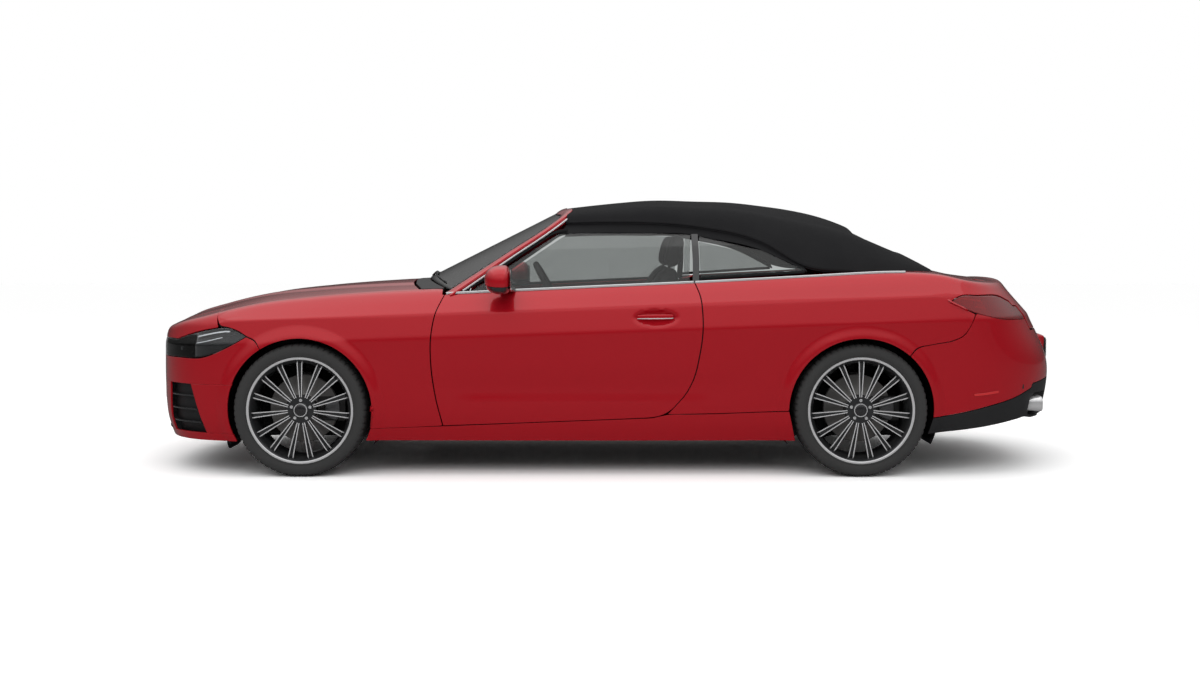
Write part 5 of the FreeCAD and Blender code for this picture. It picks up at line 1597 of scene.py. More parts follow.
    def build(self) -> None:
        """The pieces that turn with the wheel, and the caliper's cover."""
        corner, lead, body = self.corner, self.lead, f"{self.corner}_wheel"
        Solid(TYRE, body, corner=32).piece(f"{corner}_tyre_tread", self.tyre(), [f"{corner}_tyre"])
        hub = ((0.0, 0.0830), (0.028, 0.0830), (0.034, 0.0800), (0.037, 0.0770), (0.062, 0.0765),
                (0.0765, 0.0740), (0.0790, 0.0700), (0.0760, 0.0480), (0.060, 0.0340 - lead),
                (0.0, 0.0340 - lead))
        flange = ((0.2615, 0.0975), (0.2745, 0.0995), (0.2760, 0.1020), (0.2730, 0.1045), (0.2650, 0.1042),
                  (0.2610, 0.1010))
        dark = self.turned(self.barrel(), 160, lead).plus(self.turned(hub, 90, lead))
        bright = self.turned(flange, 160, lead)
        for number in range(self.spokes):
            web, faces = self.spoke(math.pi / 2 + 2 * math.pi * number / self.spokes)
            dark, bright = dark.plus(web), bright.plus(faces)
        Solid(DARK_ALLOY, body, corner=30).piece(f"{corner}_rim_body", dark, [f"{corner}_rim"])
        Solid(MACHINED, body, corner=30).piece(f"{corner}_rim_faces", bright)
        cap = ((0.0, 0.0875), (0.020, 0.0870), (0.0290, 0.0850), (0.0310, 0.0825), (0.0310, 0.0800),
               (0.0, 0.0800))
        Solid(GLOSS, body, corner=40).piece(f"{corner}_cap", self.turned(cap, 60, lead))
        ring = ((0.0305, 0.0865), (0.0340, 0.0862), (0.0350, 0.0830), (0.0335, 0.0800), (0.0305, 0.0815))
        Solid(CHROME, body, corner=40).piece(f"{corner}_cap_ring",
                self.turned(ring, 60, lead).plus(self.bolts()))
        disc = ((0.0, 0.0330), (0.066, 0.0330), (0.0715, 0.0290), (0.0725, -0.0150), (0.0760, -0.0170),
                (0.1735, -0.0170), (0.1750, -0.0190), (0.1750, -0.0260), (0.1640, -0.0270), (0.1640, -0.0350),
                (0.1750, -0.0360), (0.1750, -0.0430), (0.1735, -0.0450), (0.060, -0.0450), (0.060, -0.0050),
                (0.0, -0.0050))
        Solid(IRON, body, corner=30).piece(f"{corner}_disc_turned", self.turned(disc), [f"{corner}_disc"])
        carrier = f"{corner}_carrier" if corner.startswith("front") else "car_body"
        Solid(CALIPER, carrier, corner=40).piece(f"{corner}_caliper_cover", self.caliper())


@dataclass
class Wheels:
    """The four wheels."""

    # end, x of the axle, half the track, half the tyre's width
    axles: tuple[tuple[str, float, float, float], ...] = (
        ("front", FRONT_AXLE, 0.790, 0.1225),
        ("rear", REAR_AXLE, 0.780, 0.1375),
    )

    def build(self) -> None:
        """All four wheels and their caliper covers."""
        for end, axle, centre, half in self.axles:
            for name, side in (("left", -1), ("right", 1)):
                Wheel(f"{end}_{name}", axle, centre, side, half).build()


# ---------------------------------------------------------------- lamps
@dataclass
class Lamps:
    """Headlamps and tail lamps, each a lens over a deep housing."""

    form: BodyForm

    def head_grid(self, inset: float = 0.0) -> Array:
        """The headlamp's face between its lower and upper edges, moved inwards.

        Args:
            inset: How far it is moved inwards.

        Returns:
            The grid of points.
        """
        form = self.form
        low = onward(form.nose(((0.486, 0.6055), (0.60, 0.6055), (0.735, 0.6065)), 30),
                     form.side(((-2.246, 0.6068), (-2.077, 0.6130), (-1.977, 0.6510), (-1.908, 0.6855),
                                     (-1.852, 0.7185)), 44))
        high = onward(form.nose(((0.486, 0.6935), (0.60, 0.6955), (0.735, 0.6975)), 30),
                      form.side(((-2.246, 0.6980), (-2.091, 0.7425), (-2.0, 0.7585), (-1.945, 0.7600),
                                      (-1.852, 0.7205)), 44))
        return form.strip(low, high, 90, 22, inset)

    def tail_grid(self, inset: float = 0.0) -> Array:
        """The tail lamp's face.

        Args:
            inset: How far it is moved inwards.

        Returns:
            The grid of points.
        """
        form = self.form
        low = form.tail_line(((1.737, 0.8935), (1.865, 0.8385), (2.033, 0.8045), (2.09, 0.8025)),
                             ((0.80, 0.8010), (0.634, 0.8000)), 60)
        high = form.tail_line(((1.737, 0.8955), (1.779, 0.9215), (1.879, 0.9245), (2.010, 0.9190),
                (2.085, 0.889)), ((0.75, 0.8720), (0.68, 0.8660), (0.634, 0.8620)), 60)
        return form.strip(low, high, 90, 22, inset)

    def housing(self, face: Array, back: Array) -> Shell:
        """A bowl from the edge of the lens to a back of the same outline.

        Args:
            face: Grid of the lens.
            back: Grid of the back.

        Returns:
            The bowl.
        """
        wall = between(rim_of(face), rim_of(back), np.linspace(0.06, 1.0, 5))
        return Shell().grid(wall, ring_columns=True, flip=True).grid(back)

    def along(self, face: Array, back: Array, share: float, depth: float, start: float,
            finish: float) -> Array:
        """A line along a lamp at a share of its height and a share of its depth.

        Args:
            face: Grid of the lens.
            back: Grid of the back.
            share: Share of the height.
            depth: Share of the depth.
            start: Share of the length where it starts.
            finish: Share of the length where it ends.

        Returns:
            Fifty points.
        """
        rows, columns = face.shape[:2]
        row = share * (rows - 1)
        low, part = int(row), row - int(row)
        def level(grid: Array) -> Array:
            """A line of a grid at the lamp's height."""
            return grid[low] * (1 - part) + grid[min(low + 1, rows - 1)] * part
        whole = level(face) * (1 - depth) + level(back) * depth
        first, last = int(start * (columns - 1)), int(finish * (columns - 1))
        return run(whole[first:last + 1], 50, False)

    def head(self) -> None:
        """The headlamps: clear lens, black housing, light line and two projectors."""
        face, back = self.head_grid(0.0012), self.head_grid(0.052)
        lens = Shell().grid(face)
        Make(CLEAR, wall=0.0025).piece("headlamp_lenses", lens.both(), ["headlamps"])
        Make(GLOSS, wall=0.002).piece("headlamp_housings", self.housing(face, back).both())
        bars = Shell()
        for share, depth, start, finish, thick in ((0.86, 0.30, 0.04, 0.86, 0.0075),
                (0.62, 0.42, 0.30, 0.80, 0.0045)):
            bars.cord(self.along(face, back, share, depth, start, finish),
                                                oval(thick * 1.6, thick, 12))
        Solid(LIGHT_GUIDE).piece("headlamp_light_lines", bars.both())
        glass, rings = Shell(), Shell()
        for share, height in ((0.24, 0.45), (0.42, 0.45)):
            spot = self.along(face, back, height, 0.62, share, share + 0.05)[0]
            glass.closed(ball(spot, (0.022, 0.026, 0.026), 2.0, rows=16, columns=28))
            turn = np.linspace(0, 2 * math.pi, 40)
            ring = np.stack([spot[0] - 0.004 + 0 * turn, spot[1] + 0.031 * np.cos(turn),
                             spot[2] + 0.031 * np.sin(turn)], axis=1)
            rings.hoop(ring, oval(0.012, 0.004, 10), (1, 0, 0))
        Solid(LENS_BALL).piece("headlamp_projectors", glass.both())
        Solid(REFLECTOR).piece("headlamp_bezels", rings.both())

    def tail(self) -> None:
        """The tail lamps: smoked red lens over two light lines."""
        face, back = self.tail_grid(0.0012), self.tail_grid(0.045)
        Make(RED_LENS, wall=0.0025).piece("tail_lamp_lenses", Shell().grid(face).both(), ["tail_lamps"])
        Make(GLOSS, wall=0.002).piece("tail_lamp_housings", self.housing(face, back).both())
        bars = Shell()
        for share, depth, start, finish in ((0.80, 0.25, 0.10, 0.97), (0.45, 0.30, 0.28, 0.97),
                (0.16, 0.35, 0.45, 0.97)):
            bars.cord(self.along(face, back, share, depth, start, finish),
                                                oval(0.010, 0.008, 12))
        Solid(RED_LIGHT).piece("tail_lamp_light_lines", bars.both())

    def marks(self) -> None:
        """Red side reflectors on the rear bumper."""
        form = self.form
        path = form.place(form.side(((1.862, 0.418), (1.93, 0.424), (1.995, 0.432)), 24))
        path = path + 0.002 * np.array([0.1, -1.0, 0.0])
        Solid(RED_MARK).piece("rear_side_reflectors",
                                           Shell().cord(path, oval(0.006, 0.013, 12)).both())

    def build(self) -> None:
        """Every lamp."""
        self.head()
        self.tail()
        self.marks()


# ---------------------------------------------------------------- screen, windows and roof
@dataclass
class Glass:
    """The windscreen with its frame, the side windows' seals and the bright strips."""

    form: BodyForm

    def screen(self, rise: Array, share: Array, lift: Array | float = 0.0) -> Array:
        """A point of the windscreen: an arc across it that bows forward in the middle.

        Args:
            rise: 0 at the cowl and 1 at the roof.
            share: -1 at the left edge, 1 at the right.
            lift: Distance outwards from the glass.

        Returns:
            Points in space.
        """
        rise, share = np.broadcast_arrays(np.asarray(rise, float), np.asarray(share, float))
        foot, head = np.array((-1.000, 1.004)), np.array((-0.285, 1.362))
        foot_side, head_side = np.array((-0.815, 0.940)), np.array((-0.232, 1.330))
        r, s = rise[..., None], share[..., None]
        centre = foot + (head - foot) * r
        beside = foot_side + (head_side - foot_side) * r
        plan = centre + (beside - centre) * s ** 2
        half = 0.770 + (0.575 - 0.770) * rise
        normal = np.array((-0.449, 0.0, 0.893))
        slope = np.stack([-0.40 * np.ones_like(share), share * 0.42, 0.80 * np.ones_like(share)], axis=-1)
        slope = slope / np.linalg.norm(slope, axis=-1, keepdims=True)
        lifted = np.broadcast_to(np.asarray(lift, float), rise.shape)[..., None]
        return np.stack([plan[..., 0], share * half, plan[..., 1]],
                axis=-1) + lifted * (0.6 * normal + 0.4 * slope)

    def pane(self) -> None:
        """The windscreen and its black border."""
        rise, share = np.meshgrid(np.linspace(0.008, 0.985, 40), np.linspace(-0.958, 0.958, 90),
                indexing="ij")
        Make(SCREEN, wall=0.005).piece("windscreen_glass", Shell().grid(self.screen(rise, share, -0.001)),
                                       ["windscreen"])
        outer = self.border(0.010, 0.983, 0.957)
        inner = self.border(0.065, 0.945, 0.918)
        ring = between(outer, inner, np.linspace(0, 1, 4))
        Make(GLOSS, wall=0.0008).piece("windscreen_border",
                                       Shell().grid(self.screen(ring[..., 0], ring[..., 1], -0.0068),
                                                    ring_columns=True, flip=True))

    def border(self, low: float, high: float, reach: float) -> Array:
        """A closed line with rounded corners in the screen's own (rise, share).

        Args:
            low: Lowest rise.
            high: Highest rise.
            reach: Greatest share to either side.

        Returns:
            The line.
        """
        ring = oval(1.0, 1.0, 160, 14.0)
        return np.stack([(low + high) / 2 + ring[:, 1] * (high - low), ring[:, 0] * 2 * reach], axis=1)

    def frame_lines(self) -> tuple[Array, Array]:
        """Inner and outer edge of the screen's frame, from the left foot to the middle of the header."""
        inner = run(((-0.03, -0.962), (0.5, -0.962), (0.90, -0.956), (0.955, -0.925), (0.980, -0.86),
                     (0.985, -0.5), (0.985, 0.0)), 110)
        outer = run(((-0.03, -1.045), (0.5, -1.045), (0.94, -1.043), (1.000, -1.02), (1.050, -0.95),
                     (1.072, -0.5), (1.076, 0.0)), 110)
        return inner, outer

    def frame(self) -> None:
        """The painted frame: two pillars and the header in one curved band."""
        inner, outer = self.frame_lines()
        steps = np.linspace(0, 1, 7)
        band = between(outer, inner, steps)
        bow = 0.004 + 0.006 * np.sin(math.pi * steps[:, None]) * np.ones(110)
        points = self.screen(band[..., 0], band[..., 1], bow)
        points[:, -1, 1] = 0.0
        Make(PAINT, wall=0.034, edge=0.004).piece("screen_frame", Shell().grid(points).both(),
                ["windscreen_frame"])
        edge = self.screen(outer[5:78, 0], outer[5:78, 1] * 1.004, -0.012)
        Solid(CHROME).piece("pillar_bright_strips",
                                         Shell().cord(edge, oval(0.011, 0.009, 14)).both())
        gasket = self.screen(inner[:, 0], inner[:, 1], 0.001)
        gasket[-1, 1] = 0.0
        Solid(SEAL).piece("windscreen_gasket",
                                       Shell().hoop(gasket, oval(0.010, 0.006, 10)).both())

    def wall(self, points: Points, count: int = 60, smooth: bool = True, out: float = 0.0) -> Array:
        """A line (x, z) laid on the slanted plane of the side windows.

        Args:
            points: The line.
            count: Points wanted.
            smooth: Whether it is smoothed.
            out: How far outside the plane it lies.

        Returns:
            Points on the left side.
        """
        x, z = run(points, count, smooth).T
        return np.stack([x, -(0.790 - 0.557 * (z - 0.977 - 0.048 * x)) - out, z], axis=1)

    def seals(self) -> None:
        """Rubber round the side windows, and the dark rail under the roof's edge."""
        door = Shell().cord(self.wall(((-0.79, 0.934), (-0.3, 0.957), (0.428, 0.992)), 60, out=-0.002),
                            oval(0.010, 0.014, 12))
        Make(SEAL, "left_door_body").piece("left_door_glass_seal", door)
        Make(SEAL, "right_door_body").piece("right_door_glass_seal", door.mirrored())
        front = self.wall(((-0.790, 0.925), (-0.655, 1.006), (-0.510, 1.104), (-0.362, 1.203),
                (-0.292, 1.247), (-0.22, 1.262)), 60, out=-0.004)
        Solid(SEAL).piece("pillar_seals", Shell().cord(front, oval(0.016, 0.016, 12)).both())
        glass_top = ((-0.262, 1.243), (-0.122, 1.247), (0.200, 1.246), (0.424, 1.239), (0.468, 1.230),
                (0.793, 1.157), (0.93, 1.093), (1.02, 1.049))
        low = self.wall(glass_top, 110, out=-0.003)
        roof = np.array([(-0.212, 0.590, 1.296), (0.05, 0.618, 1.300), (0.30, 0.632, 1.292),
                (0.48, 0.645, 1.272), (0.79, 0.690, 1.196), (1.0, 0.745, 1.075)])
        high_x = np.clip(low[:, 0], -0.215, 1.0)
        high = np.stack([high_x, -through(roof[:, 0], roof[:, 1], high_x),
                through(roof[:, 0], roof[:, 2], high_x)], axis=1) + (0, 0.010, 0.004)
        grid = between(low, high, np.linspace(0, 1, 6))
        Make(SEAL, wall=0.010, edge=0.002).piece("roof_side_rails", Shell().grid(grid).both())
        post = np.stack([self.wall(((x, 0.985), (x + 0.004, 1.10), (x, 1.242)), 24, out=0.0015)
                         for x in (0.428, 0.438, 0.450, 0.462)])
        Make(GLOSS, wall=0.008, edge=0.001).piece("pillar_covers", Shell().grid(post, flip=True).both())
        rear_low = self.wall(((0.462, 1.011), (0.75, 1.030), (1.005, 1.046)), 40, out=-0.001)
        Solid(SEAL).piece("quarter_window_seals",
                                       Shell().cord(rear_low, oval(0.010, 0.016, 12)).both())

    def belt(self) -> None:
        """The bright strip along the belt: one length on each door, one on each quarter."""
        form = self.form
        section = oval(0.008, 0.013, 16, 3.0)
        door = form.place(form.side(((-0.838, 0.9315), (-0.4, 0.952), (0.0, 0.9715), (0.432, 0.9915)), 80))
        strip = Shell().cord(door + (0, -0.001, 0.004), section)
        Solid(CHROME, "left_door_body").piece("left_belt_strip", strip)
        Solid(CHROME, "right_door_body").piece("right_belt_strip", strip.mirrored())
        rear = form.place(form.side(((0.441, 0.9925), (0.8, 1.012), (1.2, 1.035), (1.520, 1.0525)), 70))
        Solid(CHROME).piece("quarter_belt_strips",
                                         Shell().cord(rear + (0, -0.001, 0.003), section).both())

    def wipers(self) -> None:
        """Two wiper arms with their blades at the foot of the screen."""
        shell = Shell()
        for start, finish in ((-0.78, -0.02), (-0.10, 0.60)):
            share = np.linspace(start, finish, 40)
            blade = self.screen(0.046 + 0.02 * (share - start), share, 0.006)
            shell.cord(blade, oval(0.007, 0.014, 10, 3.0), (-0.449, 0.0, 0.893))
            arm = run((self.screen(0.012, finish + 0.05, 0.009), blade[34] + (-0.006, 0, 0.007),
                        blade[20] + (-0.001, 0, 0.006)), 24)
            sizes = np.linspace(1.25, 0.75, 24)
            shell.cord(arm, oval(0.013, 0.008, 12, 3.0), (-0.449, 0.0, 0.893), sizes)
        Solid(TRIM).piece("wipers", shell)

    def build(self) -> None:
        """Everything round the glass."""
        self.pane()
        self.frame()
        self.seals()
        self.belt()
        self.wipers()
        dress(("left_door_glass", "right_door_glass"), TINTED)
        dress(("quarter_windows",), TINTED)


def dress(nodes: Iterable[str], finish: Finish | Glazing) -> None:
    """Give CAD nodes that stay a finish.

    Args:
        nodes: Names of the nodes.
        finish: Their finish.
    """
    for node in nodes:
        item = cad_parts[node]
        item.data.materials.clear()
        item.data.materials.append(finish.material())


@dataclass
class Roof:
    """The fabric roof in one sheet with its rear window, bindings and seams."""

    # x, height in the middle, half width and height at the shoulder, and the same at the lower edge
    sections: Table = (
        (-0.212, 1.380, 0.520, 1.345, 0.590, 1.296), (0.050, 1.411, 0.540, 1.365, 0.618, 1.300),
        (0.300, 1.424, 0.550, 1.372, 0.632, 1.292), (0.480, 1.420, 0.555, 1.362, 0.645, 1.272),
        (0.790, 1.402, 0.570, 1.325, 0.690, 1.196), (1.000, 1.372, 0.590, 1.270, 0.745, 1.075),
        (1.250, 1.308, 0.600, 1.215, 0.752, 1.040), (1.480, 1.196, 0.590, 1.130, 0.735, 1.030),
        (1.640, 1.110, 0.560, 1.075, 0.700, 1.020), (1.745, 1.040, 0.520, 1.025, 0.640, 1.000),
    )
    front: float = -0.222
    rear: float = 1.690
    # front, rear and half width of the rear window
    window: tuple[float, float, float] = (1.300, 1.585, 0.56)
    cloth: float = 0.012

    def surface(self, x: Array, share: Array) -> Array:
        """A point of the roof: six knots across each section, smooth along and across.

        Args:
            x: Place along the car.
            share: 0 on the centre plane and 1 at the lower edge.

        Returns:
            Points on the left side.
        """
        table = np.array(self.sections)
        crown, y, z, edge_y, edge_z = np.moveaxis(through(table[:, 0], table[:, 1:], x), -1, 0)
        drop = crown - z
        knots = np.array((0.0, 0.30, 0.55, 0.72, 0.86, 1.0))
        wide = np.stack([0 * y, 0.45 * y, 0.80 * y, y, (y + edge_y) / 2 + 0.014, edge_y], axis=0)
        high = np.stack([crown, crown - 0.20 * drop, crown - 0.62 * drop, z, (z + edge_z) / 2 + 0.007,
                edge_z], axis=0)
        slope_w = np.gradient(wide, knots, axis=0)
        slope_h = np.gradient(high, knots, axis=0)
        slope_h[0] = 0.0
        span = np.clip(np.searchsorted(knots, share, side="right") - 1, 0, 4)
        gap = knots[span + 1] - knots[span]
        s = (share - knots[span]) / gap
        index = tuple(np.indices(span.shape))

        def cubic(rows: Array, slopes: Array) -> Array:
            """The smooth curve through the knots."""
            return ((1 + 2 * s) * (1 - s) ** 2 * rows[(span,) + index]
                    + s * (1 - s) ** 2 * gap * slopes[(span,) + index]
                    + s ** 2 * (3 - 2 * s) * rows[(span + 1,) + index]
                    - s ** 2 * (1 - s) * gap * slopes[(span + 1,) + index])

        sag = 0.0012 * (1 - np.cos(2 * math.pi * (x + 0.19) / 0.42)) * np.clip((1.0 - share) * 3, 0, 1)
        return np.stack([x, -cubic(wide, slope_w), cubic(high, slope_h) - sag], axis=-1)

    def grid(self, start: float, finish: float, low: float, high: float, rows: int, columns: int) -> Array:
        """A rectangle of the roof.

        Args:
            start: First x.
            finish: Last x.
            low: First share.
            high: Last share.
            rows: Points along the car.
            columns: Points across it.

        Returns:
            The grid of points.
        """
        x, share = np.meshgrid(np.linspace(start, finish, rows), np.linspace(low, high, columns),
                indexing="ij")
        return self.surface(x, share)

    def fabric(self) -> None:
        """The cloth: one sheet with an opening for the rear window."""
        x0, x1, wide = self.window
        split = 34
        parts = [self.grid(self.front, x0, 0, wide, 90, split), self.grid(self.front, x0, wide, 1, 90, 26),
                 self.grid(x0, x1, wide, 1, 22, 26), self.grid(x1, self.rear, 0, wide, 10, split),
                 self.grid(x1, self.rear, wide, 1, 10, 26)]
        shell = Shell()
        for part in parts:
            shell.grid(part, flip=True)
        item = Make(CLOTH, wall=self.cloth, merge=1e-4, corner=60).piece("roof_fabric", shell.both(),
                ["soft_top"])
        across = np.linalg.norm(np.diff(self.grid(0.3, 0.31, 0, 1, 2, 90)[0], axis=0), axis=1).sum() * 2
        ends = self.grid(self.front, self.rear, 0, 0.01, 120, 2)[:, 0]

    def pane(self) -> None:
        """The heated rear window and its bonded border."""
        x0, x1, wide = self.window
        pane = self.grid(x0 - 0.012, x1 + 0.012, 0, wide + 0.02, 30, 40) - (0, 0, 0.008)
        Make(TINTED, wall=0.004).piece("rear_window_pane", Shell().grid(pane, flip=True).both(),
                ["rear_window"])
        edge = np.concatenate([self.surface(np.full(30, x0), np.linspace(0, wide, 30)),
                               self.surface(np.linspace(x0, x1, 26)[1:], np.full(25, wide)),
                               self.surface(np.full(29, x1), np.linspace(wide, 0, 30)[1:])])
        ring = sweep(edge + (0, 0, -0.004), oval(0.016, 0.006, 12))
        Solid(SEAL).piece("rear_window_border", Shell().closed(ring).both())
        wires = Shell()
        for x in np.linspace(x0 + 0.03, x1 - 0.03, 9):
            path = self.surface(np.full(24, x), np.linspace(0, wide - 0.03, 24)) - (0, 0, 0.0135)
            wires.hoop(path, oval(0.0012, 0.0008, 6))
        Solid(WIRE).piece("rear_window_wires", wires.both())

    def bindings(self) -> None:
        """The piping along the lower edges, the header's binding and the sewn seams."""
        x = np.linspace(self.front, self.rear, 120)
        edge = self.surface(x, np.ones(120)) + (0, 0.006, 0.0)
        shell = Shell().cord(edge, oval(0.014, 0.010, 12))
        header = self.surface(np.full(60, self.front), np.linspace(0, 1, 60)) + (0, 0, -0.004)
        shell.hoop(header, oval(0.012, 0.012, 12))
        Solid(CLOTH).piece("roof_bindings", shell.both())
        path = self.surface(np.linspace(self.front + 0.01, self.rear, 110), np.full(110, 0.60)) + (0, 0,
                0.0004)
        seams = Shell().cord(path, oval(0.016, 0.0024, 10))
        cross = self.surface(np.full(60, 1.02), np.linspace(0, 1.0, 60)) + (0, 0, 0.0004)
        seams.hoop(cross, oval(0.016, 0.0024, 10))
        Solid(CLOTH).piece("roof_seams", seams.both())

    def build(self) -> None:
        """The whole roof."""
        self.fabric()
        self.pane()
        self.bindings()


# ---------------------------------------------------------------- trim on the body
@dataclass
class Trim:
    """Grille and inlets, mirrors, handles, exhaust tips and blank plates."""

    form: BodyForm

    def mesh_panel(self, edges: tuple[Array, Array, Array, Array], inset: float, pitch: float,
                   rise: float) -> Array:
        """A recessed panel with a field of small studs: the product of two cosines.

        Args:
            edges: The panel's four edges as (w, t) lines.
            inset: How far behind the body's surface it lies.
            pitch: Distance between studs.
            rise: Their height.

        Returns:
            The grid of points.
        """
        points = self.form.skin(*edges, inset)
        y, z = points[..., 1], points[..., 2]
        studs = np.cos(y / pitch * math.pi) * np.cos(z / pitch * math.pi)
        return points + (outward(points) * (rise * np.clip(studs, -0.2, 1))[..., None])

    def nose_lines(self, low: Points, high: Points, across: int, upward: int) -> tuple[Array, Array,
            Array, Array]:
        """Four edges of a panel of the nose given by its lower and upper edge (half width, z).

        Args:
            low: Lower edge.
            high: Upper edge.
            across: Points along the edges.
            upward: Points up the sides.

        Returns:
            The four edges in (w, t).
        """
        form = self.form
        bottom, top = form.nose(low, across, False), form.nose(high, across, False)
        return bottom, top, np.linspace(bottom[0], top[0], upward), np.linspace(bottom[-1], top[-1], upward)

    def tray(self, edges: tuple[Array, Array, Array, Array], back: Array, whole: bool) -> Shell:
        """A recessed panel with a wall from its edge out to the back of the skin.

        Args:
            edges: The panel's four edges as (w, t) lines.
            back: The recessed panel.
            whole: Whether the wall runs round all four sides, or leaves out the centre plane.

        Returns:
            The panel and its wall.
        """
        front = self.form.skin(*edges, 0.0105)
        last = None if whole else -(len(back) - 2)
        lines = np.stack([rim_of(front)[:last], rim_of(back)[:last]])
        return Shell().grid(back).grid(lines, ring_columns=whole, flip=True)

    def grille(self) -> None:
        """The grille: a studded panel behind two bright blades and a bright edge."""
        form = self.form
        shell = Shell()
        for low, high, across, upward, rise in (
                (((0.0, 0.430), (0.500, 0.430)), ((0.0, 0.704), (0.500, 0.704)), 180, 96, 0.008),
                (((0.0, 0.190), (0.625, 0.190)), ((0.0, 0.386), (0.580, 0.386)), 210, 66, 0.006)):
            edges = self.nose_lines(low, high, across, upward)
            shell = shell.plus(self.tray(edges, self.mesh_panel(edges, 0.036, 0.024, rise), False))
        Make(TRIM).piece("grille_panels", shell.both(), ["grille"])
        blades = Shell()
        for height in (0.548, 0.576):
            path = form.place(form.nose(((0.0, height), (0.25, height), (0.474, height)), 60))
            blades.hoop(path + (0.010, 0, 0), oval(0.016, 0.007, 12))
        edge = joined(form.nose(((0.0, 0.446), (0.25, 0.446), (0.462, 0.447)), 40),
                      form.nose(((0.472, 0.456), (0.474, 0.56), (0.466, 0.678)), 24),
                      form.nose(((0.455, 0.688), (0.25, 0.686), (0.0, 0.686)), 40))
        ring = sweep(form.place(run(edge, 120)) + (0.004, 0, 0), oval(0.008, 0.008, 12), (1, 0, 0))
        blades.closed(ring)
        Solid(CHROME).piece("grille_bright_parts", blades.both())
        lip = form.place(form.nose(((0.0, 0.222), (0.3, 0.222), (0.556, 0.222)), 60)) + (0.012, 0, 0)
        Solid(GLOSS).piece("lower_inlet_blade", Shell().hoop(lip, oval(0.030, 0.010, 12)).both())

    def side_inlets(self) -> None:
        """The black inlets at the corners of the nose, each with three fins."""
        form = self.form
        inner = form.nose(((0.595, 0.195), (0.615, 0.33), (0.630, 0.488)), 30)
        outer = form.side(((-2.045, 0.195), (-2.090, 0.335), (-2.130, 0.488)), 30)
        bottom = onward(form.nose(((0.595, 0.195), (0.68, 0.195)), 10),
                        form.side(((-2.21, 0.195), (-2.045, 0.195)), 16))
        top = onward(form.nose(((0.630, 0.488), (0.70, 0.488)), 10),
                     form.side(((-2.27, 0.488), (-2.130, 0.488)), 16))
        bottom, top = run(bottom, 40, False), run(top, 40, False)
        back = form.skin(bottom, top, inner, outer, 0.034)
        front = form.skin(bottom, top, inner, outer, 0.004)
        Make(TRIM).piece("corner_inlets", self.tray((bottom, top, inner, outer), back, True).both())
        fins = Shell()
        for row in (7, 14, 21):
            path = (front[row] * 0.45 + back[row] * 0.55)[5:-5]
            fins.cord(path, oval(0.026, 0.010, 12))
        Solid(GLOSS).piece("corner_inlet_fins", fins.both())

    def mirror(self, name: str, side: int) -> None:
        """One door mirror: painted cap, black lower half and foot, and its glass.

        The housing is a rounded block whose rear side is pushed flat.

        Args:
            name: left or right.
            side: -1 for the left, 1 for the right.
        """
        body = f"{name}_door_body"
        centre, half = np.array((-0.535, side * 0.935, 1.008)), (0.094, 0.110, 0.074)

        def shaped(low: float, high: float, rows: int) -> Array:
            """A part of the housing between two latitudes."""
            grid = ball((0, 0, 0), half, 2.5, low, high, rows, 60)
            grid[..., 0] = np.where(grid[..., 0] > 0, grid[..., 0] * 0.42, grid[..., 0])
            grid[..., 2] = grid[..., 2] - 0.012 * (grid[..., 1] * side / 0.11) ** 2
            return grid + centre

        Solid(PAINT, body).piece(f"{name}_mirror_cap", Shell().closed(shaped(-14, 90, 30)),
                                              [f"{name}_mirror"])
        lower = Shell().closed(shaped(-90, -15, 22))
        foot = run(((-0.520, side * 0.790, 0.952), (-0.528, side * 0.845, 0.957),
                (-0.532, side * 0.900, 0.972)), 20)
        lower.cord(foot, oval(0.070, 0.026, 20, 3.0), (0, 0, 1), np.linspace(1.2, 0.8, 20))
        Solid(GLOSS, body).piece(f"{name}_mirror_base", lower)
        pane = ball((0, 0, 0), (0.003, 0.092, 0.056), 2.8, rows=24, columns=40) + centre + (0.0385, 0, -0.002)
        Solid(MIRROR, body).piece(f"{name}_mirror_glass", Shell().closed(pane))

    def handle(self) -> None:
        """The door handles: a bowed painted bar with a bright insert, standing off its bowl."""
        x = np.linspace(0.140, 0.334, 50)
        z = 0.818 + 0.012 * (x - 0.14)
        y = self.form.half_width(x, z)
        off = 0.026 * np.sin(math.pi * (x - 0.140) / 0.194) ** 0.35 - 0.004
        sizes = 0.55 + 0.45 * np.sin(math.pi * (x - 0.140) / 0.194) ** 0.4
        path = np.stack([x, -(y + off - 0.012), z], axis=1)
        bar = Shell().cord(path, oval(0.013, 0.026, 20, 3.0), (0, 0, 1), sizes)
        edge = Shell().cord(path + (0, -0.0055, -0.008), oval(0.004, 0.005, 12), (0, 0, 1), sizes)
        for name, parts in (("left", (bar, edge)), ("right", (bar.mirrored(), edge.mirrored()))):
            Solid(PAINT, f"{name}_door_body").piece(f"{name}_door_handle", parts[0])
            Solid(CHROME, f"{name}_door_body").piece(f"{name}_door_handle_insert", parts[1])

    def tips(self) -> None:
        """Two bright exhaust tips, wider than high, and the system that they end."""
        def sleeve(stations: Points) -> Shell:
            """A tapered sleeve through stations of (x, size)."""
            rings = [np.stack([np.full(40, x) - 0.03 * ring[:, 1], -0.600 + ring[:, 0],
                    0.350 + ring[:, 1]], axis=1) for x, ring in ((x,
                    oval(0.150 * size, 0.082 * size, 40, 3.2)) for x, size in stations)]
            return Shell().closed(np.array(rings))

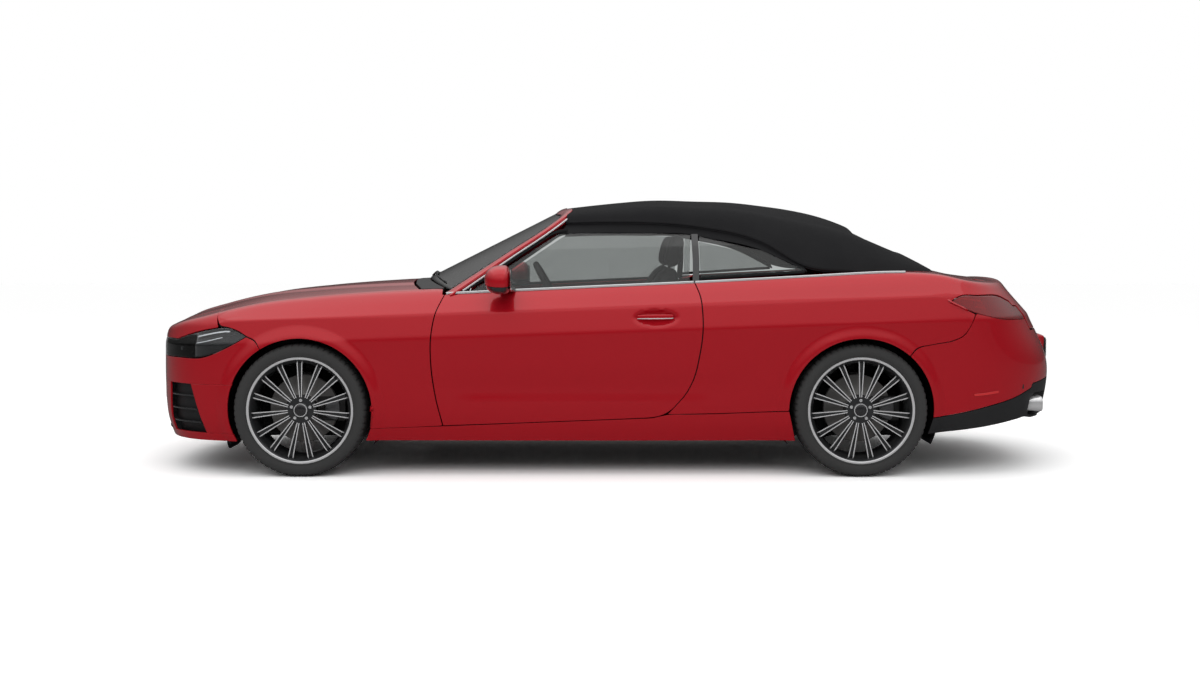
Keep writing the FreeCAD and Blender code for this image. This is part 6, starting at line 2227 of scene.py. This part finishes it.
        bright = sleeve(((2.170, 0.94), (2.255, 1.0), (2.272, 1.03), (2.276, 1.00), (2.272, 0.93),
                (2.255, 0.90)))
        dark = sleeve(((2.262, 0.895), (2.190, 0.86), (2.185, 0.50), (2.184, 0.05)))
        Make(CHROME).piece("exhaust_tips", bright.both())
        Make(STEEL).piece("exhaust_tip_linings", dark.both())
        pipes = Shell().cord(run(((-1.360, 0, 0.190), (0, 0, 0.190), (1.760, 0, 0.190)), 30),
                                   oval(0.060, 0.060, 24, 2.0))
        pipes.cord(run(((-1.330, 0, 0.190), (-1.330, 0, 0.285)), 6, False),
                                              oval(0.060, 0.060, 24, 2.0), (1, 0, 0))
        for middle, half in (((1.915, 0, 0.322), (0.172, 0.635, 0.078)),
                ((1.755, 0, 0.215), (0.040, 0.045, 0.060))):
            pipes.closed(block(middle, half, 7.0, 24, 60))
        outlets = Shell().cord(run(((2.06, -0.600, 0.350), (2.175, -0.600, 0.350)), 8, False),
                                     oval(0.076, 0.070, 24, 2.0))
        outlets = outlets.grid(block((1.900, -0.300, 0.410), (0.020, 0.020, 0.030), 6.0), ring_columns=True)
        # the exhaust system's steel is darkened as painted shade
        Solid(PIPE_IN_PAINTED_SHADE).piece("exhaust_system", pipes.plus(outlets.both()), ["exhaust"])

    def plates(self) -> None:
        """The blank number plates on their black carriers."""
        shell, carrier = Shell(), Shell()
        for x, z in ((-2.4235, 0.300), (2.4130, 0.620)):
            shell.closed(block((x, 0, z), (0.0018, 0.258, 0.0545), 14.0))
            carrier.closed(block((x - math.copysign(0.010, x), 0, z), (0.0085, 0.264, 0.060), 12.0))
        Solid(PLATE).piece("blank_plates", shell)
        Solid(TRIM).piece("plate_carriers", carrier)

    def flaps(self) -> None:
        """The rubber flap ahead of each front wheel."""
        y, rise = np.meshgrid(np.linspace(-0.835, -0.50, 40), np.linspace(0.0, 1.0, 8), indexing="ij")
        low = 0.128 + 0.048 * np.abs((y + 0.6675) / 0.1675) ** 5
        x = -1.968 + 0.020 * rise - 0.010 * np.cos((y + 0.6675) / 0.1675 * math.pi / 2)
        points = np.stack([x, y, low + (0.205 - low) * rise], axis=-1)
        Make(SEAL, wall=0.006, edge=0.0015).piece("front_wheel_flaps", Shell().grid(points).both())

    def build(self) -> None:
        """All trim."""
        self.grille()
        self.side_inlets()
        self.mirror("left", -1)
        self.mirror("right", 1)
        self.handle()
        self.tips()
        self.plates()
        self.flaps()


# ---------------------------------------------------------------- cabin
@dataclass
class Cabin:
    """Seats, dash, console, door cards and steering wheel."""

    frames: int = 20
    voxel: float = 0.006

    def puff(self, name: str, grid: Array, pressure: float, cap: float) -> bpy.types.Object:
        """A stuffed piece: its closed shape is remeshed and blown up a little as cloth.

        Args:
            name: The piece's name.
            grid: A closed shape, rings joined along its columns.
            pressure: Pressure inside.
            cap: The farthest a point may move.

        Returns:
            The finished piece, riding on the car body.
        """
        item = Solid(LEATHER, corner=80).piece(name, Shell().closed(grid))
        remesh = item.modifiers.new("even", "REMESH")
        remesh.mode, remesh.voxel_size, remesh.use_smooth_shade = "VOXEL", self.voxel, True
        self.settle(item)
        before = np.empty(len(item.data.vertices) * 3)
        item.data.vertices.foreach_get("co", before)
        cloth = item.modifiers.new("cloth", "CLOTH")
        cloth.settings.use_pressure = True
        cloth.settings.uniform_pressure_force = pressure
        cloth.settings.effector_weights.gravity = 0.0
        cloth.settings.quality = 4
        cloth.settings.mass = 0.4
        cloth.point_cache.frame_start, cloth.point_cache.frame_end = 1, self.frames
        for number in range(1, self.frames + 1):
            bpy.context.scene.frame_set(number)
        self.settle(item)
        bpy.context.scene.frame_set(1)
        after = np.empty(len(item.data.vertices) * 3)
        item.data.vertices.foreach_get("co", after)
        moved = (after - before).reshape(-1, 3)
        length = np.linalg.norm(moved, axis=1, keepdims=True)
        held = before.reshape(-1, 3) + moved * np.minimum(1.0, cap / np.maximum(length, 1e-9))
        item.data.vertices.foreach_set("co", held.ravel())
        item.data.shade_smooth()
        return item

    def settle(self, item: bpy.types.Object) -> None:
        """Replace the object's mesh by the one its modifiers give.

        Args:
            item: The object.
        """
        graph = bpy.context.evaluated_depsgraph_get()
        fresh = bpy.data.meshes.new_from_object(item.evaluated_get(graph))
        item.modifiers.clear()
        item.data = fresh

    def twin(self, item: bpy.types.Object, name: str) -> None:
        """The same stuffed piece on the other side of the car.

        Args:
            item: The piece on the left.
            name: The name of its twin.
        """
        mesh = item.data.copy()
        count = len(mesh.vertices)
        points = np.empty(count * 3)
        mesh.vertices.foreach_get("co", points)
        points = points.reshape(-1, 3) * (1.0, -1.0, 1.0)
        mesh.vertices.foreach_set("co", points.ravel())
        mesh.flip_normals()
        other = bpy.data.objects.new(name, mesh)
        bpy.context.scene.collection.objects.link(other)
        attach(other, "car_body")

    def leaning(self, grid: Array, foot: Sequence[float], angle: float) -> Array:
        """A grid built upright at the origin, leaned back by an angle and set at its foot.

        Args:
            grid: The grid.
            foot: Where its origin goes.
            angle: The lean in degrees, backwards.

        Returns:
            The moved grid.
        """
        turn = math.radians(angle)
        x, z = grid[..., 0], grid[..., 2]
        return np.stack([x * math.cos(turn) + z * math.sin(turn), grid[..., 1],
                         -x * math.sin(turn) + z * math.cos(turn)], axis=-1) + np.asarray(foot)

    def front_seats(self) -> None:
        """Front seats with raised bolsters, a leaning back and a head restraint."""
        cushion = ball((-0.205, -0.380, 0.395), (0.262, 0.238, 0.070), 4.5, rows=40, columns=72)
        y = (cushion[..., 1] + 0.380) / 0.238
        top = np.clip((cushion[..., 2] - 0.395) / 0.07, 0, 1)
        cushion[..., 2] += top * (0.022 * np.abs(y) ** 3 - 0.016 * (1 - y ** 2))
        seat = self.puff("left_seat_cushion", cushion, 3.5, 0.008)
        back = ball((0, 0, 0.370), (0.062, 0.235, 0.375), 4.0, rows=56, columns=64)
        y = back[..., 1] / 0.235
        front = np.clip(-back[..., 0] / 0.062, 0, 1)
        back[..., 0] -= front * (0.030 * np.abs(y) ** 3 - 0.012 * (1 - y ** 2))
        back[..., 1] *= 1 - 0.22 * np.clip((back[..., 2] - 0.40) / 0.34, 0, 1) ** 2
        back = self.leaning(back, (0.065, -0.380, 0.375), 21.5)
        rest = self.puff("left_seat_back", back, 3.5, 0.008)
        head = self.leaning(ball((0, 0, 0), (0.044, 0.126, 0.084), 3.2, rows=30, columns=48),
                (0.352, -0.380, 1.152), 14)
        pad = self.puff("left_head_restraint", head, 3.0, 0.005)
        for item, name in ((seat, "right_seat_cushion"), (rest, "right_seat_back"),
                (pad, "right_head_restraint")):
            self.twin(item, name)
        base = Shell().closed(block((-0.19, -0.38, 0.262), (0.215, 0.200, 0.057), 6.0))
        for offset in (-0.045, 0.045):
            post = run(((0.325, -0.38 + offset, 1.060), (0.345, -0.38 + offset, 1.13)), 8, False)
            base.cord(post, oval(0.012, 0.012, 14, 2.0), (1, 0, 0))
        Solid(TRIM).piece("front_seat_frames", base.both(), ["front_seats"])
        seams = Shell()
        for side in (-0.14, 0.14):
            path = run(((-0.455, -0.38 + side, 0.437), (-0.30, -0.38 + side, 0.4575),
                    (-0.05, -0.38 + side, 0.457)), 30)
            seams.cord(path, oval(0.006, 0.004, 8))
        Solid(LEATHER).piece("front_seat_piping", seams.both())

    def rear_seat(self) -> None:
        """The rear bench: one cushion and one back with two hollows each."""
        cushion = ball((0.722, 0, 0.512), (0.165, 0.452, 0.048), 5.0, rows=30, columns=90)
        y = cushion[..., 1]
        top = np.clip((cushion[..., 2] - 0.512) / 0.048, 0, 1)
        cushion[..., 2] -= top * 0.014 * np.exp(-((np.abs(y) - 0.24) / 0.12) ** 2)
        self.puff("rear_bench_cushion", cushion, 3.5, 0.007)
        back = ball((0, 0, 0.245), (0.048, 0.452, 0.248), 5.0, rows=40, columns=90)
        front = np.clip(-back[..., 0] / 0.048, 0, 1)
        back[..., 0] += front * 0.014 * np.exp(-((np.abs(back[..., 1]) - 0.24) / 0.12) ** 2)
        item = self.puff("rear_bench_back", self.leaning(back, (0.905, 0, 0.490), 14), 3.5, 0.007)
        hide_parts("rear_seat")

    def dash(self) -> None:
        """The dash: a rounded outline carried across the cabin, with screens, vents and console."""
        outline = np.array(((-0.845, 0.60), (-0.74, 0.590), (-0.690, 0.610), (-0.652, 0.66),
                (-0.645, 0.72), (-0.672, 0.765), (-0.664, 0.800), (-0.668, 0.845), (-0.700, 0.872),
                (-0.762, 0.895), (-0.846, 0.898)))
        loop = run(outline, 70)
        y = np.linspace(-0.678, 0.678, 60)
        hood = 0.012 * np.exp(-((y + 0.38) / 0.17) ** 2)
        grid = np.stack([np.broadcast_to(loop[None, :, 0], (60, 70)),
                np.broadcast_to(y[:, None], (60, 70)), loop[None, :, 1]
                + hood[:, None] * np.clip((loop[None, :, 1] - 0.84) / 0.05, 0, 1)], axis=-1)
        shell = Shell().tube(grid)
        console = run(((-0.800, 0, 0.500), (-0.700, 0, 0.510), (-0.45, 0, 0.500), (-0.25, 0, 0.492),
                (0.115, 0, 0.480)), 60)
        shell.cord(console, oval(0.244, 0.170, 32, 6.0))
        column = run(((-0.395, -0.38, 0.885), (-0.650, -0.38, 0.744)), 20, False)
        shell.cord(column, oval(0.080, 0.080, 24, 3.0), (0, 0, 1), np.linspace(0.9, 1.1, 20))
        Solid(DASH, corner=50).piece("dash_and_console", shell, ["dashboard"])
        screens = Shell()
        for centre, half, angle in (((-0.690, -0.38, 0.925), (0.004, 0.150, 0.046), 12),
                                    ((-0.640, 0.0, 0.745), (0.004, 0.088, 0.120), 24)):
            screens.closed(self.leaning(ball((0, 0, 0), half, 10.0, rows=20, columns=40),
                                                             centre, -angle))
        Solid(GLOSS).piece("dash_screens", screens)
        vents = Shell()
        for y in (-0.60, -0.16, 0.16, 0.60):
            turn = np.linspace(0, 2 * math.pi, 40)
            ring = np.stack([np.full(40, -0.652), y + 0.042 * np.cos(turn), 0.815 + 0.030 * np.sin(turn)],
                    axis=1)
            vents.hoop(ring, oval(0.010, 0.006, 10), (1, 0, 0))
        strip = run(((-0.642, -0.66, 0.735), (-0.638, 0.0, 0.735), (-0.642, 0.66, 0.735)), 40)
        vents.cord(strip, oval(0.006, 0.014, 12))
        Solid(CHROME).piece("dash_bright_parts", vents)

    def wheel(self) -> None:
        """The steering wheel: a rim a little flat below, three spokes and a plain boss."""
        centre = np.array((-0.311, -0.380, 0.932))
        axis = np.array((0.874, 0.0, 0.486))
        across, upward = np.array((0.0, 1.0, 0.0)), np.array((-0.486, 0.0, 0.874))
        turn = np.linspace(0, 2 * math.pi, 96, endpoint=False)
        radius = 0.172 - 0.012 * np.clip(-np.sin(turn) - 0.80, 0, 1) / 0.2
        path = centre + radius[:, None] * (np.cos(turn)[:, None] * across + np.sin(turn)[:, None] * upward)
        closed = np.concatenate([path[-1:], path, path[:1]])
        rings = sweep(closed, oval(0.027, 0.031, 16, 2.2), axis)[1:-1]
        shell = Shell().grid(rings, ring_rows=True, ring_columns=True)
        boss = self.leaning(ball((0, 0, 0), (0.022, 0.066, 0.058), 3.0, rows=24, columns=40),
                centre - axis * 0.018, -29)
        shell.closed(boss)
        Solid(LEATHER, "steering_wheel_body").piece("steering_wheel_rim_and_boss", shell, ["steering_wheel"])
        spokes = Shell()
        for angle in (180, 0, 270):
            out = math.cos(math.radians(angle)) * across + math.sin(math.radians(angle)) * upward
            path = centre + np.linspace(0.040, 0.168, 16)[:, None] * out - axis * np.linspace(0.018,
                    0.004, 16)[:, None]
            spokes.cord(path, oval(0.034, 0.009, 14, 4.0), axis)
        shaft = centre - axis * np.linspace(0.02, 0.30, 10)[:, None]
        spokes.cord(shaft, oval(0.036, 0.036, 20, 2.0))
        Solid(CALIPER, "steering_wheel_body").piece("steering_wheel_spokes", spokes)

    def cards(self) -> None:
        """Door cards with an armrest and a pocket."""
        x, z = np.meshgrid(np.linspace(-0.80, 0.330, 80), np.linspace(0.330, 0.900, 50), indexing="ij")
        rest = np.exp(-((z - 0.655) / 0.035) ** 2) * np.clip((x + 0.72) / 0.1, 0,
                1) * np.clip((0.30 - x) / 0.1, 0, 1)
        pocket = np.clip(np.sin((x + 0.80) / 1.13 * math.pi) * 1.5, 0, 1) * np.exp(-((z - 0.43) / 0.05) ** 2)
        y = 0.731 - 0.030 * rest - 0.012 * pocket
        shell = Shell().grid(np.stack([x, -y, z], axis=-1), flip=True)
        for name, parts in (("left", shell), ("right", shell.mirrored())):
            Make(DASH, f"{name}_door_body", wall=0.003).piece(f"{name}_door_card", parts)

    def build(self) -> None:
        """The whole cabin."""
        self.front_seats()
        self.rear_seat()
        self.dash()
        self.wheel()
        self.cards()


# ---------------------------------------------------------------- studio
@dataclass
class Studio:
    """A white floor and backdrop, soft lights and the camera."""

    place: tuple[float, float, float] = (-0.048, -8.405, 1.167)
    tilt: float = 86.55
    lens: float = 44.4
    floor_white: float = 1.3
    sky: tuple[float, float] = (0.33, 0.85)
    mirrored: tuple[float, float] = (0.05, 0.80)

    def camera(self) -> None:
        """The camera, level across and tipped down a little."""
        data = bpy.data.cameras.new("camera")
        data.lens, data.sensor_width, data.clip_end = self.lens, 36.0, 200.0
        item = bpy.data.objects.new("camera", data)
        item.location = self.place
        item.rotation_euler = (math.radians(self.tilt), 0.0, 0.0)
        bpy.context.scene.collection.objects.link(item)
        bpy.context.scene.camera = item

    def lamp(self, name: str, place: Sequence[float], turn: Sequence[float], size: Sequence[float],
             power: float, mirrored: bool) -> None:
        """One soft rectangular light.

        Args:
            name: Its name.
            place: Where it stands.
            turn: Its angles in degrees.
            size: Its two sides.
            power: Its power in watts.
            mirrored: Whether glossy surfaces show it.
        """
        data = bpy.data.lights.new(name, "AREA")
        data.shape, data.size, data.size_y, data.energy = "RECTANGLE", size[0], size[1], power
        item = bpy.data.objects.new(name, data)
        item.location = place
        item.rotation_euler = tuple(math.radians(angle) for angle in turn)
        item.visible_glossy = mirrored
        bpy.context.scene.collection.objects.link(item)

    def floor(self) -> None:
        """A floor that looks white to the camera, pale grey in the paint, and keeps the shadow."""
        mesh = bpy.data.meshes.new("studio_floor")
        mesh.from_pydata([(-40, -40, 0), (40, -40, 0), (40, 40, 0), (-40, 40, 0)], [], [(0, 1, 2, 3)])
        item = bpy.data.objects.new("studio_floor", mesh)
        bpy.context.scene.collection.objects.link(item)
        shade = Shade("studio_floor")
        tone = shade.blend(shade.noise(shade.place(), 0.5), (0.93, 0.93, 0.93), (0.95, 0.95, 0.95))
        plain = shade.principled({"Base Color": tone, "Roughness": 0.9, "Specular IOR Level": 0.1})
        white = (self.floor_white,) * 3 + (1.0,)
        bright = Sock(shade, shade.node("BsdfDiffuse", {}, {"Color": white}).outputs[0])
        grey = Sock(shade, shade.node("BsdfDiffuse", {}, {"Color": (0.15, 0.15, 0.15, 1.0)}).outputs[0])
        path = shade.node("LightPath")
        seen = Sock(shade, path.outputs["Is Camera Ray"])
        mirrored = Sock(shade, path.outputs["Is Glossy Ray"])
        dull = Sock(shade, shade.node("MixShader", {}, {0: mirrored, 1: plain, 2: grey}).outputs[0])
        mixed = shade.node("MixShader", {}, {0: seen, 1: dull, 2: bright})
        mesh.materials.append(shade.close(Sock(shade, mixed.outputs[0])))

    def world(self) -> None:
        """White to the camera and through glass; round the car, dim low down and bright above.

        The brightness follows the square of the smooth step of the direction's height.
        """
        world = bpy.data.worlds.new("studio")
        bpy.context.scene.world = world
        shade = Shade(world.name, world)
        path = shade.node("LightPath")
        mirrored = Sock(shade, path.outputs["Is Glossy Ray"])
        through_glass = Sock(shade, path.outputs["Is Transmission Ray"])
        seen = shade.maths("MAXIMUM", Sock(shade, path.outputs["Is Camera Ray"]), through_glass)
        spot = shade.node("TexCoord")
        height = shade.parts(Sock(shade, spot.outputs["Object"]))[2]
        levels = []
        for low, high in (self.sky, self.mirrored):
            reach = {"Value": height, "From Min": 0.0, "From Max": 0.75, "To Min": low, "To Max": high}
            rising = shade.node("MapRange", {"interpolation_type": "SMOOTHSTEP"}, reach)
            levels.append(Sock(shade, rising.outputs[0]))
        both = shade.node("Mix", {}, {"Factor": mirrored, 2: levels[0], 3: levels[1]})
        ambient = shade.node("Background", {}, {"Color": (1.0, 1.0, 1.0, 1.0),
                                                "Strength": Sock(shade, both.outputs[0])})
        white = shade.node("Background", {}, {"Color": (1.0, 1.0, 1.0, 1.0), "Strength": 1.0})
        mix = shade.node("MixShader", {}, {0: seen, 1: Sock(shade, ambient.outputs[0]),
                                           2: Sock(shade, white.outputs[0])})
        shade.node("OutputWorld", {}, {0: Sock(shade, mix.outputs[0])})

    def build(self) -> None:
        """Everything round the car."""
        bpy.context.scene.view_settings.view_transform = "Standard"
        self.camera()
        self.floor()
        self.world()
        self.lamp("top_light", (0.0, -0.3, 5.4), (0, 0, 0), (9.0, 6.0), 85, True)
        self.lamp("side_light", (-0.5, -8.0, 5.0), (58, 0, 0), (10.0, 4.0), 270, False)


@dataclass
class Chassis:
    """CAD nodes that stay as they are, with their finishes, and the wheelhouse linings."""

    room: float = 0.408
    inner: float = 0.470
    outer: float = 0.835

    kept: tuple[tuple[Finish, tuple[str, ...]], ...] = (
        (STEEL, ("front_axle", "rear_axle", "front_left_knuckle", "front_right_knuckle")),
        (TRIM, ("wheel_liners", "engine", "cowl")),
        (CARPET, ("floor_pan",)),
    )

    def linings(self) -> None:
        """A lining round each wheel: an arc about the axle carried inwards, closed by a flat wall."""
        shell = Shell()
        for axle in (FRONT_AXLE, REAR_AXLE):
            angle = np.radians(np.linspace(-26, 206, 90))
            y, turn = np.meshgrid(np.linspace(-self.outer, -self.inner, 6), angle, indexing="ij")
            shell.grid(np.stack([axle + self.room * np.cos(turn), y, AXLE_HEIGHT + self.room * np.sin(turn)],
                                axis=-1))
            turn, share = np.meshgrid(np.radians(np.linspace(-26, 90, 40)), np.linspace(-1, 1, 12),
                    indexing="ij")
            shell.grid(np.stack([axle + self.room * np.cos(turn) * share, np.full(turn.shape, -self.inner),
                                 AXLE_HEIGHT + self.room * np.sin(turn)], axis=-1))
        Make(TRIM, wall=0.003, corner=50).piece("wheelhouse_linings", shell.both())

    def build(self) -> None:
        """Dress every node that is still shown."""
        for finish, nodes in self.kept:
            dress(nodes, finish)
        self.linings()


def write_sizes() -> None:
    """Bring the view layer up to date."""
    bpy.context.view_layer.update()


def main() -> None:
    """Build the car and the studio."""
    logging.basicConfig(level=logging.INFO, format="%(message)s")
    Studio().build()
    form = BodyForm()
    for part in (Bodywork(form), Wheels(), Lamps(form), Glass(form), Roof(), Trim(form), Cabin(), Chassis()):
        part.build()
    write_sizes()


if __name__ == "__main__":
    main()
